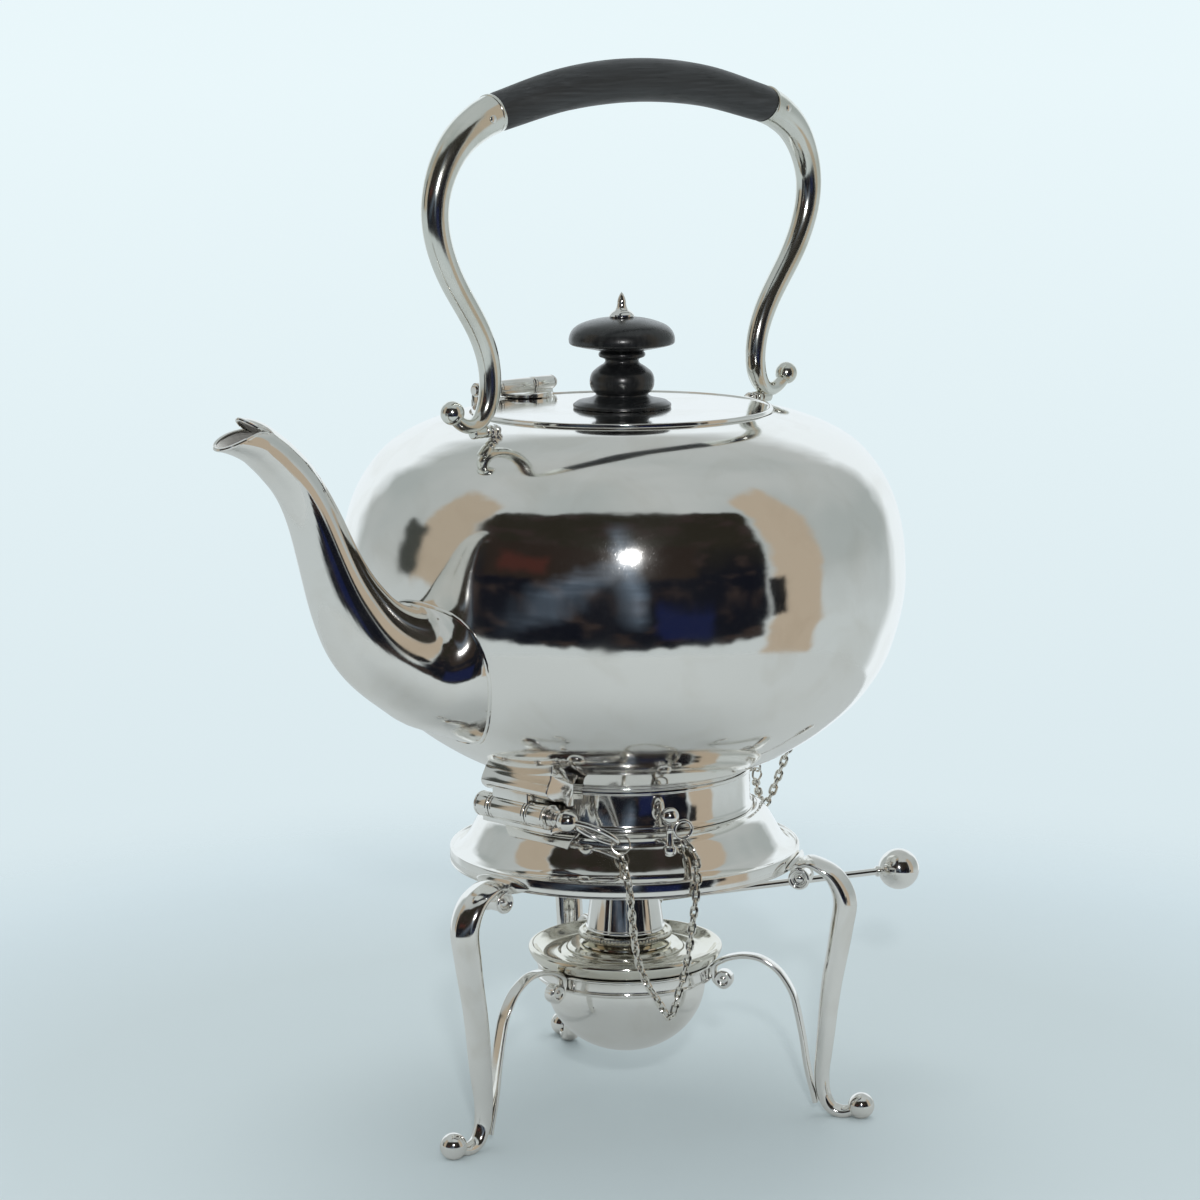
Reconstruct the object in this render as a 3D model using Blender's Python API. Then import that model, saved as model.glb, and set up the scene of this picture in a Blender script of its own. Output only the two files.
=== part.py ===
"""A silver spirit kettle with a swing handle, on a three-legged stand that holds its burner.

Metres, +Z up. The origin is on the floor, on the axis of the stand. The spout points to -X,
the lid is hinged at +Y, and the two loose hinge pins are drawn out towards -Y.
"""
import math

import bmesh
import bpy
from mathutils import Matrix, Vector

MM = 0.001

# Gaps and facets shared by all pieces
SOLDER_GAP = 0.3 * MM
RUNNING_GAP = 0.35 * MM
PIN_GAP = 0.3 * MM
OVERRUN = 3.0 * MM
WELD = 0.001 * MM
KNUCKLE_STEP = 0.2 * MM
SMOOTH_ANGLE = math.radians(35)
WIDE_SIDES = 30
TURNED_SIDES = 18
SMALL_SIDES = 14
WIRE_SIDES = 6

# Stand: platform and collar
PLATFORM_RADIUS = 58.25 * MM
PLATFORM_TOP = 103.4 * MM
LIP_TOP = 90.4 * MM
RIM_BOTTOM = 85.5 * MM
PLATFORM_WALL = 1.2 * MM
LIP_WIDTH = 0.7 * MM
PLATFORM_SHARES = (
    (0.764, 1.0), (0.800, 0.908), (0.831, 0.754), (0.862, 0.523), (0.891, 0.292),
    (0.918, 0.115), (0.951, -0.008), (0.979, -0.046),
)
COLLAR_RADIUS = 41.8 * MM
COLLAR_WALL = 1.5 * MM
COLLAR_TOP = 116.9 * MM
COLLAR_FOOT = 0.8 * MM

# Stand: cabriole legs, as shares of the reach, the height, the thickness and the width
LEG_AZIMUTHS = {"front": math.radians(180), "right": math.radians(-60), "back": math.radians(60)}
LEG_OVERHANG = 22.25 * MM
LEG_REACH = PLATFORM_RADIUS + LEG_OVERHANG
LEG_HEIGHT = 83.2 * MM
LEG_THICKNESS = 4.0 * MM
LEG_WIDTH = 6.1 * MM
LEG_SHARES = (
    (0.0666, 1.036, 0.40, 0.80), (0.204, 1.046, 0.50, 0.98), (0.3777, 1.030, 0.60, 1.00), (0.5658, 0.996, 0.76, 1.00),
    (0.6925, 0.940, 0.92, 0.98), (0.7359, 0.880, 1.00, 0.94), (0.6925, 0.795, 0.98, 0.90), (0.6273, 0.685, 0.93, 0.84),
    (0.555, 0.577, 0.88, 0.81), (0.5007, 0.463, 0.82, 0.80), (0.4609, 0.349, 0.76, 0.79), (0.4284, 0.264, 0.71, 0.72),
    (0.3994, 0.180, 0.65, 0.62), (0.4284, 0.098, 0.60, 0.54), (0.5297, 0.042, 0.57, 0.50), (0.6889, 0.022, 0.56, 0.47),
    (0.8372, 0.028, 0.50, 0.42), (0.9638, 0.048, 0.39, 0.33),
)
KEEL_SECTION_SHARES = (
    (1.0, 0.0), (0.52, 0.62), (0.0, 0.96), (-0.62, 0.78),
    (-0.95, 0.0), (-0.62, -0.78), (0.0, -0.96), (0.52, -0.62),
)
TOE_RADIUS = 4.4 * MM
TOE_SINK = 0.2 * MM
SCROLL_REACH_SHARE = 0.0697
SCROLL_HEIGHT = 81.6 * MM
SCROLL_RADIUS = 3.4 * MM
SCROLL_HALF_WIDTH = 4.2 * MM
SCROLL_EYE_DEPTH = 0.5 * MM
SCROLL_EYE_SHARE = 0.62
LEAF_SPAN = math.radians(11.8)
LEAF_HEIGHT = 86.7 * MM
LEAF_HALF_HEIGHT = 2.6 * MM
LEAF_HALF_THICKNESS = 0.9 * MM
LEAF_SHARES = (
    (-1.0, 0.10, 0.20), (-0.85, 0.45, 0.55), (-0.6, 0.78, 0.85), (-0.3, 0.95, 1.0), (0.0, 1.0, 1.0),
    (0.3, 0.95, 1.0), (0.6, 0.78, 0.85), (0.85, 0.45, 0.55), (1.0, 0.10, 0.20),
)

# Stand: braces and burner ring
BURNER_RING_RADIUS = 29.8 * MM
BURNER_RING_BORE = 27.3 * MM
BURNER_RING_BOTTOM = 44.8 * MM
BURNER_RING_TOP = 50.2 * MM
BURNER_RING_BEAD = 0.5 * MM
BRACE_THICKNESS = 0.85 * MM
BRACE_WIDTH = 2.6 * MM
BRACE_FOOT_SHARE = 0.4284
BRACE_SHARES = (
    (0.9322, 0.092), (0.9067, 0.170), (0.8728, 0.265), (0.8432, 0.375), (0.8198, 0.494),
    (0.7923, 0.608), (0.7605, 0.721), (0.7245, 0.821), (0.6609, 0.910), (0.5888, 0.978),
    (0.4977, 1.028), (0.4002, 1.058), (0.2794, 1.064), (0.1649, 1.048), (0.0950, 1.026),
    (0.0378, 1.000), (0.0187, 0.972), (0.0187, 0.930), (0.0378, 0.884), (0.1056, 0.849),
    (0.1628, 0.880), (0.1607, 0.928),
)
BRACE_END_SHARE = 0.7

# Front hinge between the stand and the kettle
HINGE_OVERHANG = 10.2 * MM
HINGE_SINK = 6.5 * MM
HINGE_REACH = COLLAR_RADIUS + HINGE_OVERHANG
HINGE_HEIGHT = COLLAR_TOP - HINGE_SINK
HINGE_RADIUS = 4.15 * MM
HINGE_PIN_RADIUS = 1.6 * MM
HINGE_FAR_END = 14.2 * MM
HINGE_FAR_JOINT = 7.8 * MM
HINGE_NEAR_JOINT = -9.0 * MM
HINGE_NEAR_END = -17.4 * MM
LEAF_THICKNESS = 2.4 * MM
LEAF_DROP = 3.4 * MM
BLOCK_FAR_END = 12.0 * MM
BLOCK_NEAR_END = -18.0 * MM
BLOCK_TOP_RISE = 14.6 * MM
BLOCK_SHARES = (
    (-0.98, 0.155), (-0.70, 0.155), (-0.52, 0.30), (-0.15, 0.34), (0.12, 0.40), (0.26, 0.56),
    (0.12, 0.76), (0.05, 1.0), (-0.98, 1.0),
)
BLOCK_DEPTH = 10.0 * MM
WEB_HALF_WIDTH = 2.0 * MM

# Front pin with its loop, split ring and chain
PIN_NECK_RADIUS = 2.9 * MM
PIN_NECK_LENGTH = 3.2 * MM
PIN_BALL_RADIUS = 3.8 * MM
LOOP_WIRE = 0.75 * MM
LOOP_HALF_LENGTH = 7.5 * MM
LOOP_HALF_WIDTH = 3.3 * MM
LOOP_DIRECTION = Vector((0.55, -0.74, -0.38)).normalized()
LOOP_TURN = math.radians(50)
SPLIT_RING_TURN = math.radians(-15)
SPLIT_RING_RADIUS = 2.9 * MM
SPLIT_RING_WIRE = 0.5 * MM
SPLIT_RING_RUN = 1.0 * MM
SPLIT_RING_DROP = 0.3 * MM
REAR_SPLIT_RING_RADIUS = 2.6 * MM

# Chain eyelet on the platform
EYELET_REACH = 49.0 * MM
EYELET_AZIMUTH = math.radians(240.8)
EYELET_HEIGHT = 110.0 * MM
EYELET_POST_RADIUS = 1.15 * MM
EYELET_BALL_RADIUS = 3.0 * MM
EYELET_RING_RADIUS = 2.9 * MM
EYELET_RING_WIRE = 0.6 * MM
EYELET_RING_SIDE = 4.1 * MM
EYELET_RING_OUT = 1.2 * MM
EYELET_RING_DROP = 4.4 * MM
REAR_EYELET_RADIUS = 1.8 * MM

# Chains: oval wire links, each fused to the next where they bear on one another
LINK_LENGTH = 4.4 * MM
LINK_WIDTH = 2.6 * MM
LINK_WIRE = 0.38 * MM
LINK_BEARING_SHARE = 2.15
LINK_STEPS = 6
LINK_SIDES = 3
FRONT_CHAIN_SHARES = (
    (-0.348, -0.856, 1.088), (-0.364, -0.892, 1.058), (-0.385, -0.912, 1.035), (-0.410, -0.940, 1.000),
    (-0.430, -0.941, 0.930), (-0.444, -0.930, 0.842), (-0.459, -0.921, 0.758), (-0.477, -0.908, 0.679),
    (-0.505, -0.889, 0.610), (-0.524, -0.876, 0.554), (-0.540, -0.866, 0.521), (-0.565, -0.850, 0.525),
    (-0.603, -0.823, 0.577), (-0.648, -0.790, 0.636), (-0.683, -0.764, 0.704), (-0.704, -0.751, 0.770),
    (-0.718, -0.744, 0.855), (-0.727, -0.741, 0.925), (-0.738, -0.732, 1.004), (-0.731, -0.704, 1.046),
)
REAR_CHAIN_SHARES = (
    (0.870, -0.235, 1.150), (0.950, -0.190, 1.085), (1.020, -0.135, 1.040), (1.062, -0.125, 1.030),
    (1.095, -0.150, 1.065), (1.120, -0.180, 1.130), (1.150, -0.215, 1.215), (1.190, -0.260, 1.310),
    (1.235, -0.305, 1.410),
)

# Kettle body
BODY_RADIUS = 92.6 * MM
BODY_BASE = 119.0 * MM
BODY_HEIGHT = 115.9 * MM
BODY_WALL = 1.2 * MM
BODY_BASE_CROWN = 0.6 * MM
BODY_SHARES = (
    (0.464, 0.0), (0.491, 0.0035), (0.535, 0.019), (0.632, 0.060), (0.744, 0.121), (0.849, 0.198),
    (0.929, 0.293), (0.975, 0.397), (0.998, 0.492), (0.999, 0.578), (0.989, 0.664), (0.961, 0.751),
    (0.914, 0.828), (0.838, 0.902), (0.745, 0.950), (0.633, 0.984), (0.539, 1.0),
)
SEAT_SHARE = 0.53563715
SEAT_WIDTH = 4.0 * MM
SEAT_RADIUS = BODY_RADIUS * SEAT_SHARE
MOUTH_RADIUS = SEAT_RADIUS - SEAT_WIDTH
SEAT_DROP = 0.5 * MM
FOOT_RING_WIDTH = 2.4 * MM
FOOT_RING_INNER = COLLAR_RADIUS - FOOT_RING_WIDTH

# Spout: reach from the axis, rise above the body's base, half thickness, half width and tilt
SPOUT_REACH_SHARE = 1.7062635
SPOUT_REACH = BODY_RADIUS * SPOUT_REACH_SHARE
SPOUT_RISE = 119.6 * MM
SPOUT_THICKNESS = 6.9 * MM
SPOUT_TILT = math.radians(90)
SPOUT_WALL = 1.1 * MM
SPOUT_SIDES = 16
SPOUT_SHARES = (
    (0.982, 0.998, 0.93, 0.97, 0.36), (0.920, 0.935, 1.02, 1.03, 0.46), (0.884, 0.879, 1.05, 1.05, 0.61),
    (0.854, 0.812, 1.14, 1.14, 0.70), (0.833, 0.748, 1.24, 1.24, 0.74), (0.809, 0.673, 1.38, 1.38, 0.74),
    (0.789, 0.615, 1.53, 1.53, 0.70), (0.770, 0.570, 1.68, 1.68, 0.67), (0.746, 0.522, 1.84, 1.86, 0.61),
    (0.723, 0.483, 1.99, 2.02, 0.55), (0.677, 0.431, 2.22, 2.29, 0.42), (0.633, 0.403, 2.40, 2.55, 0.26),
    (0.603, 0.391, 2.80, 2.95, 0.14), (0.577, 0.397, 3.40, 3.45, 0.05), (0.544, 0.394, 3.65, 3.65, 0.00),
    (0.494, 0.380, 3.92, 3.70, 0.00), (0.443, 0.368, 4.08, 3.72, 0.00),
)
LIP_NOTCH_REACH = 2.6 * MM
LIP_LOWER_REACH = 12.6 * MM
LIP_UPPER_REACH = 10.1 * MM
LIP_LOWER_FLARE = 2.3 * MM
LIP_UPPER_DRAW = 2.7 * MM
LIP_NOTCH_RISE = 2.0 * MM
LIP_NARROWING_SHARE = 0.34
LIP_RINGS = 4
STRAINER_RADIUS = 2.3 * MM
STRAINER_PITCH = 7.2 * MM
STRAINER_HEIGHT = 163.0 * MM

# Rear lock: two ears on the kettle, a tongue on the collar, and a pin
LOCK_OVERHANG = 6.2 * MM
LOCK_REACH = COLLAR_RADIUS + LOCK_OVERHANG
LOCK_RADIUS = 3.3 * MM
LOCK_PIN_RADIUS = 1.2 * MM
TONGUE_HALF_WIDTH = 1.2 * MM
EAR_THICKNESS = 2.6 * MM
LOCK_BALL_RADIUS = 2.2 * MM
EAR_COLLAR_GAP = 1.2 * MM
LOCK_EYE_RADIUS = 1.5 * MM
LOCK_EYE_WIRE = 0.4 * MM
REAR_EYELET_SHARE = 0.85313175
REAR_EYELET_REACH = BODY_RADIUS * REAR_EYELET_SHARE
REAR_EYELET_AZIMUTH = math.radians(-14.5)
REAR_EYELET_DROP = 3.2 * MM

# Lid and its hinge
LID_SEAT_GAP = 0.4 * MM
LID_RADIUS = SEAT_RADIUS - LID_SEAT_GAP
LID_PROUD = 1.0 * MM
LID_TOP = BODY_BASE + BODY_HEIGHT + LID_PROUD
LID_BEAD = 0.35 * MM
LID_BEAD_WIDTH = 1.2 * MM
LID_THICKNESS = 1.2 * MM
LID_FLANGE_GAP = 0.9 * MM
LID_FLANGE_RADIUS = MOUTH_RADIUS - LID_FLANGE_GAP
LID_FLANGE_WALL = 1.0 * MM
LID_FLANGE_DEPTH = 5.2 * MM
LID_HINGE_OFFSET = 2.4 * MM
LID_HINGE_SETBACK = 3.4 * MM
LID_HINGE_RISE = 3.1 * MM
LID_HINGE_REACH = LID_RADIUS + LID_HINGE_SETBACK
LID_HINGE_HEIGHT = LID_TOP + LID_HINGE_RISE
LID_HINGE_RADIUS = 2.4 * MM
LID_PIN_RADIUS = 1.0 * MM
LID_HINGE_HALF_LENGTH = 18.0 * MM
LID_JOINT_HALF_LENGTH = 8.2 * MM
LID_LEAF_DEPTH = 2.6 * MM
LID_STRAP_REACH = 38.5 * MM
LID_STRAP_THICKNESS = 1.3 * MM
LID_PIN_HEAD = 0.7 * MM

# Knob, as shares of its radius and height
KNOB_RADIUS = 17.3 * MM
KNOB_HEIGHT = 29.0 * MM
KNOB_BORE = 1.7 * MM
KNOB_SHARES = (
    (0.923, 0.0), (0.929, 0.030), (0.840, 0.068), (0.600, 0.100), (0.510, 0.128), (0.500, 0.150),
    (0.560, 0.178), (0.603, 0.240), (0.606, 0.320), (0.560, 0.390), (0.430, 0.455), (0.335, 0.492),
    (0.325, 0.535), (0.425, 0.562), (0.440, 0.598), (0.395, 0.628), (0.560, 0.648), (0.860, 0.684),
    (0.988, 0.720), (1.0, 0.750), (0.935, 0.825), (0.760, 0.905), (0.540, 0.965), (0.300, 1.0),
)
FINIAL_RADIUS = 4.1 * MM
FINIAL_DISC = 1.7 * MM
FINIAL_HEIGHT = 8.0 * MM
SPINDLE_RADIUS = 1.35 * MM
NUT_RADIUS = 3.2 * MM
NUT_HEIGHT = 2.2 * MM
WASHER_RADIUS = 5.0 * MM
WASHER_THICKNESS = 0.8 * MM

# Swing handle
HANDLE_AXIS_SETBACK = -2.2 * MM
HANDLE_AXIS_SINK = 0.9 * MM
HANDLE_AXIS_HEIGHT = BODY_BASE + BODY_HEIGHT - HANDLE_AXIS_SINK
HANDLE_LEAN = math.radians(2.3)
HANDLE_KNUCKLE_RADIUS = 2.0 * MM
HANDLE_PIN_RADIUS = 0.85 * MM
HANDLE_KNUCKLE_SHARE = 0.68142549
HANDLE_KNUCKLE_START = BODY_RADIUS * HANDLE_KNUCKLE_SHARE
HANDLE_KNUCKLE_WIDTH = 7.0 * MM
HANDLE_SOCKET_FLOOR = 1.0 * MM
HANDLE_PIN_HEAD = 0.6 * MM
HANDLE_PIN_HEAD_RADIUS = 1.5 * MM
LUG_WIDTH = 3.4 * MM
LUG_DEPTH = 2.3 * MM
ARM_REACH_SHARE = 0.94384449
ARM_REACH = BODY_RADIUS * ARM_REACH_SHARE
ARM_RISE = 98.4 * MM
ARM_THICKNESS = 6.2 * MM
ARM_SHARES = (
    (0.893, 0.062, 0.33), (0.868, 0.040, 0.35), (0.836, 0.026, 0.37), (0.800, 0.022, 0.40),
    (0.764, 0.034, 0.44), (0.735, 0.066, 0.50), (0.716, 0.110, 0.55), (0.714, 0.180, 0.57),
    (0.738, 0.265, 0.59), (0.800, 0.360, 0.61), (0.885, 0.455, 0.63), (0.958, 0.560, 0.66),
    (1.000, 0.680, 0.69), (0.985, 0.785, 0.72), (0.935, 0.875, 0.80), (0.850, 0.952, 0.91),
    (0.722, 1.000, 1.00),
)
ARM_BALL_RADIUS = 3.8 * MM
ARM_BALL_SHARE = 0.8993135
ARM_BALL_REACH = ARM_REACH * ARM_BALL_SHARE
ARM_BALL_RISE = 7.1 * MM
GRIP_RADIUS = 7.1 * MM
GRIP_RISE = 107.4 * MM
GRIP_END_SHARE = 0.85
TENON_RADIUS = 3.6 * MM
TENON_LENGTH = 11.0 * MM
RIVET_RADIUS = 1.1 * MM
RIVET_SETBACK = 5.6 * MM
RIVET_HEAD_RADIUS = 2.0 * MM
RIVET_HEAD_HEIGHT = 0.6 * MM
TUBE_SIDES = 12

# Spirit burner
BOWL_RADIUS = 26.8 * MM
BOWL_BOTTOM = 19.2 * MM
BOWL_STRAIGHT = 43.0 * MM
BOWL_WALL = 1.0 * MM
BOWL_STEPS = 5
DISH_RADIUS = 32.5 * MM
DISH_BOTTOM = 50.5 * MM
DISH_TOP = 55.6 * MM
DISH_WALL = 1.2 * MM
DISH_FOOT_SHARE = 0.90
DISH_SHARES = (
    (0.985, 0.55), (1.0, 0.80), (0.985, 1.0), (0.950, 1.0), (0.905, 0.70), (0.820, 0.42),
    (0.690, 0.44), (0.600, 0.80), (0.560, 1.04),
)
HUB_RADIUS = 17.2 * MM
KNURL_RADIUS = 15.7 * MM
KNURL_TOP = 60.6 * MM
KNURL_RIBS = 20
KNURL_DEPTH = 0.35 * MM
WICK_TUBE_RADIUS = 7.0 * MM
WICK_TUBE_WALL = 1.0 * MM
WICK_TUBE_BOTTOM = 25.0 * MM
WICK_TUBE_TOP = 73.0 * MM
WICK_RADIUS = 5.6 * MM
WICK_BOTTOM = 21.5 * MM
WICK_TOP = 76.5 * MM

# Flame sleeve with its lever
SLEEVE_BOTTOM = 61.0 * MM
SLEEVE_TOP = 78.0 * MM
SLEEVE_BOTTOM_RADIUS = 13.2 * MM
SLEEVE_TOP_RADIUS = 10.8 * MM
SLEEVE_WALL = 0.8 * MM
SLEEVE_FLOOR = 1.2 * MM
LEVER_AZIMUTH = math.radians(-22.3)
LEVER_HEIGHT = 69.6 * MM
LEVER_RADIUS = 1.2 * MM
LEVER_BALL_REACH = 104.0 * MM
LEVER_BALL_RADIUS = 7.1 * MM

# Finishes: colour, roughness and metallic value
SILVER = ((0.80, 0.79, 0.76), 0.10, 1.0)
EBONY = ((0.022, 0.020, 0.019), 0.36, 0.0)
COTTON = ((0.82, 0.79, 0.70), 0.95, 0.0)

ALONG_X = Vector((1.0, 0.0, 0.0))
ALONG_Y = Vector((0.0, 1.0, 0.0))
UP = Vector((0.0, 0.0, 1.0))


def clear_scene():
    """Remove what the scene holds before the kettle is built."""
    for item in list(bpy.data.objects):
        bpy.data.objects.remove(item, do_unlink=True)


def make_finish(name, finish):
    """A Principled material with one piece's colour, roughness and metallic value."""
    colour, roughness, metallic = finish
    material = bpy.data.materials.new(name)
    material.use_nodes = True
    shader = material.node_tree.nodes["Principled BSDF"]
    shader.inputs["Base Color"].default_value = (*colour, 1.0)
    shader.inputs["Roughness"].default_value = roughness
    shader.inputs["Metallic"].default_value = metallic
    material.diffuse_color = (*colour, 1.0)
    return material


def close_shape(shape):
    """Weld a shape's seams and turn its faces outwards."""
    bmesh.ops.remove_doubles(shape, verts=shape.verts, dist=WELD)
    bmesh.ops.recalc_face_normals(shape, faces=shape.faces)
    if shape.calc_volume(signed=True) < 0:
        bmesh.ops.reverse_faces(shape, faces=shape.faces)
    return shape


def turned(outline, sides, place=None):
    """Spin an outline of (radius, height) points about Z, closed on itself or on the axis."""
    shape = bmesh.new()
    points = [shape.verts.new((radius, 0.0, height)) for radius, height in outline]
    edges = [shape.edges.new(pair) for pair in zip(points, points[1:])]
    if outline[0][0] > 0:
        edges.append(shape.edges.new((points[-1], points[0])))
    bmesh.ops.spin(shape, geom=points + edges, cent=(0, 0, 0), axis=(0, 0, 1),
                   angle=2 * math.pi, steps=sides, use_merge=True)
    close_shape(shape)
    if place is not None:
        bmesh.ops.transform(shape, matrix=place, verts=shape.verts)
    return shape


def lofted(rings, looped=False):
    """Skin a row of point rings, with flat ends or joined end to start."""
    shape = bmesh.new()
    rows = [[shape.verts.new(point) for point in ring] for ring in rings]
    pairs = list(zip(rows, rows[1:]))
    if looped:
        pairs.append((rows[-1], rows[0]))
    for row, next_row in pairs:
        for index in range(len(row)):
            after = (index + 1) % len(row)
            shape.faces.new((row[index], row[after], next_row[after], next_row[index]))
    if not looped:
        shape.faces.new(rows[0])
        shape.faces.new(rows[-1])
    return close_shape(shape)


def aim(direction, centre):
    """A placement that turns Z to a direction and moves the origin to a point."""
    turn = UP.rotation_difference(Vector(direction)).to_matrix().to_4x4()
    return Matrix.Translation(centre) @ turn


def round_bar(start, end, radius, sides=SMALL_SIDES):
    """A round bar between two points."""
    start, end = Vector(start), Vector(end)
    places = (aim(end - start, start), aim(end - start, end))
    return lofted([[place @ Vector((radius * u, radius * v, 0.0)) for u, v in circle_shares(sides)]
                   for place in places])


def headed_pin(start, direction, length, radius, head_radius, head, sides=SMALL_SIDES):
    """A turned pin with a head at its far end."""
    outline = ((0.0, 0.0), (radius, 0.0), (radius, length - head), (head_radius, length - head),
               (head_radius, length), (0.0, length))
    return turned(outline, sides, aim(direction, start))


def ball(centre, radius, sides=SMALL_SIDES):
    """A ball about a point."""
    steps = sides // 2
    angles = [math.pi * step / steps - math.pi / 2 for step in range(steps + 1)]
    outline = [(radius * math.cos(angle), radius * math.sin(angle)) for angle in angles]
    outline[0] = (0.0, outline[0][1])
    outline[-1] = (0.0, outline[-1][1])
    return turned(outline, sides, Matrix.Translation(centre))


def wire_ring(centre, radius, wire, direction, sides=SMALL_SIDES):
    """A ring of round wire about a direction."""
    angles = [2 * math.pi * step / WIRE_SIDES for step in range(WIRE_SIDES)]
    outline = [(radius + wire * math.cos(angle), wire * math.sin(angle)) for angle in angles]
    return turned(outline, sides, aim(direction, centre))


def wire_oval(centre, along, across, half_length, half_width, wire, steps, sides):
    """An oval link of round wire, long in one direction and wide in another."""
    along, across = Vector(along).normalized(), Vector(across).normalized()
    normal = along.cross(across)
    rings = []
    for step in range(steps):
        angle = 2 * math.pi * step / steps
        outward = (along * math.cos(angle) + across * math.sin(angle)).normalized()
        core = Vector(centre) + along * half_length * math.cos(angle) + across * half_width * math.sin(angle)
        turns = [2 * math.pi * side / sides for side in range(sides)]
        rings.append([core + wire * (outward * math.cos(turn) + normal * math.sin(turn)) for turn in turns])
    return lofted(rings, looped=True)


def prism(profile, start, end):
    """A profile of (x, z) points drawn out along Y."""
    return lofted([[(x, y, z) for x, z in profile] for y in (start, end)])


def smoothed(points, steps):
    """Points on a smooth curve through the given ones, with each span cut into steps."""
    points = [Vector(point) for point in points]
    padded = [2 * points[0] - points[1]] + points + [2 * points[-1] - points[-2]]
    curve = []
    for before, start, end, after in zip(padded, padded[1:], padded[2:], padded[3:]):
        for step in range(steps):
            t = step / steps
            curve.append((2 * start + (end - before) * t
                          + (2 * before - 5 * start + 4 * end - after) * t ** 2
                          + (3 * start - before - 3 * end + after) * t ** 3) / 2)
    return curve + [points[-1]]


def offset(outline, distance):
    """An outline of (radius, height) points moved square to itself, outwards from the axis."""
    moved = []
    for index, (radius, height) in enumerate(outline):
        before = outline[max(index - 1, 0)]
        after = outline[min(index + 1, len(outline) - 1)]
        normal = Vector((after[1] - before[1], before[0] - after[0])).normalized()
        moved.append((radius + normal.x * distance, height + normal.y * distance))
    return moved


def swept(path, thickness, width, section, azimuth=0.0):
    """Sweep a section along a path of (radius, height) points in a plane through the axis."""
    radial = Vector((math.cos(azimuth), math.sin(azimuth), 0.0))
    side = Vector((-math.sin(azimuth), math.cos(azimuth), 0.0))
    rings = []
    for index, point in enumerate(path):
        before, after = path[max(index - 1, 0)], path[min(index + 1, len(path) - 1)]
        run = Vector((after[0] - before[0], after[1] - before[1])).normalized()
        normal = radial * -run[1] + UP * run[0]
        core = radial * point[0] + UP * point[1]
        rings.append([core + normal * thickness[index] * u + side * width[index] * v for u, v in section])
    return lofted(rings)


def circle_shares(sides):
    """The points of a unit circle."""
    angles = [2 * math.pi * side / sides for side in range(sides)]
    return [(math.cos(angle), math.sin(angle)) for angle in angles]


def temporary(shape):
    """An object that is used up by a union or a cut."""
    mesh = bpy.data.meshes.new("tool")
    shape.to_mesh(mesh)
    shape.free()
    item = bpy.data.objects.new("tool", mesh)
    bpy.context.scene.collection.objects.link(item)
    return item


def combine(item, shape, operation):
    """Join a shape to an object, or cut it from it."""
    tool = temporary(shape)
    modifier = item.modifiers.new(operation.lower(), "BOOLEAN")
    modifier.operation = operation
    modifier.solver = "EXACT"
    modifier.object = tool
    bpy.context.view_layer.objects.active = item
    bpy.ops.object.modifier_apply(modifier=modifier.name)
    bpy.data.objects.remove(tool, do_unlink=True)


def make_piece(name, shape, finish, joined=(), cut=()):
    """A named object from a shape, with others joined to it and cut from it."""
    mesh = bpy.data.meshes.new(name)
    shape.to_mesh(mesh)
    shape.free()
    item = bpy.data.objects.new(name, mesh)
    bpy.context.scene.collection.objects.link(item)
    for other in joined:
        combine(item, other, "UNION")
    for other in cut:
        combine(item, other, "DIFFERENCE")
    item.data.materials.clear()
    item.data.materials.append(make_finish(name + "_finish", finish))
    item.data.shade_smooth()
    item.data.set_sharp_from_angle(angle=SMOOTH_ANGLE)
    return item


def make_axis(name, place, carried, turn=None, parent=None):
    """An empty on a joint's axis that carries the pieces which move with it."""
    axis = bpy.data.objects.new(name, None)
    axis.empty_display_size = OVERRUN
    bpy.context.scene.collection.objects.link(axis)
    axis.location = place
    if parent is not None:
        axis.parent = parent
        axis.matrix_parent_inverse = Matrix.Translation(-Vector(parent["axis_place"]))
    axis["axis_place"] = tuple(place)
    if turn is not None:
        axis.rotation_euler = turn
    for item in carried:
        item.parent = axis
        item.matrix_parent_inverse = Matrix.Translation(-Vector(place))
    return axis


def polar(reach, azimuth, height):
    """A point at a reach and an azimuth from the axis."""
    return Vector((reach * math.cos(azimuth), reach * math.sin(azimuth), height))


def platform_outline():
    """The platform's upper outline, from the collar's seat to the lip."""
    return [(PLATFORM_RADIUS * radius, LIP_TOP + (PLATFORM_TOP - LIP_TOP) * height)
            for radius, height in PLATFORM_SHARES]


def platform_envelope(clearance):
    """A solid as the platform is outside, grown by a clearance."""
    outline = offset(list(reversed(platform_outline())), clearance)
    edge = PLATFORM_RADIUS + clearance
    points = [(0.0, RIM_BOTTOM), (edge, RIM_BOTTOM), (edge, LIP_TOP + clearance)]
    points += outline + [(0.0, PLATFORM_TOP + clearance)]
    return turned(points, WIDE_SIDES)


def make_platform():
    """Domed skirt with a raised lip and a vertical rim."""
    top = platform_outline()
    bore = COLLAR_RADIUS - COLLAR_WALL
    inner = offset(list(reversed(top)), -PLATFORM_WALL)[1::2]
    outline = [(bore, PLATFORM_TOP)] + top
    outline += [(PLATFORM_RADIUS - LIP_WIDTH, LIP_TOP), (PLATFORM_RADIUS, LIP_TOP)]
    outline += [(PLATFORM_RADIUS, RIM_BOTTOM), (PLATFORM_RADIUS - PLATFORM_WALL, RIM_BOTTOM)]
    outline += [(PLATFORM_RADIUS - PLATFORM_WALL, inner[0][1])]
    outline += inner + [(bore, PLATFORM_TOP - PLATFORM_WALL)]
    return make_piece("platform", turned(outline, WIDE_SIDES), SILVER)


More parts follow.
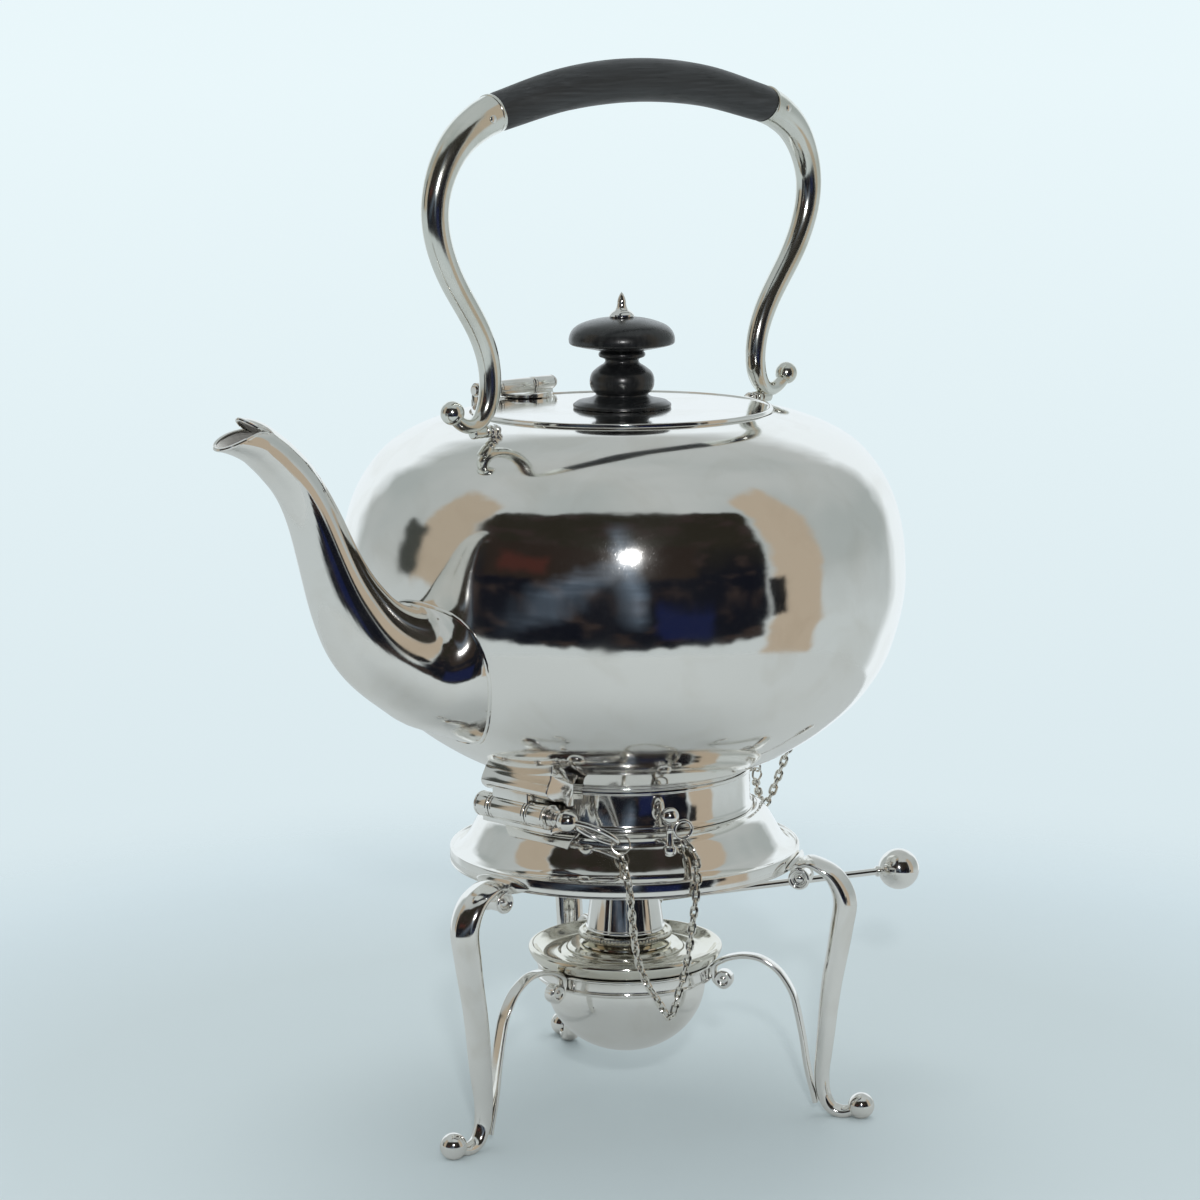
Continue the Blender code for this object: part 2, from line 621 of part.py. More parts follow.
def collar_envelope(clearance):
    """A solid as the collar is outside, grown by a clearance."""
    radius, foot = COLLAR_RADIUS + clearance, COLLAR_RADIUS + COLLAR_FOOT + clearance
    foot_top = PLATFORM_TOP + 2 * COLLAR_FOOT + clearance
    outline = ((0.0, PLATFORM_TOP - OVERRUN), (foot, PLATFORM_TOP - OVERRUN), (foot, foot_top),
               (radius, foot_top + COLLAR_FOOT), (radius, COLLAR_TOP + clearance), (0.0, COLLAR_TOP + clearance))
    return turned(outline, WIDE_SIDES)


def make_collar():
    """Short tube with a small foot, which carries the kettle's foot ring."""
    inner = COLLAR_RADIUS - COLLAR_WALL
    bottom = PLATFORM_TOP + SOLDER_GAP
    outline = ((inner, bottom), (COLLAR_RADIUS + COLLAR_FOOT, bottom),
               (COLLAR_RADIUS + COLLAR_FOOT, bottom + COLLAR_FOOT), (COLLAR_RADIUS, bottom + 2 * COLLAR_FOOT),
               (COLLAR_RADIUS, COLLAR_TOP), (inner, COLLAR_TOP))
    return make_piece("collar", turned(outline, WIDE_SIDES), SILVER)


def leg_leaf(azimuth):
    """A leaf that lies on the rim, with a point at each side of the leg."""
    rings = []
    for turn, height, thickness in LEAF_SHARES:
        outward = polar(1.0, azimuth + LEAF_SPAN * turn, 0.0)
        depth = LEAF_HALF_THICKNESS * thickness
        core = outward * (PLATFORM_RADIUS + SOLDER_GAP + depth) + UP * LEAF_HEIGHT
        rings.append([core + outward * depth * u + UP * LEAF_HALF_HEIGHT * height * v
                      for u, v in circle_shares(WIRE_SIDES)])
    return lofted(rings)


def leg_reach(share):
    """How far out from the axis a point of a leg is, by its share of the leg's overhang."""
    return PLATFORM_RADIUS + LEG_OVERHANG * share


def make_legs():
    """Three keeled cabriole legs, each with a leaf on the rim, a scroll below it and a ball toe."""
    stations = smoothed([Vector(shares) for shares in LEG_SHARES], 1)
    path = [(leg_reach(reach), LEG_HEIGHT * height) for reach, height, _, _ in stations]
    thickness = [LEG_THICKNESS * share for _, _, share, _ in stations]
    width = [LEG_WIDTH * share for _, _, _, share in stations]
    eye = SCROLL_RADIUS * SCROLL_EYE_SHARE
    end, floor = SCROLL_HALF_WIDTH, SCROLL_HALF_WIDTH - SCROLL_EYE_DEPTH
    roll = ((0.0, -floor), (eye, -floor), (eye, -end), (SCROLL_RADIUS, -end),
            (SCROLL_RADIUS, end), (eye, end), (eye, floor), (0.0, floor))
    legs = []
    for name, azimuth in LEG_AZIMUTHS.items():
        side = Vector((-math.sin(azimuth), math.cos(azimuth), 0.0))
        scroll = turned(roll, SMALL_SIDES, aim(side, polar(leg_reach(SCROLL_REACH_SHARE), azimuth, SCROLL_HEIGHT)))
        toe = ball(polar(LEG_REACH, azimuth, TOE_RADIUS - TOE_SINK), TOE_RADIUS)
        under = prism(((0.0, -TOE_RADIUS), (0.0, 0.0), (2 * LEG_REACH, 0.0), (2 * LEG_REACH, -TOE_RADIUS)),
                      -LEG_REACH, LEG_REACH)
        bmesh.ops.transform(under, matrix=Matrix.Rotation(azimuth, 4, "Z"), verts=under.verts)
        shank = swept(path, thickness, width, KEEL_SECTION_SHARES, azimuth)
        legs.append(make_piece("leg_" + name, shank, SILVER,
                               joined=(scroll, toe, leg_leaf(azimuth)), cut=(under,)))
    return legs


def make_braces():
    """Three arched straps from the legs to the burner ring, rolled up at the ring."""
    span = leg_reach(BRACE_FOOT_SHARE) - BURNER_RING_RADIUS
    path = [(BURNER_RING_RADIUS + span * reach, BURNER_RING_TOP * height) for reach, height in BRACE_SHARES]
    path = [tuple(point) for point in smoothed([Vector(point) for point in path], 1)]
    thickness = [BRACE_THICKNESS] * len(path)
    last = len(path) - 1
    width = [BRACE_WIDTH * (1 - (1 - BRACE_END_SHARE) * index / last) for index in range(len(path))]
    section = ((1.0, 0.0), (0.7, 0.8), (0.0, 1.0), (-0.8, 0.85), (-0.8, -0.85), (0.0, -1.0), (0.7, -0.8))
    return [make_piece("brace_" + name, swept(path, thickness, width, section, azimuth), SILVER)
            for name, azimuth in LEG_AZIMUTHS.items()]


def make_burner_ring():
    """Flat band with a bead at each edge, which the burner hangs in."""
    outer = BURNER_RING_RADIUS - BURNER_RING_BEAD
    outline = ((BURNER_RING_BORE, BURNER_RING_BOTTOM), (BURNER_RING_RADIUS, BURNER_RING_BOTTOM),
               (BURNER_RING_RADIUS, BURNER_RING_BOTTOM + BURNER_RING_BEAD),
               (outer, BURNER_RING_BOTTOM + 2 * BURNER_RING_BEAD),
               (outer, BURNER_RING_TOP - 2 * BURNER_RING_BEAD),
               (BURNER_RING_RADIUS, BURNER_RING_TOP - BURNER_RING_BEAD),
               (BURNER_RING_RADIUS, BURNER_RING_TOP), (BURNER_RING_BORE, BURNER_RING_TOP))
    return make_piece("burner_ring", turned(outline, WIDE_SIDES), SILVER)


def front_barrel(start, end, radius):
    """A round length on the front hinge's axis."""
    return round_bar((-HINGE_REACH, start, HINGE_HEIGHT), (-HINGE_REACH, end, HINGE_HEIGHT), radius,
                     TURNED_SIDES)


def make_stand_leaf():
    """Plate on the collar under the front hinge, with the two outer knuckles."""
    top = HINGE_HEIGHT - LEAF_DROP
    profile = ((-HINGE_REACH, top - LEAF_THICKNESS), (0.0, top - LEAF_THICKNESS), (0.0, top), (-HINGE_REACH, top))
    inner = -COLLAR_RADIUS + BLOCK_DEPTH
    profile = tuple((min(x, inner), z) for x, z in profile)
    far = front_barrel(HINGE_FAR_JOINT, HINGE_FAR_END, HINGE_RADIUS)
    near = front_barrel(HINGE_NEAR_END, HINGE_NEAR_JOINT, HINGE_RADIUS)
    room = front_barrel(HINGE_NEAR_JOINT, HINGE_FAR_JOINT, HINGE_RADIUS + RUNNING_GAP)
    bore = front_barrel(HINGE_NEAR_END - OVERRUN, HINGE_FAR_END + OVERRUN, HINGE_PIN_RADIUS + PIN_GAP)
    return make_piece("stand_hinge_leaf", prism(profile, HINGE_NEAR_END, HINGE_FAR_END), SILVER,
                      joined=(far, near), cut=(room, bore, collar_envelope(SOLDER_GAP)))


def make_kettle_block():
    """Moulded block under the kettle, with the front hinge's middle knuckle."""
    profile = [(-HINGE_REACH - BLOCK_DEPTH * out, HINGE_HEIGHT + BLOCK_TOP_RISE * rise)
               for out, rise in BLOCK_SHARES]
    start, end = HINGE_NEAR_JOINT + RUNNING_GAP, HINGE_FAR_JOINT - RUNNING_GAP
    web = ((-HINGE_REACH - WEB_HALF_WIDTH, HINGE_HEIGHT), (-HINGE_REACH + WEB_HALF_WIDTH, HINGE_HEIGHT),
           (-HINGE_REACH + WEB_HALF_WIDTH, HINGE_HEIGHT + BLOCK_TOP_RISE / 2),
           (-HINGE_REACH - WEB_HALF_WIDTH, HINGE_HEIGHT + BLOCK_TOP_RISE / 2))
    room = [front_barrel(HINGE_FAR_JOINT - RUNNING_GAP, HINGE_FAR_END + OVERRUN, HINGE_RADIUS + RUNNING_GAP),
            front_barrel(HINGE_NEAR_END - OVERRUN, HINGE_NEAR_JOINT + RUNNING_GAP, HINGE_RADIUS + RUNNING_GAP)]
    bore = front_barrel(HINGE_NEAR_END - OVERRUN, HINGE_FAR_END + OVERRUN, HINGE_PIN_RADIUS + PIN_GAP)
    return make_piece("kettle_hinge_block", prism(profile, BLOCK_NEAR_END, BLOCK_FAR_END), SILVER,
                      joined=(prism(web, start, end), front_barrel(start, end, HINGE_RADIUS)),
                      cut=(*room, bore, collar_envelope(RUNNING_GAP), foot_ring_envelope(SOLDER_GAP),
                           body_envelope(SOLDER_GAP)))


def front_ball_centre():
    """The centre of the ball at the front pin's near end."""
    neck_end = HINGE_NEAR_END - SOLDER_GAP - PIN_NECK_LENGTH
    return Vector((-HINGE_REACH, neck_end - PIN_BALL_RADIUS, HINGE_HEIGHT))


def loop_centre():
    """The centre of the loop on the front pin's ball."""
    return front_ball_centre() + LOOP_DIRECTION * (PIN_BALL_RADIUS + LOOP_HALF_LENGTH - 2 * LOOP_WIRE)


def split_ring_centre():
    """The centre of the split ring that hangs in the front pin's loop."""
    return loop_centre() + LOOP_DIRECTION * (LOOP_HALF_LENGTH + SPLIT_RING_RUN) - UP * SPLIT_RING_DROP


def make_front_pin():
    """Loose pin with a neck ring, a ball and a loop."""
    start = HINGE_NEAR_END - SOLDER_GAP
    centre = front_ball_centre()
    far_end = HINGE_FAR_END + SOLDER_GAP
    across = LOOP_DIRECTION.cross(UP).normalized()
    wide = Matrix.Rotation(LOOP_TURN, 3, LOOP_DIRECTION) @ across.cross(LOOP_DIRECTION)
    loop = wire_oval(loop_centre(), LOOP_DIRECTION, wide, LOOP_HALF_LENGTH,
                     LOOP_HALF_WIDTH, LOOP_WIRE, SMALL_SIDES, WIRE_SIDES)
    neck = front_barrel(start - PIN_NECK_LENGTH, start, PIN_NECK_RADIUS)
    shaft = front_barrel(centre.y, far_end, HINGE_PIN_RADIUS)
    return make_piece("front_pin", shaft, SILVER,
                      joined=(neck, ball(centre, PIN_BALL_RADIUS), loop))


def make_split_ring(name, centre, radius, direction):
    """A small ring of round wire between a pin and its chain."""
    return make_piece(name, wire_ring(centre, radius, SPLIT_RING_WIRE, direction), SILVER)


def eyelet_ball_centre():
    """The centre of the ball on the chain eyelet's post."""
    return polar(EYELET_REACH, EYELET_AZIMUTH, EYELET_HEIGHT)


def eyelet_ring_centre():
    """The centre of the ring beside the eyelet's ball."""
    side = polar(1.0, EYELET_AZIMUTH + math.pi / 2, 0.0)
    outward = polar(1.0, EYELET_AZIMUTH, 0.0)
    return eyelet_ball_centre() + side * EYELET_RING_SIDE + outward * EYELET_RING_OUT - UP * EYELET_RING_DROP


def make_chain_eyelet():
    """Post with a ball and a ring, on the platform beside the collar."""
    top = eyelet_ball_centre()
    radial = polar(1.0, EYELET_AZIMUTH, 0.0)
    ring = wire_ring(eyelet_ring_centre(), EYELET_RING_RADIUS, EYELET_RING_WIRE, radial)
    post = round_bar(top - UP * (EYELET_HEIGHT - LIP_TOP), top, EYELET_POST_RADIUS)
    return make_piece("chain_eyelet", post, SILVER, joined=(ball(top, EYELET_BALL_RADIUS), ring),
                      cut=(platform_envelope(SOLDER_GAP),))


def chain_drop(radius, wire):
    """How far below a ring's centre its chain starts, so that the end link clears the ring."""
    overhang = (2 + LINK_BEARING_SHARE) * LINK_WIRE / 2
    return radius + wire + SOLDER_GAP + overhang


def make_chain(name, route, azimuth):
    """Oval links along a route, each turned square to the last and fused where it bears on it."""
    curve = smoothed(route, LINK_STEPS)
    pitch = LINK_LENGTH - (2 + LINK_BEARING_SHARE) * LINK_WIRE
    length = sum((after - before).length for before, after in zip(curve, curve[1:]))
    count = math.ceil(length / pitch)
    step = length / count
    facing = polar(1.0, azimuth, 0.0)
    sets = (bmesh.new(), bmesh.new())
    run, index = 0.0, 0
    for before, after in zip(curve, curve[1:]):
        span = (after - before).length
        while index < count and run + span >= (index + 1 / 2) * step:
            along = (after - before).normalized()
            centre = before + along * ((index + 1 / 2) * step - run)
            flat = along.cross(facing).normalized()
            twist = math.radians(45 if index % 2 else -45)
            across = Matrix.Rotation(twist, 3, along) @ flat
            link = wire_oval(centre, along, across, LINK_LENGTH / 2 - LINK_WIRE, LINK_WIDTH / 2 - LINK_WIRE,
                             LINK_WIRE, LINK_STEPS, LINK_SIDES)
            mesh = bpy.data.meshes.new("link")
            link.to_mesh(mesh)
            link.free()
            sets[index % 2].from_mesh(mesh)
            bpy.data.meshes.remove(mesh)
            index += 1
        run += span
    return make_piece(name, sets[0], SILVER, joined=(sets[1],))


def make_front_chain():
    """The chain from the eyelet's ring over the lip, down and up to the split ring."""
    start = eyelet_ring_centre() - UP * chain_drop(EYELET_RING_RADIUS, EYELET_RING_WIRE)
    end = split_ring_centre() - UP * chain_drop(SPLIT_RING_RADIUS, SPLIT_RING_WIRE)
    middle = [Vector((PLATFORM_RADIUS * x, PLATFORM_RADIUS * y, LIP_TOP * z)) for x, y, z in FRONT_CHAIN_SHARES]
    return make_chain("front_chain", [start] + middle + [end], EYELET_AZIMUTH)


def body_outline(steps=1):
    """The kettle body's outer outline, from its base to the shoulder at the lid's seat."""
    shares = smoothed(BODY_SHARES, steps)
    return [(BODY_RADIUS * radius, BODY_BASE + BODY_HEIGHT * height) for radius, height in shares]


def body_envelope(clearance):
    """A solid as the kettle body is outside, grown by a clearance."""
    outline = offset(body_outline(), clearance)
    return turned([(0.0, outline[0][1])] + outline + [(0.0, outline[-1][1])], WIDE_SIDES)


def make_kettle_body():
    """Raised vessel with a flat seat round its mouth and strainer holes behind the spout."""
    outer = body_outline()
    inner = offset(outer, -BODY_WALL)
    seat = BODY_BASE + BODY_HEIGHT - SEAT_DROP
    outline = [(0.0, BODY_BASE + BODY_BASE_CROWN)] + outer
    outline += [(SEAT_RADIUS, seat), (MOUTH_RADIUS, seat), (MOUTH_RADIUS, seat - BODY_WALL)]
    outline += list(reversed(inner[2:-1:2]))
    outline += [(0.0, BODY_BASE + BODY_BASE_CROWN + BODY_WALL)]
    holes = []
    for index in range(7):
        angle = math.radians(60 * index)
        reach = STRAINER_PITCH if index else 0.0
        start = Vector((-BODY_RADIUS - OVERRUN, reach * math.sin(angle), STRAINER_HEIGHT + reach * math.cos(angle)))
        holes.append(round_bar(start, start + Vector((BODY_RADIUS / 2, 0.0, 0.0)), STRAINER_RADIUS, WIRE_SIDES))
    return make_piece("kettle_body", turned(outline, WIDE_SIDES), SILVER, cut=holes)


def foot_ring_envelope(clearance):
    """A solid as the foot ring is outside, grown by a clearance."""
    radius = COLLAR_RADIUS + clearance
    return turned(((0.0, COLLAR_TOP), (radius, COLLAR_TOP), (radius, BODY_BASE), (0.0, BODY_BASE)), WIDE_SIDES)


def make_foot_ring():
    """Flat ring under the body, which rests on the collar."""
    bottom, top = COLLAR_TOP + SOLDER_GAP, BODY_BASE - SOLDER_GAP
    outline = ((FOOT_RING_INNER, bottom), (COLLAR_RADIUS, bottom), (COLLAR_RADIUS, top), (FOOT_RING_INNER, top))
    return make_piece("foot_ring", turned(outline, WIDE_SIDES), SILVER)


def spout_rings(inset):
    """Rings of the spout from the tips of its mouth to its root, drawn in by a wall's thickness."""
    rings = []
    for reach, rise, thickness, width, tilt in smoothed(SPOUT_SHARES, 1):
        core = Vector((-SPOUT_REACH * reach, 0.0, BODY_BASE + SPOUT_RISE * rise))
        upward = Vector((math.sin(SPOUT_TILT * tilt), 0.0, math.cos(SPOUT_TILT * tilt)))
        half_height = SPOUT_THICKNESS * thickness - inset
        half_width = SPOUT_THICKNESS * width - inset
        rings.append([core + upward * half_height * u + ALONG_Y * half_width * v
                      for u, v in circle_shares(SPOUT_SIDES)])
    return spout_lip(rings[0]) + rings


def spout_lip(ring):
    """Rings beyond the mouth: a long tip below, a drawn-in tip above, and a notch at each side."""
    tilt = SPOUT_TILT * SPOUT_SHARES[0][-1]
    outward = Vector((-math.cos(tilt), 0.0, math.sin(tilt)))
    upward = Vector((math.sin(tilt), 0.0, math.cos(tilt)))
    rings = []
    for step in range(LIP_RINGS, 0, -1):
        share = step / LIP_RINGS
        points = []
        for point, (u, _) in zip(ring, circle_shares(SPOUT_SIDES)):
            tip, shift = (LIP_UPPER_REACH, -LIP_UPPER_DRAW) if u > 0 else (LIP_LOWER_REACH, -LIP_LOWER_FLARE)
            height = abs(u)
            reach = LIP_NOTCH_REACH + (tip - LIP_NOTCH_REACH) * height
            lift = LIP_NOTCH_RISE * (1 - height) + shift * height
            moved = point + outward * reach * share + upward * lift * share ** 2
            moved.y *= 1 - LIP_NARROWING_SHARE * share ** 2
            points.append(moved)
        rings.append(points)
    return rings


def make_spout():
    """Hollow S-shaped spout with a beak-shaped mouth and a flared root that follows the body."""
    skin = spout_rings(0.0)
    bore = spout_rings(SPOUT_WALL)
    return make_piece("spout", lofted(skin + list(reversed(bore)), looped=True), SILVER,
                      cut=(body_envelope(SOLDER_GAP),))


def lock_bar(start, end, radius):
    """A round length on the rear lock's axis."""
    return round_bar((LOCK_REACH, start, HINGE_HEIGHT), (LOCK_REACH, end, HINGE_HEIGHT), radius)


def make_lock_tongue():
    """Tongue with an eye on the collar, for the rear pin."""
    start, half = COLLAR_RADIUS - COLLAR_WALL, LOCK_RADIUS - KNUCKLE_STEP
    profile = ((start, HINGE_HEIGHT - half), (LOCK_REACH, HINGE_HEIGHT - half),
               (LOCK_REACH, HINGE_HEIGHT + half), (start, HINGE_HEIGHT + half))
    half_width = TONGUE_HALF_WIDTH - KNUCKLE_STEP
    eye = lock_bar(-TONGUE_HALF_WIDTH, TONGUE_HALF_WIDTH, LOCK_RADIUS)
    bore = lock_bar(-HINGE_REACH, HINGE_REACH, LOCK_PIN_RADIUS + PIN_GAP)
    return make_piece("lock_tongue", prism(profile, -half_width, half_width), SILVER,
                      joined=(eye,), cut=(bore, collar_envelope(SOLDER_GAP)))


def make_lock_ears():
    """Two ears under the body at the back, bridged at the top, for the rear pin."""
    inner_x = COLLAR_RADIUS + EAR_COLLAR_GAP
    outer_y = TONGUE_HALF_WIDTH + RUNNING_GAP + EAR_THICKNESS
    outer_x, top = LOCK_REACH + LOCK_RADIUS - KNUCKLE_STEP, BODY_BASE + LOCK_REACH / 4
    low = HINGE_HEIGHT + KNUCKLE_STEP
    profile = ((inner_x, low), (outer_x, low), (outer_x, top), (inner_x, top))
    eyes = lock_bar(-outer_y, outer_y, LOCK_RADIUS)
    slot_top = HINGE_HEIGHT + LOCK_RADIUS + RUNNING_GAP
    slot = ((0.0, 0.0), (BODY_RADIUS, 0.0), (BODY_RADIUS, slot_top), (0.0, slot_top))
    half_slot = TONGUE_HALF_WIDTH + RUNNING_GAP
    bore = lock_bar(-HINGE_REACH, HINGE_REACH, LOCK_PIN_RADIUS + PIN_GAP)
    half_width = outer_y - KNUCKLE_STEP
    return make_piece("lock_ears", prism(profile, -half_width, half_width), SILVER, joined=(eyes,),
                      cut=(prism(slot, -half_slot, half_slot), bore, collar_envelope(EAR_COLLAR_GAP),
                           foot_ring_envelope(EAR_COLLAR_GAP), body_envelope(SOLDER_GAP)))


def rear_ball_centre():
    """The centre of the rear pin's ball, with the pin drawn back out of the tongue."""
    tip = -TONGUE_HALF_WIDTH - 2 * RUNNING_GAP
    shaft = 2 * (EAR_THICKNESS + TONGUE_HALF_WIDTH + 2 * RUNNING_GAP)
    return Vector((LOCK_REACH, tip - shaft - LOCK_BALL_RADIUS, HINGE_HEIGHT))


def rear_eye_centre():
    """The centre of the eye on the rear pin's ball."""
    return rear_ball_centre() - ALONG_Y * (LOCK_BALL_RADIUS + LOCK_EYE_RADIUS - LOCK_EYE_WIRE)


def rear_ring_centre():
    """The centre of the split ring in the rear pin's eye."""
    radius = REAR_SPLIT_RING_RADIUS - SPLIT_RING_WIRE
    return rear_eye_centre() - UP * (LOCK_EYE_RADIUS - LOCK_EYE_WIRE - SPLIT_RING_WIRE - SOLDER_GAP / 2 + radius)


def make_rear_pin():
    """Short loose pin with a ball and an eye, drawn back so that the kettle is free to tilt."""
    centre = rear_ball_centre()
    tip = -TONGUE_HALF_WIDTH - 2 * RUNNING_GAP
    eye = wire_ring(rear_eye_centre(), LOCK_EYE_RADIUS, LOCK_EYE_WIRE, (1.0, 0.0, 0.0))
    return make_piece("rear_pin", lock_bar(centre.y, tip, LOCK_PIN_RADIUS), SILVER,
                      joined=(ball(centre, LOCK_BALL_RADIUS), eye))


def rear_eyelet_centre():
    """The centre of the eyelet under the body that holds the rear chain."""
    radius = REAR_EYELET_REACH
    outline = body_outline(LINK_STEPS)
    height = min(outline[:len(outline) // 2], key=lambda point: abs(point[0] - radius))[1]
    return polar(radius, REAR_EYELET_AZIMUTH, height - REAR_EYELET_DROP)


def make_rear_eyelet():
    """Small eye soldered under the body at the back."""
    centre = rear_eyelet_centre()
    side = polar(1.0, REAR_EYELET_AZIMUTH + math.pi / 2, 0.0)
    ring = wire_ring(centre, REAR_EYELET_RADIUS, EYELET_RING_WIRE, side)
    stem = round_bar(centre + UP * REAR_EYELET_RADIUS, centre + UP * 2 * REAR_EYELET_DROP,
                     EYELET_RING_WIRE, WIRE_SIDES)
    return make_piece("rear_chain_eyelet", ring, SILVER, joined=(stem,), cut=(body_envelope(SOLDER_GAP),))


def make_rear_chain():
    """The chain from the rear pin's split ring to the eyelet under the body."""
    start = rear_ring_centre() - UP * chain_drop(REAR_SPLIT_RING_RADIUS - SPLIT_RING_WIRE, SPLIT_RING_WIRE)
    end = rear_eyelet_centre() - UP * chain_drop(REAR_EYELET_RADIUS, EYELET_RING_WIRE)
    middle = [Vector((PLATFORM_RADIUS * x, PLATFORM_RADIUS * y, LIP_TOP * z)) for x, y, z in REAR_CHAIN_SHARES]
    return make_chain("rear_chain", [start] + middle + [end], REAR_EYELET_AZIMUTH + math.pi / 2)


def make_lid():
    """Flat lid with a bead at its rim and a flange that drops into the mouth."""
    bottom = LID_TOP - LID_THICKNESS
    flange_inner = LID_FLANGE_RADIUS - LID_FLANGE_WALL
    bead = LID_RADIUS - LID_BEAD_WIDTH
    outline = ((KNOB_BORE, LID_TOP), (bead, LID_TOP), (bead + LID_BEAD, LID_TOP + LID_BEAD),
               (LID_RADIUS - LID_BEAD, LID_TOP + LID_BEAD), (LID_RADIUS, LID_TOP), (LID_RADIUS, bottom),
               (LID_FLANGE_RADIUS, bottom), (LID_FLANGE_RADIUS, bottom - LID_FLANGE_DEPTH),
               (flange_inner, bottom - LID_FLANGE_DEPTH), (flange_inner, bottom), (KNOB_BORE, bottom))
    return make_piece("lid", turned(outline, WIDE_SIDES), SILVER)


def lid_barrel(start, end, radius):
    """A round length on the lid hinge's axis."""
    centre = Vector((LID_HINGE_OFFSET, LID_HINGE_REACH, LID_HINGE_HEIGHT))
    return round_bar(centre + ALONG_X * start, centre + ALONG_X * end, radius)


def cross_block(start, end, near, far, bottom, top):
    """A rectangular block from one X to another, between two reaches and two heights."""
    return lofted([[(x, near, bottom), (x, far, bottom), (x, far, top), (x, near, top)] for x in (start, end)])


def lid_space(clearance):
    """A solid as the closed lid is outside, grown by a clearance."""
    radius = LID_RADIUS + clearance
    outline = ((0.0, BODY_BASE), (radius, BODY_BASE), (radius, LID_TOP + LID_BEAD + clearance),
               (0.0, LID_TOP + LID_BEAD + clearance))
    return turned(outline, WIDE_SIDES)


def make_lid_leaf():
    """Base on the far shoulder with the lid hinge's two outer knuckles."""
    near = LID_HINGE_REACH - LID_LEAF_DEPTH / 2
    far = LID_HINGE_REACH + LID_LEAF_DEPTH
    bottom = LID_HINGE_HEIGHT - 3 * LID_HINGE_RADIUS
    half = LID_HINGE_HALF_LENGTH - KNUCKLE_STEP
    base = cross_block(LID_HINGE_OFFSET - half, LID_HINGE_OFFSET + half, near, far, bottom,
                       LID_HINGE_HEIGHT - KNUCKLE_STEP)
    inner = LID_JOINT_HALF_LENGTH - RUNNING_GAP
    knuckles = [lid_barrel(side * inner, side * LID_HINGE_HALF_LENGTH, LID_HINGE_RADIUS) for side in (-1, 1)]
    room = lid_barrel(-LID_JOINT_HALF_LENGTH, LID_JOINT_HALF_LENGTH, LID_HINGE_RADIUS + 2 * RUNNING_GAP)
    bore = lid_barrel(-BODY_RADIUS, BODY_RADIUS, LID_PIN_RADIUS + PIN_GAP)
    return make_piece("lid_hinge_leaf", base, SILVER, joined=knuckles,
                      cut=(room, bore, lid_space(RUNNING_GAP), body_envelope(SOLDER_GAP)))


def make_lid_strap():
    """Strap on the lid with the hinge's middle knuckle."""
    half = LID_JOINT_HALF_LENGTH - RUNNING_GAP
    inner = half - KNUCKLE_STEP
    bottom = LID_TOP + LID_BEAD + SOLDER_GAP
    strap = cross_block(LID_HINGE_OFFSET - inner, LID_HINGE_OFFSET + inner, LID_STRAP_REACH, LID_HINGE_REACH,
                        bottom, bottom + LID_STRAP_THICKNESS)
    bore = lid_barrel(-BODY_RADIUS, BODY_RADIUS, LID_PIN_RADIUS + PIN_GAP)
    return make_piece("lid_hinge_strap", strap, SILVER, joined=(lid_barrel(-half, half, LID_HINGE_RADIUS),),
                      cut=(bore,))


def make_lid_pin():
    """Hinge pin with a small head at each end."""
    head, end = 2 * LID_PIN_RADIUS, LID_HINGE_HALF_LENGTH + SOLDER_GAP
    outline = ((0.0, -end - LID_PIN_HEAD), (head, -end - LID_PIN_HEAD), (head, -end), (LID_PIN_RADIUS, -end),
               (LID_PIN_RADIUS, end), (head, end), (head, end + LID_PIN_HEAD), (0.0, end + LID_PIN_HEAD))
    place = aim(ALONG_X, (LID_HINGE_OFFSET, LID_HINGE_REACH, LID_HINGE_HEIGHT))
    return make_piece("lid_hinge_pin", turned(outline, SMALL_SIDES, place), SILVER)


def knob_base():
    """The height of the knob's underside."""
    return LID_TOP + SOLDER_GAP


def make_knob():
    """Turned knob: foot disc, baluster between grooves, neck and mushroom, bored for the spindle."""
    outline = [(KNOB_RADIUS * radius, knob_base() + KNOB_HEIGHT * height) for radius, height in KNOB_SHARES]
    outline = [(KNOB_BORE, knob_base())] + outline + [(KNOB_BORE, knob_base() + KNOB_HEIGHT)]
    return make_piece("lid_knob", turned(outline, TURNED_SIDES), EBONY)


def make_finial():
    """Small turned tip on the spindle that goes through the knob and the lid."""
    seat = knob_base() + KNOB_HEIGHT + SOLDER_GAP
    top = seat + FINIAL_HEIGHT
    foot = LID_TOP - LID_THICKNESS - SOLDER_GAP - WASHER_THICKNESS - SOLDER_GAP - NUT_HEIGHT - SOLDER_GAP
    outline = ((0.0, foot), (SPINDLE_RADIUS, foot), (SPINDLE_RADIUS, seat), (FINIAL_RADIUS, seat),
               (FINIAL_RADIUS, seat + FINIAL_DISC / 2), (FINIAL_RADIUS * 3 / 4, seat + FINIAL_DISC),
               (FINIAL_RADIUS / 3, seat + FINIAL_HEIGHT / 2), (FINIAL_RADIUS / 6, top - FINIAL_DISC / 3), (0.0, top))
    return make_piece("knob_finial", turned(outline, SMALL_SIDES), SILVER)


def make_knob_fastening():
    """Washer and nut on the spindle under the lid."""
    washer_top = LID_TOP - LID_THICKNESS - SOLDER_GAP
    washer = ((KNOB_BORE, washer_top), (WASHER_RADIUS, washer_top),
              (WASHER_RADIUS, washer_top - WASHER_THICKNESS), (KNOB_BORE, washer_top - WASHER_THICKNESS))
    nut_top = washer_top - WASHER_THICKNESS - SOLDER_GAP
    nut = ((KNOB_BORE, nut_top), (NUT_RADIUS, nut_top), (NUT_RADIUS, nut_top - NUT_HEIGHT),
           (KNOB_BORE, nut_top - NUT_HEIGHT))
    return [make_piece("knob_washer", turned(washer, SMALL_SIDES), SILVER),
            make_piece("knob_nut", turned(nut, 6), SILVER)]


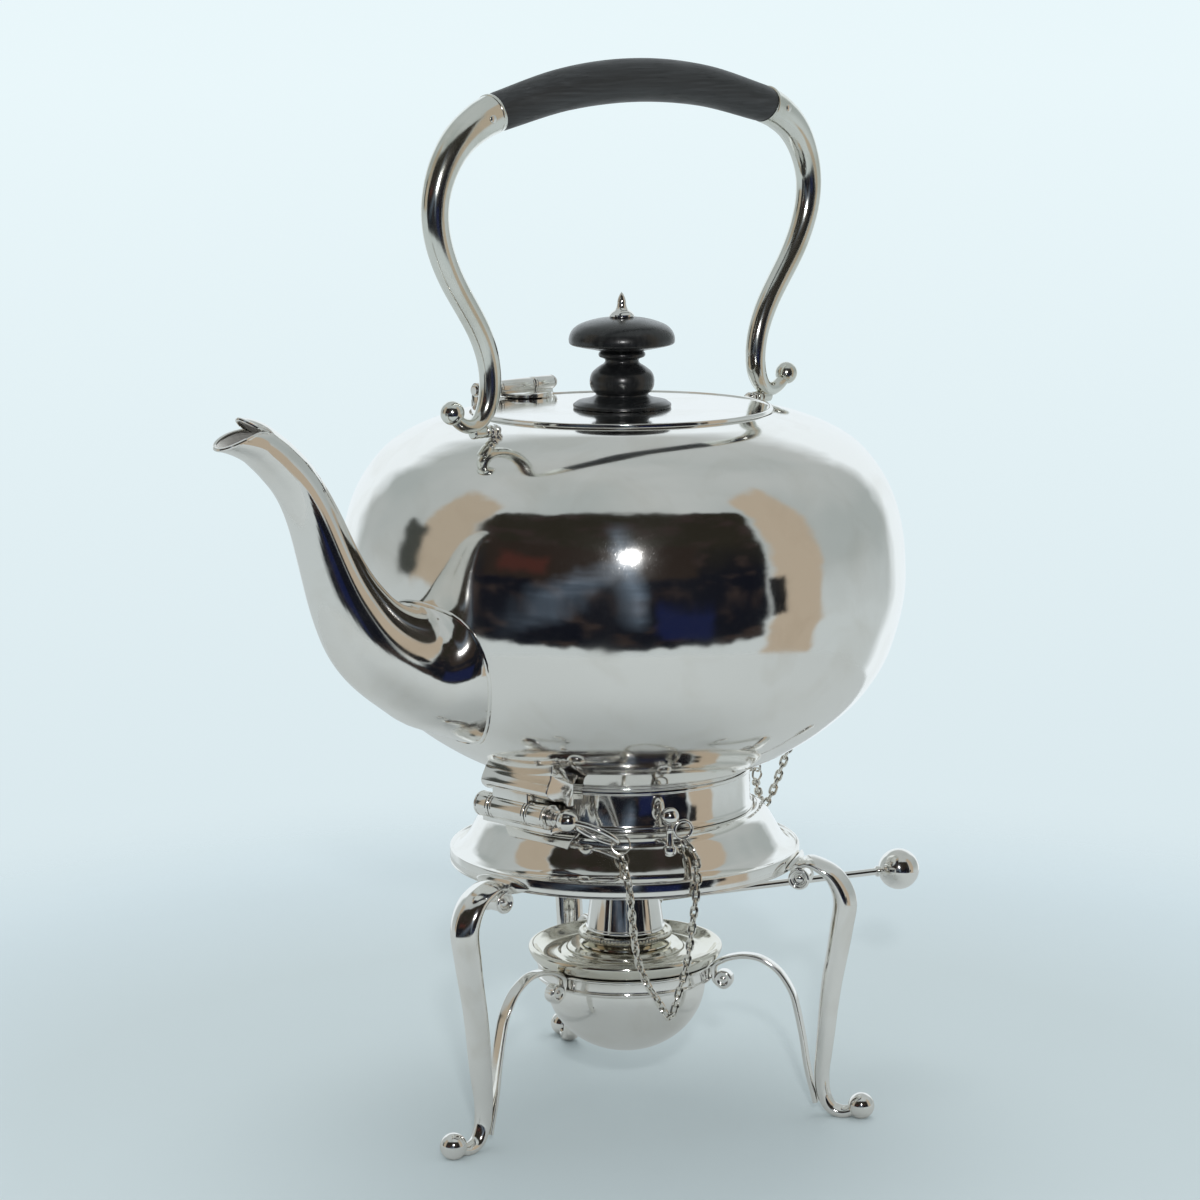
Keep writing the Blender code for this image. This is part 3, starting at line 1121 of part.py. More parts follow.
def handle_bar(side, start, end, radius):
    """A round length on the handle's axis, at one side."""
    centre = Vector((0.0, HANDLE_AXIS_SETBACK, HANDLE_AXIS_HEIGHT))
    return round_bar(centre + ALONG_X * side * start, centre + ALONG_X * side * end, radius)


def make_lug(name, side):
    """Saddle on the shoulder with a knuckle, for one foot of the handle."""
    end = HANDLE_KNUCKLE_START - RUNNING_GAP
    start = end - LUG_WIDTH
    bottom, top = HANDLE_AXIS_HEIGHT - 4 * HANDLE_KNUCKLE_RADIUS, HANDLE_AXIS_HEIGHT - KNUCKLE_STEP
    base = cross_block(side * (start + KNUCKLE_STEP), side * (end - KNUCKLE_STEP),
                       HANDLE_AXIS_SETBACK - LUG_DEPTH, HANDLE_AXIS_SETBACK + LUG_DEPTH, bottom, top)
    knuckle = handle_bar(side, start, end, HANDLE_KNUCKLE_RADIUS)
    bore = handle_bar(side, 0.0, BODY_RADIUS, HANDLE_PIN_RADIUS + PIN_GAP)
    return make_piece(name, base, SILVER, joined=(knuckle,), cut=(bore, body_envelope(SOLDER_GAP)))


def make_handle_pin(name, side):
    """Stub pin from one lug into the handle's knuckle, headed at the lug."""
    end = HANDLE_KNUCKLE_START + HANDLE_KNUCKLE_WIDTH - HANDLE_SOCKET_FLOOR - PIN_GAP
    head_start = HANDLE_KNUCKLE_START - RUNNING_GAP - LUG_WIDTH - SOLDER_GAP - HANDLE_PIN_HEAD
    place = Vector((side * end, HANDLE_AXIS_SETBACK, HANDLE_AXIS_HEIGHT))
    pin = headed_pin(place, ALONG_X * -side, end - head_start, HANDLE_PIN_RADIUS, HANDLE_PIN_HEAD_RADIUS,
                     HANDLE_PIN_HEAD)
    return make_piece(name, pin, SILVER, cut=(body_envelope(SOLDER_GAP),))


def arm_stations():
    """The arm's path from its ball to its socket, with its radius at each point."""
    return [(ARM_REACH * reach, HANDLE_AXIS_HEIGHT + ARM_RISE * rise, ARM_THICKNESS * radius)
            for reach, rise, radius in smoothed(ARM_SHARES, 1)]


def grip_path():
    """The grip's centre line from the left socket's face over the top to the right one's."""
    reach, height, _ = arm_stations()[-1]
    top = HANDLE_AXIS_HEIGHT + GRIP_RISE
    end_slope = reach / 2
    points = [(-reach, height), (-end_slope, height + (top - height) * 3 / 4), (0.0, top),
              (end_slope, height + (top - height) * 3 / 4), (reach, height)]
    return [tuple(point) for point in smoothed(points, 4)]


def socket_line():
    """The centre and direction of the right socket, pointing into the grip."""
    path = grip_path()
    end = Vector((path[-1][0], HANDLE_AXIS_SETBACK, path[-1][1]))
    before = Vector((path[-2][0], HANDLE_AXIS_SETBACK, path[-2][1]))
    return end, (before - end).normalized()


def mirrored_x(point, side):
    """A point kept at the right side or moved to the left."""
    return Vector((side * point.x, point.y, point.z))


def make_arm(name, side):
    """Tapering tube with a hooked foot and ball, a knuckle, and a socket for the grip."""
    stations = arm_stations()
    path = [(reach, height) for reach, height, _ in stations]
    radii = [radius for _, _, radius in stations]
    azimuth = 0.0 if side > 0 else math.pi
    tube = swept(path, radii, radii, circle_shares(TUBE_SIDES), azimuth)
    bmesh.ops.translate(tube, vec=ALONG_Y * HANDLE_AXIS_SETBACK, verts=tube.verts)
    tip = Vector((side * ARM_BALL_REACH, HANDLE_AXIS_SETBACK, HANDLE_AXIS_HEIGHT + ARM_BALL_RISE))
    knuckle = handle_bar(side, HANDLE_KNUCKLE_START, HANDLE_KNUCKLE_START + HANDLE_KNUCKLE_WIDTH,
                         HANDLE_KNUCKLE_RADIUS)
    bore_end = HANDLE_KNUCKLE_START + HANDLE_KNUCKLE_WIDTH - HANDLE_SOCKET_FLOOR
    bore = handle_bar(side, 0.0, bore_end, HANDLE_PIN_RADIUS + PIN_GAP)
    end, inward = socket_line()
    depth = TENON_LENGTH + SOLDER_GAP
    socket = round_bar(mirrored_x(end + inward * OVERRUN, side), mirrored_x(end - inward * depth, side),
                       TENON_RADIUS + SOLDER_GAP)
    rivet = mirrored_x(end - inward * RIVET_SETBACK, side)
    cross = ALONG_Y * 2 * ARM_THICKNESS
    hole = round_bar(rivet - cross, rivet + cross, RIVET_RADIUS + SOLDER_GAP / 2)
    beyond = round_bar(mirrored_x(end, side), mirrored_x(end + inward * 2 * ARM_THICKNESS, side), 2 * ARM_THICKNESS)
    return make_piece(name, tube, SILVER, joined=(ball(tip, ARM_BALL_RADIUS), knuckle),
                      cut=(beyond, bore, socket, hole))


def make_grip():
    """Swelling bowed grip with a tenon at each end."""
    path = grip_path()
    last = len(path) - 1
    radii = [GRIP_RADIUS * (GRIP_END_SHARE + (1 - GRIP_END_SHARE) * math.sin(math.pi * index / last))
             for index in range(len(path))]
    end, inward = socket_line()
    reach = end + inward * SOLDER_GAP
    path[0], path[-1] = (-reach.x, reach.z), (reach.x, reach.z)
    bar = swept(path, radii, radii, circle_shares(TUBE_SIDES))
    bmesh.ops.translate(bar, vec=ALONG_Y * HANDLE_AXIS_SETBACK, verts=bar.verts)
    tenons = [round_bar(mirrored_x(end + inward * OVERRUN, side), mirrored_x(end - inward * TENON_LENGTH, side),
                        TENON_RADIUS, TUBE_SIDES) for side in (-1, 1)]
    rivet = end - inward * RIVET_SETBACK
    cross = ALONG_Y * 2 * ARM_THICKNESS
    holes = [round_bar(mirrored_x(rivet, side) - cross, mirrored_x(rivet, side) + cross,
                       RIVET_RADIUS + SOLDER_GAP / 2) for side in (-1, 1)]
    return make_piece("handle_grip", bar, EBONY, joined=tenons, cut=holes)


def make_rivet(name, side):
    """Rivet through a socket and its tenon, with a low domed head at each face."""
    end, inward = socket_line()
    centre = mirrored_x(end - inward * RIVET_SETBACK, side)
    half = ARM_THICKNESS + SOLDER_GAP
    heads = [turned(((0.0, 0.0), (RIVET_HEAD_RADIUS, 0.0), (RIVET_HEAD_RADIUS * 3 / 4, RIVET_HEAD_HEIGHT * 3 / 4),
                     (0.0, RIVET_HEAD_HEIGHT)), SMALL_SIDES, aim(ALONG_Y * face, centre + ALONG_Y * face * half))
             for face in (-1, 1)]
    inner = half + RIVET_HEAD_HEIGHT / 4
    shaft = round_bar(centre - ALONG_Y * inner, centre + ALONG_Y * inner, RIVET_RADIUS)
    return make_piece(name, shaft, SILVER, joined=heads)


def make_bowl():
    """Round-bottomed spirit bowl, open at the top, that hangs in the burner ring."""
    top = DISH_BOTTOM - SOLDER_GAP
    depth = BOWL_STRAIGHT - BOWL_BOTTOM
    angles = [math.pi / 2 * step / BOWL_STEPS for step in range(BOWL_STEPS + 1)]
    outer = [(BOWL_RADIUS * math.sin(angle), BOWL_STRAIGHT - depth * math.cos(angle)) for angle in angles]
    inner = [((BOWL_RADIUS - BOWL_WALL) * math.sin(angle), BOWL_STRAIGHT - (depth - BOWL_WALL) * math.cos(angle))
             for angle in angles]
    outer[0], inner[0] = (0.0, BOWL_BOTTOM), (0.0, BOWL_BOTTOM + BOWL_WALL)
    outline = outer + [(BOWL_RADIUS, top), (BOWL_RADIUS - BOWL_WALL, top)] + list(reversed(inner))
    return make_piece("burner_bowl", turned(outline, WIDE_SIDES), SILVER)


def make_dish():
    """Burner top: raised rim, hollow channel and raised hub, bored for the wick tube."""
    bore = WICK_TUBE_RADIUS + SOLDER_GAP
    rise = DISH_TOP - DISH_BOTTOM
    top = [(DISH_RADIUS * radius, DISH_BOTTOM + rise * height) for radius, height in DISH_SHARES]
    hub = top[-1][1]
    outline = [(DISH_RADIUS * DISH_FOOT_SHARE, DISH_BOTTOM)] + top
    outline += [(bore, hub), (bore, hub - DISH_WALL)]
    outline += [(HUB_RADIUS - DISH_WALL, hub - DISH_WALL), (HUB_RADIUS + DISH_WALL, DISH_BOTTOM)]
    return make_piece("burner_dish", turned(outline, WIDE_SIDES), SILVER)


def make_knurled_collar():
    """Ribbed collar ring on the dish, under the flame sleeve."""
    bore = WICK_TUBE_RADIUS + SOLDER_GAP
    bottom = DISH_BOTTOM + (DISH_TOP - DISH_BOTTOM) * DISH_SHARES[-1][1] + SOLDER_GAP
    outline = ((bore, bottom), (KNURL_RADIUS - KNURL_DEPTH, bottom), (KNURL_RADIUS, bottom + KNURL_DEPTH),
               (KNURL_RADIUS, KNURL_TOP - KNURL_DEPTH),
               (KNURL_RADIUS - KNURL_DEPTH, KNURL_TOP), (bore, KNURL_TOP))
    shape = turned(outline, 2 * KNURL_RIBS)
    for corner in shape.verts:
        reach = math.hypot(corner.co.x, corner.co.y)
        step = round(math.atan2(corner.co.y, corner.co.x) / math.pi * KNURL_RIBS)
        if reach > KNURL_RADIUS - KNURL_DEPTH / 2 and step % 2:
            corner.co.x *= 1 - KNURL_DEPTH / reach
            corner.co.y *= 1 - KNURL_DEPTH / reach
    return make_piece("knurled_collar", shape, SILVER)


def make_wick_tube():
    """Tube that holds the wick and that the sleeve turns on."""
    inner = WICK_TUBE_RADIUS - WICK_TUBE_WALL
    outline = ((inner, WICK_TUBE_BOTTOM), (WICK_TUBE_RADIUS, WICK_TUBE_BOTTOM),
               (WICK_TUBE_RADIUS, WICK_TUBE_TOP), (inner, WICK_TUBE_TOP))
    return make_piece("wick_tube", turned(outline, TURNED_SIDES), SILVER)


def make_wick():
    """Round cotton wick, a little domed at the top."""
    outline = ((0.0, WICK_BOTTOM), (WICK_RADIUS, WICK_BOTTOM), (WICK_RADIUS, WICK_TOP - WICK_RADIUS / 4),
               (WICK_RADIUS * 3 / 4, WICK_TOP), (0.0, WICK_TOP + WICK_RADIUS / 8))
    return make_piece("wick", turned(outline, SMALL_SIDES), COTTON)


def sleeve_radius(height):
    """The sleeve's outer radius at a height."""
    share = (height - SLEEVE_BOTTOM) / (SLEEVE_TOP - SLEEVE_BOTTOM)
    return SLEEVE_BOTTOM_RADIUS + (SLEEVE_TOP_RADIUS - SLEEVE_BOTTOM_RADIUS) * share


def make_sleeve():
    """Open cone with a floor ring that turns on the wick tube."""
    bore = WICK_TUBE_RADIUS + RUNNING_GAP
    floor = SLEEVE_BOTTOM + SLEEVE_FLOOR
    outline = ((bore, SLEEVE_BOTTOM), (SLEEVE_BOTTOM_RADIUS, SLEEVE_BOTTOM), (SLEEVE_TOP_RADIUS, SLEEVE_TOP),
               (SLEEVE_TOP_RADIUS - SLEEVE_WALL, SLEEVE_TOP), (sleeve_radius(floor) - SLEEVE_WALL, floor),
               (bore, floor))
    return make_piece("flame_sleeve", turned(outline, TURNED_SIDES), SILVER)


def make_lever():
    """Radial rod on the sleeve and the ball at its end."""
    start = polar(sleeve_radius(LEVER_HEIGHT) + LEVER_RADIUS / 4, LEVER_AZIMUTH, LEVER_HEIGHT)
    end = polar(LEVER_BALL_REACH - LEVER_BALL_RADIUS - SOLDER_GAP, LEVER_AZIMUTH, LEVER_HEIGHT)
    centre = polar(LEVER_BALL_REACH, LEVER_AZIMUTH, LEVER_HEIGHT)
    rod = round_bar(start, end, LEVER_RADIUS)
    return [make_piece("lever_rod", rod, SILVER),
            make_piece("lever_ball", ball(centre, LEVER_BALL_RADIUS, TURNED_SIDES), SILVER)]


def make_stand():
    """All fixed pieces of the stand."""
    pieces = [make_platform(), make_collar(), make_burner_ring(), make_stand_leaf(), make_lock_tongue(),
              make_chain_eyelet()]
    return pieces + make_legs() + make_braces()


def make_kettle():
    """The kettle with the pieces that are fixed to it."""
    pieces = [make_kettle_body(), make_foot_ring(), make_spout(), make_kettle_block(), make_lock_ears(),
              make_rear_eyelet(), make_lid_leaf(), make_lid_pin()]
    for name, side in (("left", -1), ("right", 1)):
        pieces += [make_lug("handle_lug_" + name, side), make_handle_pin("handle_pin_" + name, side)]
    return pieces


def make_lid_group():
    """The lid with its strap, knob and fastening."""
    return [make_lid(), make_lid_strap(), make_knob(), make_finial()] + make_knob_fastening()


def make_handle():
    """The swing handle: grip, two arms and two rivets."""
    pieces = [make_grip()]
    for name, side in (("left", -1), ("right", 1)):
        pieces += [make_arm("handle_arm_" + name, side), make_rivet("grip_rivet_" + name, side)]
    return pieces


def make_burner():
    """The spirit burner that hangs in the ring."""
    return [make_bowl(), make_dish(), make_knurled_collar(), make_wick_tube()]


def main():
    """Build every piece and hang the moving ones on their axes."""
    clear_scene()
    make_stand()
    kettle = make_axis("kettle_tilt_axis", (-HINGE_REACH, 0.0, HINGE_HEIGHT), make_kettle())
    make_axis("lid_axis", (LID_HINGE_OFFSET, LID_HINGE_REACH, LID_HINGE_HEIGHT), make_lid_group(), parent=kettle)
    make_axis("handle_axis", (0.0, HANDLE_AXIS_SETBACK, HANDLE_AXIS_HEIGHT), make_handle(),
              turn=(HANDLE_LEAN, 0.0, 0.0), parent=kettle)
    front_ring = make_split_ring("front_split_ring", split_ring_centre(), SPLIT_RING_RADIUS,
                                 Matrix.Rotation(SPLIT_RING_TURN, 3, LOOP_DIRECTION) @ LOOP_DIRECTION.cross(UP))
    make_axis("front_pin_line", (-HINGE_REACH, 0.0, HINGE_HEIGHT),
              [make_front_pin(), front_ring, make_front_chain()])
    rear_ring = make_split_ring("rear_split_ring", rear_ring_centre(), REAR_SPLIT_RING_RADIUS - SPLIT_RING_WIRE,
                                ALONG_Y)
    make_axis("rear_pin_line", (LOCK_REACH, 0.0, HINGE_HEIGHT), [make_rear_pin(), rear_ring, make_rear_chain()],
              parent=kettle)
    burner = make_axis("burner_axis", (0.0, 0.0, BURNER_RING_TOP), make_burner())
    make_axis("wick_axis", (0.0, 0.0, WICK_TUBE_TOP), [make_wick()], parent=burner)
    make_axis("sleeve_axis", (0.0, 0.0, SLEEVE_BOTTOM), [make_sleeve()] + make_lever(), parent=burner)


main()
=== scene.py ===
"""Looks of a silver spirit kettle with a swing handle, on its three-legged stand with burner.

The classes hold their sizes in millimetres, and the bench turns them into metres once. +Z is up,
the origin is on the floor on the stand's axis, the spout points to -X and the lid is hinged at +Y.
"""

import logging
import math
from dataclasses import dataclass, field
from enum import Enum

import bmesh
import bpy
from bpy.types import Material, Node, NodeSocket, NodeTree, Object, Scene
from mathutils import Matrix, Quaternion, Vector


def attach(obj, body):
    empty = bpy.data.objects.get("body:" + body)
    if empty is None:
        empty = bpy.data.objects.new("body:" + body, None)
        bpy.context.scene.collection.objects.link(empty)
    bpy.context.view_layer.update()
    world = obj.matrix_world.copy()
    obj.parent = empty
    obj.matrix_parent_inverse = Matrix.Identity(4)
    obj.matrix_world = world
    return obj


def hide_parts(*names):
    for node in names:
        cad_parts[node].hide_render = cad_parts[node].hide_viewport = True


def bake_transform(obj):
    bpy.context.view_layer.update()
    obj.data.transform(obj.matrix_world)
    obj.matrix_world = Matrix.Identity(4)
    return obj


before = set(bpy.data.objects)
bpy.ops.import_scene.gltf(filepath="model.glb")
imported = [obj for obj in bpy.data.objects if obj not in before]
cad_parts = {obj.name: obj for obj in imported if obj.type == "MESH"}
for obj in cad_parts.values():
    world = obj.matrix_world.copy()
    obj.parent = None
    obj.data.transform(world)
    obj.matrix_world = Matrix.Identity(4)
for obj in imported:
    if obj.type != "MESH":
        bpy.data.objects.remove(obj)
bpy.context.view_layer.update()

LOG = logging.getLogger("kettle")
MM = 0.001
WELD = 0.002 * MM
STEPS = 128
FINE_STEPS = 48
PLATE_STEPS = 160
BALL_STEPS = 28
FILLET_SHARE = 0.45
SHORTEST = 1e-6
SMOOTH_ANGLE = math.radians(32)
CARVED_ANGLE = math.radians(40)
BEVEL_ANGLE = math.radians(38)
UP = Vector((0.0, 0.0, 1.0))
ALONG_X = Vector((1.0, 0.0, 0.0))
ALONG_Y = Vector((0.0, 1.0, 0.0))
TOWARDS_VIEWER = Vector((-0.72297, -0.69088, 0.0))
VIEWER_RIGHT = Vector((0.69088, -0.72297, 0.0))

Outline = list[tuple[float, float]]
Ring = list[Vector]


class Body(Enum):
    """The bodies that pieces ride on."""

    STAND = "stand"
    KETTLE = "kettle"
    LID = "lid"
    HANDLE = "handle"
    FRONT_PIN = "front_pin"
    REAR_PIN = "rear_pin"
    BURNER = "burner"
    WICK = "wick"
    REGULATOR = "regulator"


# ---- shapes in numbers ----


def polar(reach: float, azimuth: float, height: float = 0.0) -> Vector:
    """A point at a reach and an azimuth from the axis."""
    return Vector((reach * math.cos(azimuth), reach * math.sin(azimuth), height))


def circle(sides: int) -> Outline:
    """The points of a unit circle."""
    return [(math.cos(2 * math.pi * side / sides), math.sin(2 * math.pi * side / sides)) for side in range(sides)]


def smooth(points: list, steps: int) -> list[Vector]:
    """A smooth curve through points.

    Args:
        points: The points, of any number of coordinates.
        steps: How many spans each gap between two points gets.

    Returns:
        The points of the curve, with the first and last as given.
    """
    points = [Vector(point) for point in points]
    padded = [2 * points[0] - points[1]] + points + [2 * points[-1] - points[-2]]
    curve = []
    for before, start, end, after in zip(padded, padded[1:], padded[2:], padded[3:]):
        for step in range(steps):
            t = step / steps
            curve.append((2 * start + (end - before) * t + (2 * before - 5 * start + 4 * end - after) * t ** 2
                          + (3 * start - before - 3 * end + after) * t ** 3) / 2)
    return curve + [points[-1]]


def eased(points: list[Vector], reach: int) -> list[Vector]:
    """Points with each one but the ends moved to the mean of its neighbours within a reach.

    Args:
        points: The points of a line.
        reach: How many neighbours on each side count.

    Returns:
        The calmer line.
    """
    calm = []
    for index in range(len(points)):
        near = min(reach, index, len(points) - 1 - index)
        group = points[index - near:index + near + 1]
        calm.append(sum(group[1:], group[0].copy()) / len(group))
    return calm


def smooth_outline(points: Outline, steps: int) -> Outline:
    """A smooth outline through points of (radius, height)."""
    return [tuple(point) for point in smooth(points, steps)]


def filleted(outline: Outline, radius: float, steps: int = 3, least: float = 0.45) -> Outline:
    """Round the corners of an outline.

    Args:
        outline: Points of (radius, height).
        radius: How far from a corner its rounding starts.
        steps: How many spans each rounding gets.
        least: The turn in radians from which a corner is rounded.

    Returns:
        The outline with its corners rounded and its ends as given.
    """
    rounded = [outline[0]]
    for before, corner, after in zip(outline, outline[1:], outline[2:]):
        into, out = Vector(corner) - Vector(before), Vector(after) - Vector(corner)
        if into.length < SHORTEST or out.length < SHORTEST or into.angle(out) < least:
            rounded.append(corner)
            continue
        reach = min(radius, FILLET_SHARE * into.length, FILLET_SHARE * out.length)
        start = Vector(corner) - into.normalized() * reach
        end = Vector(corner) + out.normalized() * reach
        for step in range(steps + 1):
            t = step / steps
            rounded.append(tuple(start * (1 - t) ** 2 + Vector(corner) * 2 * t * (1 - t) + end * t ** 2))
    return rounded + [outline[-1]]


def offset(outline: Outline, distance: float) -> Outline:
    """An outline moved square to itself, outwards from the axis if it runs upwards.

    Args:
        outline: Points of (radius, height).
        distance: How far it moves.

    Returns:
        The moved outline.
    """
    moved = []
    for index, (radius, height) in enumerate(outline):
        before, after = outline[max(index - 1, 0)], outline[min(index + 1, len(outline) - 1)]
        normal = Vector((after[1] - before[1], before[0] - after[0])).normalized()
        moved.append((radius + normal.x * distance, height + normal.y * distance))
    return moved


def mirrored(half: Outline) -> Outline:
    """An outline followed by its mirror image, from its last point back to its first."""
    return half + [(first, -second) for first, second in half[-2::-1]]


def aim(direction: Vector, centre: Vector) -> Matrix:
    """A placement that turns Z to a direction and moves the origin to a point, in millimetres."""
    return Matrix.Translation(Vector(centre)) @ UP.rotation_difference(Vector(direction)).to_matrix().to_4x4()


def plane_rings(path: Outline, thickness: list[float], width: list[float], section: Outline,
                azimuth: float = 0.0) -> list[Ring]:
    """Rings of a section along a path in a plane through the axis.

    Args:
        path: Points of (reach, height).
        thickness: The section's half size in the plane, at each point.
        width: The section's half size across the plane, at each point.
        section: Points of (outwards, sideways) shares.
        azimuth: Where the plane is, round the axis.

    Returns:
        One ring for each point.
    """
    radial, side = polar(1.0, azimuth), polar(1.0, azimuth + math.pi / 2)
    rings = []
    for index, point in enumerate(path):
        before, after = path[max(index - 1, 0)], path[min(index + 1, len(path) - 1)]
        run = Vector((after[0] - before[0], after[1] - before[1])).normalized()
        normal = radial * -run[1] + UP * run[0]
        core = radial * point[0] + UP * point[1]
        rings.append([core + normal * thickness[index] * u + side * width[index] * v for u, v in section])
    return rings


def wire_rings(points: list[Vector], radius: float, sides: int, looped: bool) -> list[Ring]:
    """Rings of a round wire along points, turned as little as the line allows.

    Args:
        points: The wire's middle line.
        radius: The wire's radius.
        sides: How many points a ring has.
        looped: Whether the line closes on itself.

    Returns:
        One ring for each point.
    """
    last = len(points) - 1
    runs = []
    for index in range(len(points)):
        before = points[index - 1] if looped or index else points[0]
        after = points[(index + 1) % len(points)] if looped or index < last else points[last]
        runs.append((after - before).normalized())
    across = runs[0].orthogonal().normalized()
    rings = []
    for point, run in zip(points, runs):
        across = (across - run * across.dot(run)).normalized()
        normal = run.cross(across)
        rings.append([point + radius * (across * u + normal * v) for u, v in circle(sides)])
    return rings


# ---- the modelling bench ----


def select_only(*pieces: Object) -> None:
    """Leave edit mode and select these pieces and nothing else.

    Args:
        pieces: The pieces, the first one active.
    """
    if bpy.context.object is not None and bpy.context.object.mode != "OBJECT":
        bpy.ops.object.mode_set(mode="OBJECT")
    bpy.ops.object.select_all(action="DESELECT")
    for piece in pieces:
        piece.select_set(True)
    if pieces:
        bpy.context.view_layer.objects.active = pieces[0]


def settle(piece: Object, name: str, place: Matrix | None = None) -> Object:
    """Weld a shape, turn its faces outwards and put its place in its mesh.

    Args:
        piece: The new shape, in metres.
        name: Its name.
        place: A placement in millimetres, or None.

    Returns:
        The shape, at the origin.
    """
    select_only(piece)
    piece.name = piece.data.name = name
    piece.data.transform(piece.matrix_world)
    piece.matrix_world = Matrix.Identity(4)
    if place is not None:
        moved = place.copy()
        moved.translation = place.to_translation() * MM
        piece.data.transform(moved)
    bpy.ops.object.mode_set(mode="EDIT")
    bpy.ops.mesh.select_all(action="SELECT")
    bpy.ops.mesh.remove_doubles(threshold=WELD)
    bpy.ops.mesh.normals_make_consistent(inside=False)
    bpy.ops.object.mode_set(mode="OBJECT")
    return piece


def turned(name: str, outline: Outline, steps: int = STEPS, place: Matrix | None = None) -> Object:
    """Draw an outline point by point and spin it about Z.

    Args:
        name: The piece's name.
        outline: Points of (radius, height), closed on the axis or on itself.
        steps: How many spans the spin gets.
        place: A placement in millimetres, or None.

    Returns:
        The turned piece.
    """
    points = list(outline)
    if points[0][0] > 0:
        points.append(points[0])
    select_only()
    bpy.ops.mesh.primitive_plane_add(size=2 * MM)
    piece = bpy.context.object
    bpy.ops.object.mode_set(mode="EDIT")
    bpy.ops.mesh.select_all(action="SELECT")
    bpy.ops.mesh.merge(type="CENTER")
    bpy.ops.transform.translate(value=(points[0][0] * MM, 0.0, points[0][1] * MM))
    for before, after in zip(points, points[1:]):
        step = ((after[0] - before[0]) * MM, 0.0, (after[1] - before[1]) * MM)
        bpy.ops.mesh.extrude_vertices_move(TRANSFORM_OT_translate={"value": step})
    bpy.ops.mesh.select_all(action="SELECT")
    bpy.ops.mesh.remove_doubles(threshold=WELD)
    bpy.ops.mesh.select_all(action="SELECT")
    bpy.ops.mesh.spin(steps=steps, angle=2 * math.pi, center=(0.0, 0.0, 0.0), axis=(0.0, 0.0, 1.0))
    return settle(piece, name, place)


def skinned(name: str, rings: list[Ring], looped: bool = False) -> Object:
    """Extrude a circle from ring to ring.

    Args:
        name: The piece's name.
        rings: Rings of as many points each, in millimetres.
        looped: Whether the last ring is joined to the first; if not, both get a cap.

    Returns:
        The closed piece.
    """
    select_only()
    bpy.ops.mesh.primitive_circle_add(vertices=len(rings[0]), radius=MM, fill_type="NOTHING")
    piece = bpy.context.object
    bpy.ops.object.mode_set(mode="EDIT")
    bpy.ops.mesh.select_all(action="SELECT")
    shape = bmesh.from_edit_mesh(piece.data)
    shape.verts.ensure_lookup_table()
    order = {tuple(corner.co): index for index, corner in enumerate(shape.verts)}
    for count, ring in enumerate(rings):
        if count:
            bpy.ops.mesh.extrude_edges_move()
            shape = bmesh.from_edit_mesh(piece.data)
        chosen = [corner for corner in shape.verts if corner.select]
        placed = {}
        for corner in chosen:
            index = order[tuple(corner.co)]
            corner.co = ring[index] * MM
            placed[tuple(corner.co)] = index
        order = placed
        bmesh.update_edit_mesh(piece.data)
    bpy.ops.mesh.select_all(action="DESELECT")
    if looped:
        bpy.ops.mesh.select_non_manifold()
        bpy.ops.mesh.bridge_edge_loops()
    else:
        bpy.ops.mesh.select_all(action="SELECT")
        bpy.ops.mesh.fill_holes(sides=0)
    return settle(piece, name)


def wire(name: str, points: list[Vector], radius: float, sides: int = 10, looped: bool = False) -> Object:
    """A round wire along points, in millimetres."""
    return skinned(name, wire_rings(points, radius, sides, looped), looped)


def ring_points(radius: float, place: Matrix, steps: int = FINE_STEPS) -> list[Vector]:
    """Points of a circle about a placement's Z, in millimetres."""
    return [place @ Vector((radius * u, radius * v, 0.0)) for u, v in circle(steps)]


def ball(name: str, centre: Vector, radius: float, direction: Vector = UP, flat: float = 0.985) -> Object:
    """A turned ball with a small flat at each pole.

    Args:
        name: The piece's name.
        centre: Its centre, in millimetres.
        radius: Its radius.
        direction: The axis that it is turned on.
        flat: The share of the radius where the flats start.

    Returns:
        The ball.
    """
    angles = [math.pi * (step / BALL_STEPS - 0.5) for step in range(BALL_STEPS + 1)]
    outline = [(radius * math.cos(angle), radius * math.sin(angle)) for angle in angles
               if abs(math.sin(angle)) < flat]
    outline = [(0.0, outline[0][1])] + outline + [(0.0, outline[-1][1])]
    return turned(name, outline, FINE_STEPS, aim(direction, centre))


def bar(name: str, outline: Outline, start: Vector, direction: Vector, steps: int = FINE_STEPS,
        edge: float = 0.25) -> Object:
    """A turned bar from a start along a direction, with its edges rounded."""
    return turned(name, filleted(outline, edge), steps, aim(direction, start))


def block(name: str, low: tuple, high: tuple, edge: float = 0.35) -> Object:
    """A bevelled block between two corners, in millimetres.

    Args:
        name: The piece's name.
        low: The corner with the least coordinates.
        high: The corner with the greatest coordinates.
        edge: The bevel's width.

    Returns:
        The block.
    """
    low, high = Vector(low), Vector(high)
    select_only()
    bpy.ops.mesh.primitive_cube_add(size=1.0, location=(low + high) / 2 * MM)
    piece = bpy.context.object
    piece.scale = (high - low) * MM
    bpy.context.view_layer.update()
    settle(piece, name)
    return bevelled(piece, edge)


def bevelled(piece: Object, edge: float, segments: int = 3) -> Object:
    """Round a piece's sharp edges by a width in millimetres.

    Args:
        piece: The piece.
        edge: The bevel's width.
        segments: How many faces each bevel has.

    Returns:
        The same piece.
    """
    modifier = piece.modifiers.new("edge", "BEVEL")
    modifier.width, modifier.segments = edge * MM, segments
    modifier.limit_method, modifier.angle_limit = "ANGLE", BEVEL_ANGLE
    select_only(piece)
    bpy.ops.object.modifier_apply(modifier=modifier.name)
    return piece


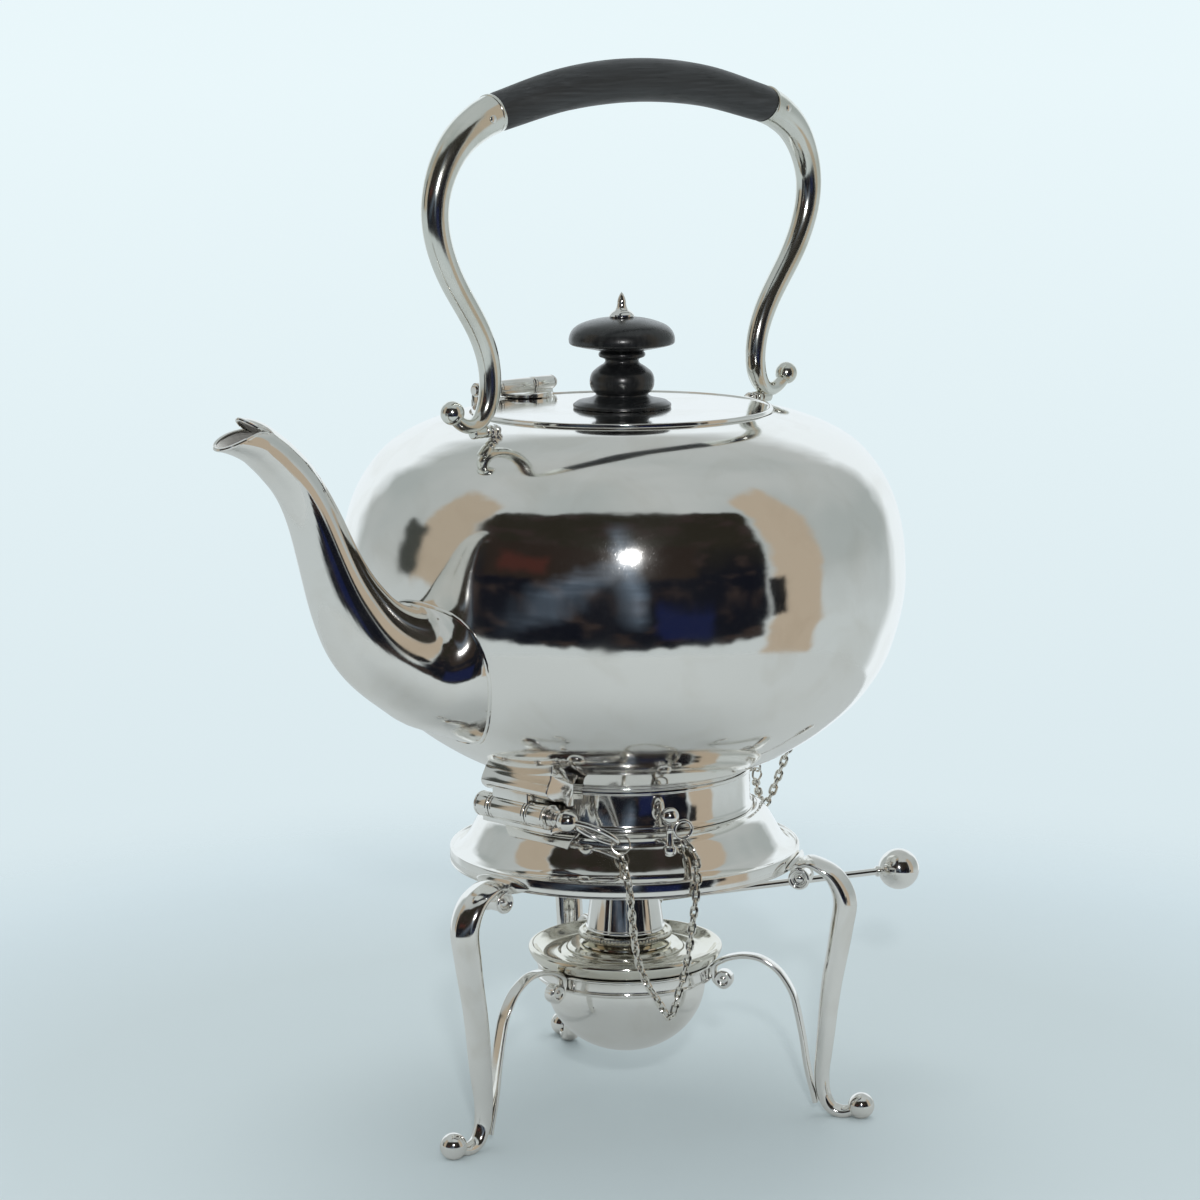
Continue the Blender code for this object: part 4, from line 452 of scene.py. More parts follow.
def cut(piece: Object, *tools: Object) -> Object:
    """Cut tools from a piece and use them up.

    Args:
        piece: The piece.
        tools: The shapes that are cut away, one after the other.

    Returns:
        The same piece.
    """
    for tool in tools:
        modifier = piece.modifiers.new("cut", "BOOLEAN")
        modifier.operation, modifier.solver, modifier.object = "DIFFERENCE", "EXACT", tool
        select_only(piece)
        bpy.ops.object.modifier_apply(modifier=modifier.name)
        bpy.data.objects.remove(tool, do_unlink=True)
    return piece


def joined(name: str, parts: list[Object]) -> Object:
    """Join parts into one object.

    Args:
        name: The new name.
        parts: The parts.

    Returns:
        The joined object.
    """
    select_only(*parts)
    if len(parts) > 1:
        bpy.ops.object.join()
    parts[0].name = parts[0].data.name = name
    return parts[0]


def copied(piece: Object, name: str, place: Matrix) -> Object:
    """A copy of a piece with its own mesh, moved by a placement in metres.

    Args:
        piece: The model.
        name: The copy's name.
        place: Where the copy goes.

    Returns:
        The copy.
    """
    other = piece.copy()
    other.data = piece.data.copy()
    other.name = other.data.name = name
    bpy.context.scene.collection.objects.link(other)
    other.data.transform(place)
    return other


# ---- finishes ----


class Tree:
    """A node tree that is filled node by node."""

    def __init__(self, tree: NodeTree) -> None:
        """Keep the tree that the nodes go to."""
        self.tree = tree

    def put(self, kind: str, inputs: dict | None = None, **options: object) -> Node:
        """Add a node.

        Args:
            kind: The node's type.
            inputs: Its sockets by name or number, each with a value or with a socket to link.
            options: Its settings.

        Returns:
            The node.
        """
        node = self.tree.nodes.new(kind)
        for name, value in options.items():
            setattr(node, name, value)
        for name, value in (inputs or {}).items():
            if isinstance(value, NodeSocket):
                self.tree.links.new(value, node.inputs[name])
            else:
                node.inputs[name].default_value = value
        return node

    def math(self, operation: str, *values: object) -> NodeSocket:
        """The result of a sum on values or sockets."""
        return self.put("ShaderNodeMath", dict(enumerate(values)), operation=operation).outputs[0]

    def noise(self, where: NodeSocket, scale: float, detail: float = 3.0,
              distortion: float = 0.0) -> NodeSocket:
        """A noise's value at a place."""
        return self.put("ShaderNodeTexNoise", {"Vector": where, "Scale": scale, "Detail": detail,
                                               "Distortion": distortion}).outputs["Fac"]

    def spread(self, value: NodeSocket, low: float, high: float, start: float = 0.0,
               end: float = 1.0) -> NodeSocket:
        """A value moved from one span to another, and held inside it."""
        return self.put("ShaderNodeMapRange", {"Value": value, "From Min": low, "From Max": high,
                                               "To Min": start, "To Max": end}).outputs["Result"]

    def blend(self, factor: object, first: object, second: object) -> NodeSocket:
        """A mix of two colours."""
        node = self.put("ShaderNodeMix", {"Factor": factor, 6: first, 7: second}, data_type="RGBA")
        return node.outputs[2]

    def stretched(self, where: NodeSocket, scale: tuple,
                  turn: tuple = (0.0, 0.0, 0.0)) -> NodeSocket:
        """A place turned and stretched by a Mapping node."""
        return self.put("ShaderNodeMapping", {"Vector": where, "Scale": scale, "Rotation": turn}).outputs["Vector"]

    def feed(self, shader: Node, **values: NodeSocket) -> None:
        """Link values to a shader's sockets, each named with _ for a space."""
        for name, value in values.items():
            self.tree.links.new(value, shader.inputs[name.replace("_", " ")])


def new_material(name: str) -> tuple[Material, Tree, Node, NodeSocket]:
    """A material with its tree, its Principled shader and the Object coordinates.

    Args:
        name: The material's name.

    Returns:
        The material, its tree, its shader and the place socket.
    """
    material = bpy.data.materials.new(name)
    material.use_nodes = True
    tree = Tree(material.node_tree)
    shader = material.node_tree.nodes["Principled BSDF"]
    place = tree.put("ShaderNodeTexCoord").outputs["Object"]
    return material, tree, shader, place


@dataclass(frozen=True)
class Silver:
    """Polished silver plate: hand-worked surface, fine scratches and clouds of tarnish."""

    name: str
    bright: tuple = (0.93, 0.92, 0.89)
    dull: tuple = (0.80, 0.77, 0.71)
    tarnish: float = 0.5
    roughness: float = 0.055
    waves: float = 0.10
    wave_scale: float = 30.0
    scratches: float = 0.0016
    metallic: float = 1.0
    cloud_scale: float = 55.0
    cloud_haze: float = 0.07
    scratch_haze: float = 0.12
    hairlines: tuple = (260.0, 3600.0, 900.0)
    hairline_turn: tuple = (0.3, 0.2, 0.7)
    crosslines: tuple = (3300.0, 300.0, 1500.0)
    crossline_turn: tuple = (0.5, 0.1, -0.4)

    def material(self) -> Material:
        """Mix the finish.

        Returns:
            The material.
        """
        material, tree, shader, place = new_material(self.name)
        clouds = tree.noise(place, self.cloud_scale, 5.0, 0.6)
        stain = tree.spread(clouds, 0.50, 0.78, 0.0, self.tarnish)
        shader.inputs["Metallic"].default_value = self.metallic
        tree.feed(shader, Base_Color=tree.blend(stain, (*self.bright, 1.0), (*self.dull, 1.0)))
        hair = tree.noise(tree.stretched(place, self.hairlines, self.hairline_turn), 1.0, 2.0, 0.4)
        cross = tree.noise(tree.stretched(place, self.crosslines, self.crossline_turn), 1.0, 2.0, 0.4)
        lines = tree.math("MULTIPLY", tree.spread(hair, 0.55, 0.80), tree.spread(cross, 0.45, 0.75))
        rough = tree.math("ADD", tree.spread(clouds, 0.35, 0.8, self.roughness, self.roughness + self.cloud_haze),
                          tree.math("MULTIPLY", lines, self.scratch_haze))
        waves = tree.noise(place, self.wave_scale, 1.5)
        swell = tree.put("ShaderNodeBump", {"Height": waves, "Strength": 1.0, "Distance": self.waves * MM})
        marks = tree.math("ADD", hair, cross)
        fine = tree.put("ShaderNodeBump", {"Height": marks, "Strength": 1.0, "Distance": self.scratches * MM,
                                           "Normal": swell.outputs["Normal"]})
        tree.feed(shader, Roughness=rough, Normal=fine.outputs["Normal"])
        return material


@dataclass(frozen=True)
class Ebony:
    """Ebonised wood: near black, with grain, pores and a worn satin polish."""

    name: str
    dark: tuple = (0.008, 0.009, 0.010)
    light: tuple = (0.036, 0.036, 0.037)
    grain: tuple = (40.0, 900.0, 900.0)
    roughness: float = 0.30
    coat: float = 0.25
    coat_roughness: float = 0.22
    pore_share: float = 2.6
    pore_haze: float = 0.20
    wear_scale: float = 90.0
    wear_haze: float = 0.16
    relief: float = 0.025

    def material(self) -> Material:
        """Mix the finish.

        Returns:
            The material.
        """
        material, tree, shader, place = new_material(self.name)
        along = tree.stretched(place, self.grain)
        streaks = tree.noise(along, 1.0, 5.0, 0.5)
        fine = tree.stretched(place, tuple(self.pore_share * share for share in self.grain))
        pores = tree.spread(tree.noise(fine, 1.0, 2.0), 0.60, 0.72)
        worn = tree.noise(place, self.wear_scale, 4.0, 0.3)
        tone = tree.math("MULTIPLY", tree.spread(streaks, 0.45, 0.80), tree.spread(worn, 0.35, 0.75, 0.35, 1.0))
        rough = tree.math("ADD", tree.spread(worn, 0.3, 0.75, self.roughness, self.roughness + self.wear_haze),
                          tree.math("MULTIPLY", pores, self.pore_haze))
        shader.inputs["Coat Weight"].default_value = self.coat
        shader.inputs["Coat Roughness"].default_value = self.coat_roughness
        height = tree.math("SUBTRACT", tree.math("MULTIPLY", streaks, 0.5), pores)
        bump = tree.put("ShaderNodeBump", {"Height": height, "Strength": 1.0, "Distance": self.relief * MM})
        tree.feed(shader, Base_Color=tree.blend(tone, (*self.dark, 1.0), (*self.light, 1.0)), Roughness=rough,
                  Normal=bump.outputs["Normal"])
        return material


@dataclass(frozen=True)
class Cotton:
    """Plaited cotton wick, a little scorched at its top."""

    name: str
    pale: tuple = (0.74, 0.70, 0.60)
    shaded: tuple = (0.50, 0.45, 0.36)
    scorched: tuple = (0.10, 0.07, 0.05)
    scorch_start: float = 73.5
    scorch_end: float = 77.0
    fibre_scale: float = 2600.0
    scorch_scale: float = 700.0
    roughness: float = 0.95
    sheen: float = 0.3
    relief: float = 0.15

    def material(self) -> Material:
        """Mix the finish.

        Returns:
            The material.
        """
        material, tree, shader, place = new_material(self.name)
        height = tree.put("ShaderNodeSeparateXYZ", {"Vector": place}).outputs["Z"]
        fuzz = tree.noise(place, self.fibre_scale, 4.0)
        burnt = tree.math("ADD", tree.spread(height, self.scorch_start * MM, self.scorch_end * MM),
                          tree.spread(tree.noise(place, self.scorch_scale), 0.3, 0.7, -0.35, 0.35))
        shade = tree.blend(tree.spread(fuzz, 0.3, 0.7, 0.0, 0.45), (*self.pale, 1.0), (*self.shaded, 1.0))
        factor = tree.spread(burnt, 0.2, 0.9)
        shader.inputs["Roughness"].default_value = self.roughness
        shader.inputs["Sheen Weight"].default_value = self.sheen
        bump = tree.put("ShaderNodeBump", {"Height": fuzz, "Strength": 0.8, "Distance": self.relief * MM})
        tree.feed(shader, Base_Color=tree.blend(factor, shade, (*self.scorched, 1.0)), Normal=bump.outputs["Normal"])
        return material


class Finish(Enum):
    """The finishes that pieces take."""

    BODY = Silver("silver_raised_body", waves=0.16, wave_scale=24.0)
    SPUN = Silver("silver_spun", waves=0.03, wave_scale=40.0, tarnish=0.6)
    CAST = Silver("silver_cast", roughness=0.07, waves=0.05, wave_scale=90.0, tarnish=0.8, scratches=0.0022)
    TUBE = Silver("silver_tube", roughness=0.06, waves=0.05, wave_scale=60.0)
    ARM = Silver("silver_worn_arms", bright=(0.86, 0.87, 0.82), dull=(0.68, 0.68, 0.60), roughness=0.12,
                 waves=0.06, wave_scale=110.0, tarnish=1.0, scratches=0.003)
    DISH = Silver("silver_worn_dish", bright=(0.84, 0.82, 0.74), dull=(0.56, 0.52, 0.42), roughness=0.08,
                  waves=0.04, wave_scale=60.0, tarnish=1.0)
    WIRE = Silver("silver_wire", bright=(0.80, 0.78, 0.72), dull=(0.48, 0.44, 0.36), roughness=0.12, waves=0.01,
                  wave_scale=300.0, tarnish=1.0)
    GRIP = Ebony("ebony_grip", dark=(0.018, 0.020, 0.022), light=(0.062, 0.067, 0.072),
                 grain=(35.0, 1000.0, 1000.0), roughness=0.42, coat=0.10)
    KNOB = Ebony("ebony_knob", grain=(500.0, 500.0, 80.0), roughness=0.22, coat=0.40)
    INSIDE = Silver("silver_dull_inside", bright=(0.84, 0.83, 0.80), dull=(0.60, 0.57, 0.51), tarnish=0.9,
                    roughness=0.34, waves=0.05, wave_scale=60.0, scratches=0.004, metallic=0.45)
    COTTON = Cotton("cotton_wick")


SLOTS = {Silver: "silver_plate", Ebony: "ebonised_wood", Cotton: "cotton"}


class Workshop:
    """Keeps the mixed finishes and hands each finished piece to its body."""

    def __init__(self) -> None:
        """Start with no finish mixed."""
        self.mixed: dict[Finish, Material] = {}

    def paint(self, piece: Object, *finishes: Finish) -> None:
        """Give a piece one material slot for each finish.

        Args:
            piece: The piece.
            finishes: The finishes.
        """
        for finish in finishes:
            if finish not in self.mixed:
                self.mixed[finish] = finish.value.material()
            piece.data.materials.append(self.mixed[finish])

    def dress(self, piece: Object, finish: Finish, angle: float = SMOOTH_ANGLE) -> None:
        """Give a piece its smooth shading, and its finish if nothing painted it.

        Args:
            piece: The piece.
            finish: Its finish.
            angle: The turn in radians above which an edge stays sharp.
        """
        if not piece.data.materials:
            self.paint(piece, finish)
        select_only(piece)
        bpy.ops.object.shade_smooth_by_angle(angle=angle)
        SLOTS[type(finish.value)]

    def deliver(self, piece: Object, body: Body, finish: Finish, *nodes: str,
                angle: float = SMOOTH_ANGLE) -> None:
        """Dress a piece, hang it on its body and let it stand for its nodes.

        Args:
            piece: The finished shape.
            body: The body that it rides on.
            finish: Its finish.
            nodes: The nodes that it replaces.
            angle: The turn in radians above which an edge stays sharp.
        """
        self.dress(piece, finish, angle)
        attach(piece, body.value)
        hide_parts(*nodes)
        LOG.info("%s: %d faces", piece.name, len(piece.data.polygons))


# ---- the stand ----


@dataclass
class Stand:
    """Platform, collar, cabriole legs, braces and burner ring."""

    shop: Workshop
    radius: float = 58.25
    top: float = 103.4
    lip: float = 90.4
    rim_bottom: float = 85.5
    rim_groove: float = 0.7
    wall: float = 1.2
    flat_share: float = 0.75
    skirt: Outline = field(default_factory=lambda: [
        (0.764, 1.0), (0.800, 0.908), (0.831, 0.754), (0.862, 0.523), (0.891, 0.292), (0.918, 0.115),
        (0.951, -0.008), (0.979, -0.046)])
    collar_radius: float = 41.8
    collar_wall: float = 1.5
    collar_top: float = 116.9
    azimuths: dict[str, float] = field(default_factory=lambda: {
        "front": math.radians(180), "right": math.radians(-60), "back": math.radians(60)})
    reach: float = 80.5
    height: float = 83.2
    thickness: float = 4.0
    width: float = 6.1
    leg: list[tuple] = field(default_factory=lambda: [
        (0.742, 1.036, 0.40, 0.80), (0.780, 1.046, 0.50, 0.98), (0.828, 1.030, 0.60, 1.00),
        (0.880, 0.996, 0.76, 1.00), (0.915, 0.940, 0.92, 0.98), (0.927, 0.880, 1.00, 0.94),
        (0.915, 0.795, 0.98, 0.90), (0.897, 0.685, 0.93, 0.84), (0.877, 0.577, 0.88, 0.81),
        (0.862, 0.463, 0.82, 0.80), (0.851, 0.349, 0.76, 0.79), (0.842, 0.264, 0.71, 0.72),
        (0.834, 0.180, 0.65, 0.62), (0.842, 0.098, 0.60, 0.54), (0.870, 0.042, 0.57, 0.50),
        (0.914, 0.022, 0.56, 0.47), (0.955, 0.028, 0.50, 0.42), (0.990, 0.048, 0.39, 0.33)])
    keel: Outline = field(default_factory=lambda: [
        (1.0, 0.0), (0.90, 0.24), (0.74, 0.49), (0.52, 0.72), (0.26, 0.89), (0.0, 0.96), (-0.35, 0.92),
        (-0.66, 0.76), (-0.88, 0.42), (-0.95, 0.0)])
    toe: float = 4.4
    toe_sunk: float = 0.2
    toe_steps: int = 32
    leaf: list[tuple] = field(default_factory=lambda: [
        (-1.0, 0.06, 0.15), (-0.85, 0.40, 0.5), (-0.6, 0.78, 0.85), (-0.3, 0.97, 1.0), (0.0, 1.0, 1.05),
        (0.3, 0.97, 1.0), (0.6, 0.78, 0.85), (0.85, 0.40, 0.5), (1.0, 0.06, 0.15)])
    leaf_turn: float = math.radians(11.8)
    leaf_depth: float = 0.9
    leaf_height: float = 86.9
    leaf_half: float = 2.6
    scroll_reach: float = 59.8
    scroll_height: float = 81.6
    scroll: Outline = field(default_factory=lambda: [
        (0.0, -4.3), (0.8, -4.2), (1.4, -3.8), (1.7, -3.3), (2.1, -3.3), (2.4, -4.1), (2.9, -4.4), (3.5, -4.2),
        (3.7, -3.5), (3.4, -2.8), (3.2, -2.4), (3.2, 0.0)])
    brace: Outline = field(default_factory=lambda: [
        (0.810, 0.092), (0.798, 0.170), (0.782, 0.265), (0.768, 0.375), (0.757, 0.494), (0.744, 0.608),
        (0.729, 0.721), (0.712, 0.821), (0.682, 0.910), (0.648, 0.978), (0.605, 1.028), (0.559, 1.058),
        (0.502, 1.064), (0.448, 1.048), (0.415, 1.026), (0.388, 1.000), (0.379, 0.972), (0.379, 0.930),
        (0.388, 0.884), (0.420, 0.849), (0.447, 0.880), (0.446, 0.928)])
    brace_section: Outline = field(default_factory=lambda: [
        (1.0, 0.0), (0.90, 0.35), (0.62, 0.72), (0.10, 0.96), (-0.45, 0.96), (-0.75, 0.75), (-0.8, 0.0)])
    brace_width: float = 2.6
    brace_taper: float = 0.3
    brace_thickness: float = 1.15
    volute: Outline = field(default_factory=lambda: [
        (0.0, -2.2), (0.6, -2.1), (1.0, -1.8), (1.5, -1.8), (1.8, -2.1), (2.5, -2.2), (3.0, -1.8), (3.0, 0.0)])
    volute_reach: float = 33.8
    volute_height: float = 45.2
    ring_radius: float = 29.8
    ring_bore: float = 27.3
    ring_bottom: float = 44.8
    ring_top: float = 50.2

    def build(self) -> None:
        """Model the stand's fixed pieces."""
        self.platform()
        self.collar()
        self.legs()
        self.braces()
        self.burner_ring()

    def platform(self) -> None:
        """Domed skirt with a raised lip and a rounded rim."""
        skirt = smooth_outline([(self.radius * reach, self.lip + (self.top - self.lip) * height)
                                for reach, height in self.skirt], 6)
        bore, edge = self.collar_radius - self.collar_wall, self.radius - self.rim_groove
        low, inside = self.rim_bottom, self.radius - self.wall
        rim = filleted([skirt[-1], (edge - 0.2, self.lip - 0.3), (edge, self.lip + 0.1), (self.radius, self.lip),
                        (self.radius, low + 0.9), (self.radius - 0.35, low + 0.6), (self.radius, low + 0.3),
                        (self.radius, low), (inside, low), (inside, self.lip - 1.6)], 0.35)
        inner = [(min(reach, inside - 0.3), height) for reach, height in offset(skirt[::-1], -self.wall)]
        outline = [(bore, self.top), (self.radius * self.flat_share, self.top)] + skirt[:-1] + rim + inner
        outline += [(bore, self.top - self.wall)]
        self.shop.deliver(turned("platform_plate", outline, PLATE_STEPS), Body.STAND, Finish.SPUN, "platform")

    def collar(self) -> None:
        """Short tube with a moulded foot."""
        radius, low, high = self.collar_radius, self.top + 0.1, self.collar_top
        inner = radius - self.collar_wall
        outline = filleted([(inner, low), (radius + 0.9, low), (radius + 0.9, low + 0.8), (radius + 0.2, low + 1.5),
                            (radius, low + 2.2), (radius, high - 1.2), (radius + 0.25, high - 0.9),
                            (radius + 0.25, high), (inner, high), (inner, low)], 0.3)
        self.shop.deliver(turned("collar_tube", outline[:-1]), Body.STAND, Finish.SPUN, "collar")

    def legs(self) -> None:
        """One keeled cabriole leg, repeated round the axis."""
        stations = smooth(self.leg, 6)
        path = [(self.reach * point[0], self.height * point[1]) for point in stations]
        thickness = [self.thickness * point[2] for point in stations]
        width = [self.width * point[3] for point in stations]
        section = smooth_outline(mirrored(self.keel), 3)[:-1]
        rings = plane_rings(path, thickness, width, section)
        shank = skinned("shank", [[Vector((point.x, point.y, max(point.z, 0.0))) for point in ring] for ring in rings])
        scroll = turned("scroll", filleted(mirrored(self.scroll), 0.5), FINE_STEPS,
                        aim(ALONG_Y, Vector((self.scroll_reach, 0.0, self.scroll_height))))
        angles = [math.pi * (step / self.toe_steps - 0.5) for step in range(self.toe_steps + 1)]
        toe = [(self.toe * math.cos(angle), self.toe * (1 + math.sin(angle)) - self.toe_sunk) for angle in angles]
        toe = [(0.0, 0.0)] + [(radius, height) for radius, height in toe if height > 0.0]
        toe[-1] = (0.0, toe[-1][1])
        foot = turned("toe", toe, FINE_STEPS, Matrix.Translation((self.reach, 0.0, 0.0)))
        leaf = skinned("leaf", self.leaf_rings())
        self.round_the_axis(joined("cabriole_leg_model", [shank, scroll, foot, leaf]), "cabriole_leg_", "leg_")

    def round_the_axis(self, model: Object, name: str, node: str) -> None:
        """Deliver a copy of a model at each leg's azimuth and use the model up.

        Args:
            model: The piece as it lies along X.
            name: How each copy's name starts.
            node: How the name of each replaced node starts.
        """
        for which, azimuth in self.azimuths.items():
            piece = copied(model, name + which, Matrix.Rotation(azimuth, 4, "Z"))
            self.shop.deliver(piece, Body.STAND, Finish.CAST, node + which, angle=CARVED_ANGLE)
        bpy.data.objects.remove(model, do_unlink=True)

    def leaf_rings(self) -> list[Ring]:
        """Rings of the leaf that lies on the rim, pointed at both ends.

        Returns:
            The rings, from tip to tip.
        """
        rings = []
        for turn, height, thickness in smooth(self.leaf, 4):
            outward = polar(1.0, self.leaf_turn * turn)
            depth = self.leaf_depth * thickness
            core = outward * (self.radius + 0.1 + depth) + UP * self.leaf_height
            rings.append([core + outward * depth * u + UP * self.leaf_half * height * v for u, v in circle(20)])
        return rings

    def braces(self) -> None:
        """One arched strap that ends in a scroll disc, repeated round the axis."""
        path = smooth_outline([(self.reach * x, self.ring_top * z) for x, z in self.brace], 6)
        last = len(path) - 1
        width = [self.brace_width * (1 - self.brace_taper * index / last) for index in range(len(path))]
        section = smooth_outline(mirrored(self.brace_section), 3)[:-1]
        strap = skinned("strap", plane_rings(path, [self.brace_thickness] * len(path), width, section))
        volute = turned("volute", filleted(mirrored(self.volute), 0.4), FINE_STEPS,
                        aim(ALONG_Y, Vector((self.volute_reach, 0.0, self.volute_height))))
        self.round_the_axis(joined("brace_model", [strap, volute]), "arched_brace_", "brace_")

    def burner_ring(self) -> None:
        """Band with a round bead at each edge."""
        low, high, outer = self.ring_bottom, self.ring_top, self.ring_radius - 0.5
        outline = filleted([(self.ring_bore, low), (self.ring_radius, low), (self.ring_radius, low + 0.9),
                            (outer, low + 1.1), (outer, high - 1.1), (self.ring_radius, high - 0.9),
                            (self.ring_radius, high), (self.ring_bore, high), (self.ring_bore, low)], 0.4)[:-1]
        self.shop.deliver(turned("burner_band", outline), Body.STAND, Finish.CAST, "burner_ring")


# ---- hinge, lock and loose pins ----


@dataclass
class Hinge:
    """The front hinge between the stand and the kettle, and the rear lock."""

    shop: Workshop
    reach: float = 52.0
    height: float = 110.4
    radius: float = 4.15
    far_end: float = 14.2
    far_joint: float = 7.8
    near_joint: float = -9.0
    near_end: float = -17.4
    block: Outline = field(default_factory=lambda: [
        (-0.70, 0.155), (-0.60, 0.24), (-0.45, 0.31), (-0.15, 0.34), (0.08, 0.40), (0.24, 0.50), (0.27, 0.60),
        (0.18, 0.74), (0.08, 0.86), (0.05, 1.0)])
    block_depth: float = 10.0
    block_rise: float = 14.6
    block_foot: float = 2.26
    block_back: float = 42.2
    block_ends: tuple = (-18.0, 12.0)
    joint_gap: float = 0.35
    web_half: float = 2.0
    web_rise: float = 7.3
    plate_back: float = 36.0
    plate_bottom: float = 104.6
    plate_top: float = 107.0
    lock_reach: float = 48.0
    lock_radius: float = 3.3
    lock_bore: float = 1.5
    tongue_root: float = 40.6
    tongue_half: float = 1.0
    tongue_rise: float = 2.9
    tongue_eye: float = 1.2
    ear_root: float = 43.2
    ear_span: tuple = (1.6, 4.1)
    bridge_half: float = 3.9
    bridge_top: float = 131.0
    collar_radius: float = 41.8
    cutter_span: tuple = (100.0, 120.0)

    def build(self) -> None:
        """Model the leaves, the block, the tongue and the ears."""
        self.leaf()
        self.kettle_block()
        self.tongue()
        self.ears()

    def barrel(self, name: str, start: float, end: float) -> Object:
        """A knuckle on the hinge's axis with a fine groove near each end.

        Args:
            name: The part's name.
            start: Where it starts along Y.
            end: Where it ends along Y.

        Returns:
            The knuckle.
        """
        length, radius = end - start, self.radius
        outline = [(0.0, 0.0), (radius, 0.0), (radius, 0.8), (radius - 0.2, 1.0), (radius, 1.2),
                   (radius, length - 1.2), (radius - 0.2, length - 1.0), (radius, length - 0.8),
                   (radius, length), (0.0, length)]
        return bar(name, outline, Vector((-self.reach, start, self.height)), ALONG_Y, FINE_STEPS, 0.3)

    def envelope(self, radius: float) -> Object:
        """A plain cutter round the collar and the foot ring."""
        low, high = self.cutter_span
        return turned("cutter", [(0.0, low), (radius, low), (radius, high), (0.0, high)], STEPS)

    def leaf(self) -> None:
        """Plate on the collar with the two outer knuckles."""
        plate = block("plate", (-self.reach, self.near_end, self.plate_bottom),
                      (-self.plate_back, self.far_end, self.plate_top), 0.4)
        cut(plate, self.envelope(self.collar_radius + 0.1))
        far = self.barrel("far", self.far_joint, self.far_end)
        near = self.barrel("near", self.near_end, self.near_joint)
        piece = joined("front_hinge_leaf", [plate, far, near])
        self.shop.deliver(piece, Body.STAND, Finish.CAST, "stand_hinge_leaf")

    def kettle_block(self) -> None:
        """Moulded block under the kettle with the middle knuckle."""
        face = smooth_outline([(-self.reach - self.block_depth * out, self.height + self.block_rise * rise)
                               for out, rise in self.block], 4)
        profile = [(-self.block_back, self.height + self.block_foot)] + face
        profile.append((-self.block_back, self.height + self.block_rise))
        rings = [[Vector((x, y, z)) for x, z in profile] for y in self.block_ends]
        moulding = bevelled(skinned("moulding", rings), 0.5)
        cut(moulding, self.envelope(self.collar_radius + 0.35), kettle_solid())
        near, far = self.near_joint + self.joint_gap, self.far_joint - self.joint_gap
        knuckle = self.barrel("middle", near, far)
        web = block("web", (-self.reach - self.web_half, near, self.height),
                    (-self.reach + self.web_half, far, self.height + self.web_rise), 0.3)
        piece = joined("hinge_block", [moulding, knuckle, web])
        self.shop.deliver(piece, Body.KETTLE, Finish.CAST, "kettle_hinge_block")

    def eye(self, name: str, start: float, end: float) -> Object:
        """A round length on the rear lock's axis, bored for the pin.

        Args:
            name: The part's name.
            start: Where it starts along Y.
            end: Where it ends along Y.

        Returns:
            The bored length.
        """
        length, bore = end - start, self.lock_bore
        outline = filleted([(bore, 0.0), (self.lock_radius, 0.0), (self.lock_radius, length), (bore, length),
                            (bore, 0.0)], 0.3)[:-1]
        return turned(name, outline, FINE_STEPS, aim(ALONG_Y, Vector((self.lock_reach, start, self.height))))

    def tongue(self) -> None:
        """Tongue with an eye on the collar."""
        stem = block("stem", (self.tongue_root, -self.tongue_half, self.height - self.tongue_rise),
                     (self.lock_reach - 2.0, self.tongue_half, self.height + self.tongue_rise), 0.3)
        piece = joined("rear_tongue", [stem, self.eye("eye", -self.tongue_eye, self.tongue_eye)])
        self.shop.deliver(piece, Body.STAND, Finish.CAST, "lock_tongue")

    def ears(self) -> None:
        """Two ears under the body with a bridge above the tongue."""
        bridge = block("bridge", (self.ear_root, -self.bridge_half, self.height + 3.8),
                       (self.lock_reach + 3.1, self.bridge_half, self.bridge_top), 0.35)
        cut(bridge, kettle_solid())
        parts = [bridge]
        near, far = self.ear_span
        for side, start, end in ((-1, -far, -near), (1, near, far)):
            parts.append(self.eye(f"ear{side}", start, end))
            parts.append(block(f"cheek{side}", (self.ear_root + 0.2, start + 0.1, self.height + 1.6),
                               (self.lock_reach + 3.0, end - 0.1, self.height + 5.0), 0.2))
        self.shop.deliver(joined("rear_ears", parts), Body.KETTLE, Finish.CAST, "lock_ears")


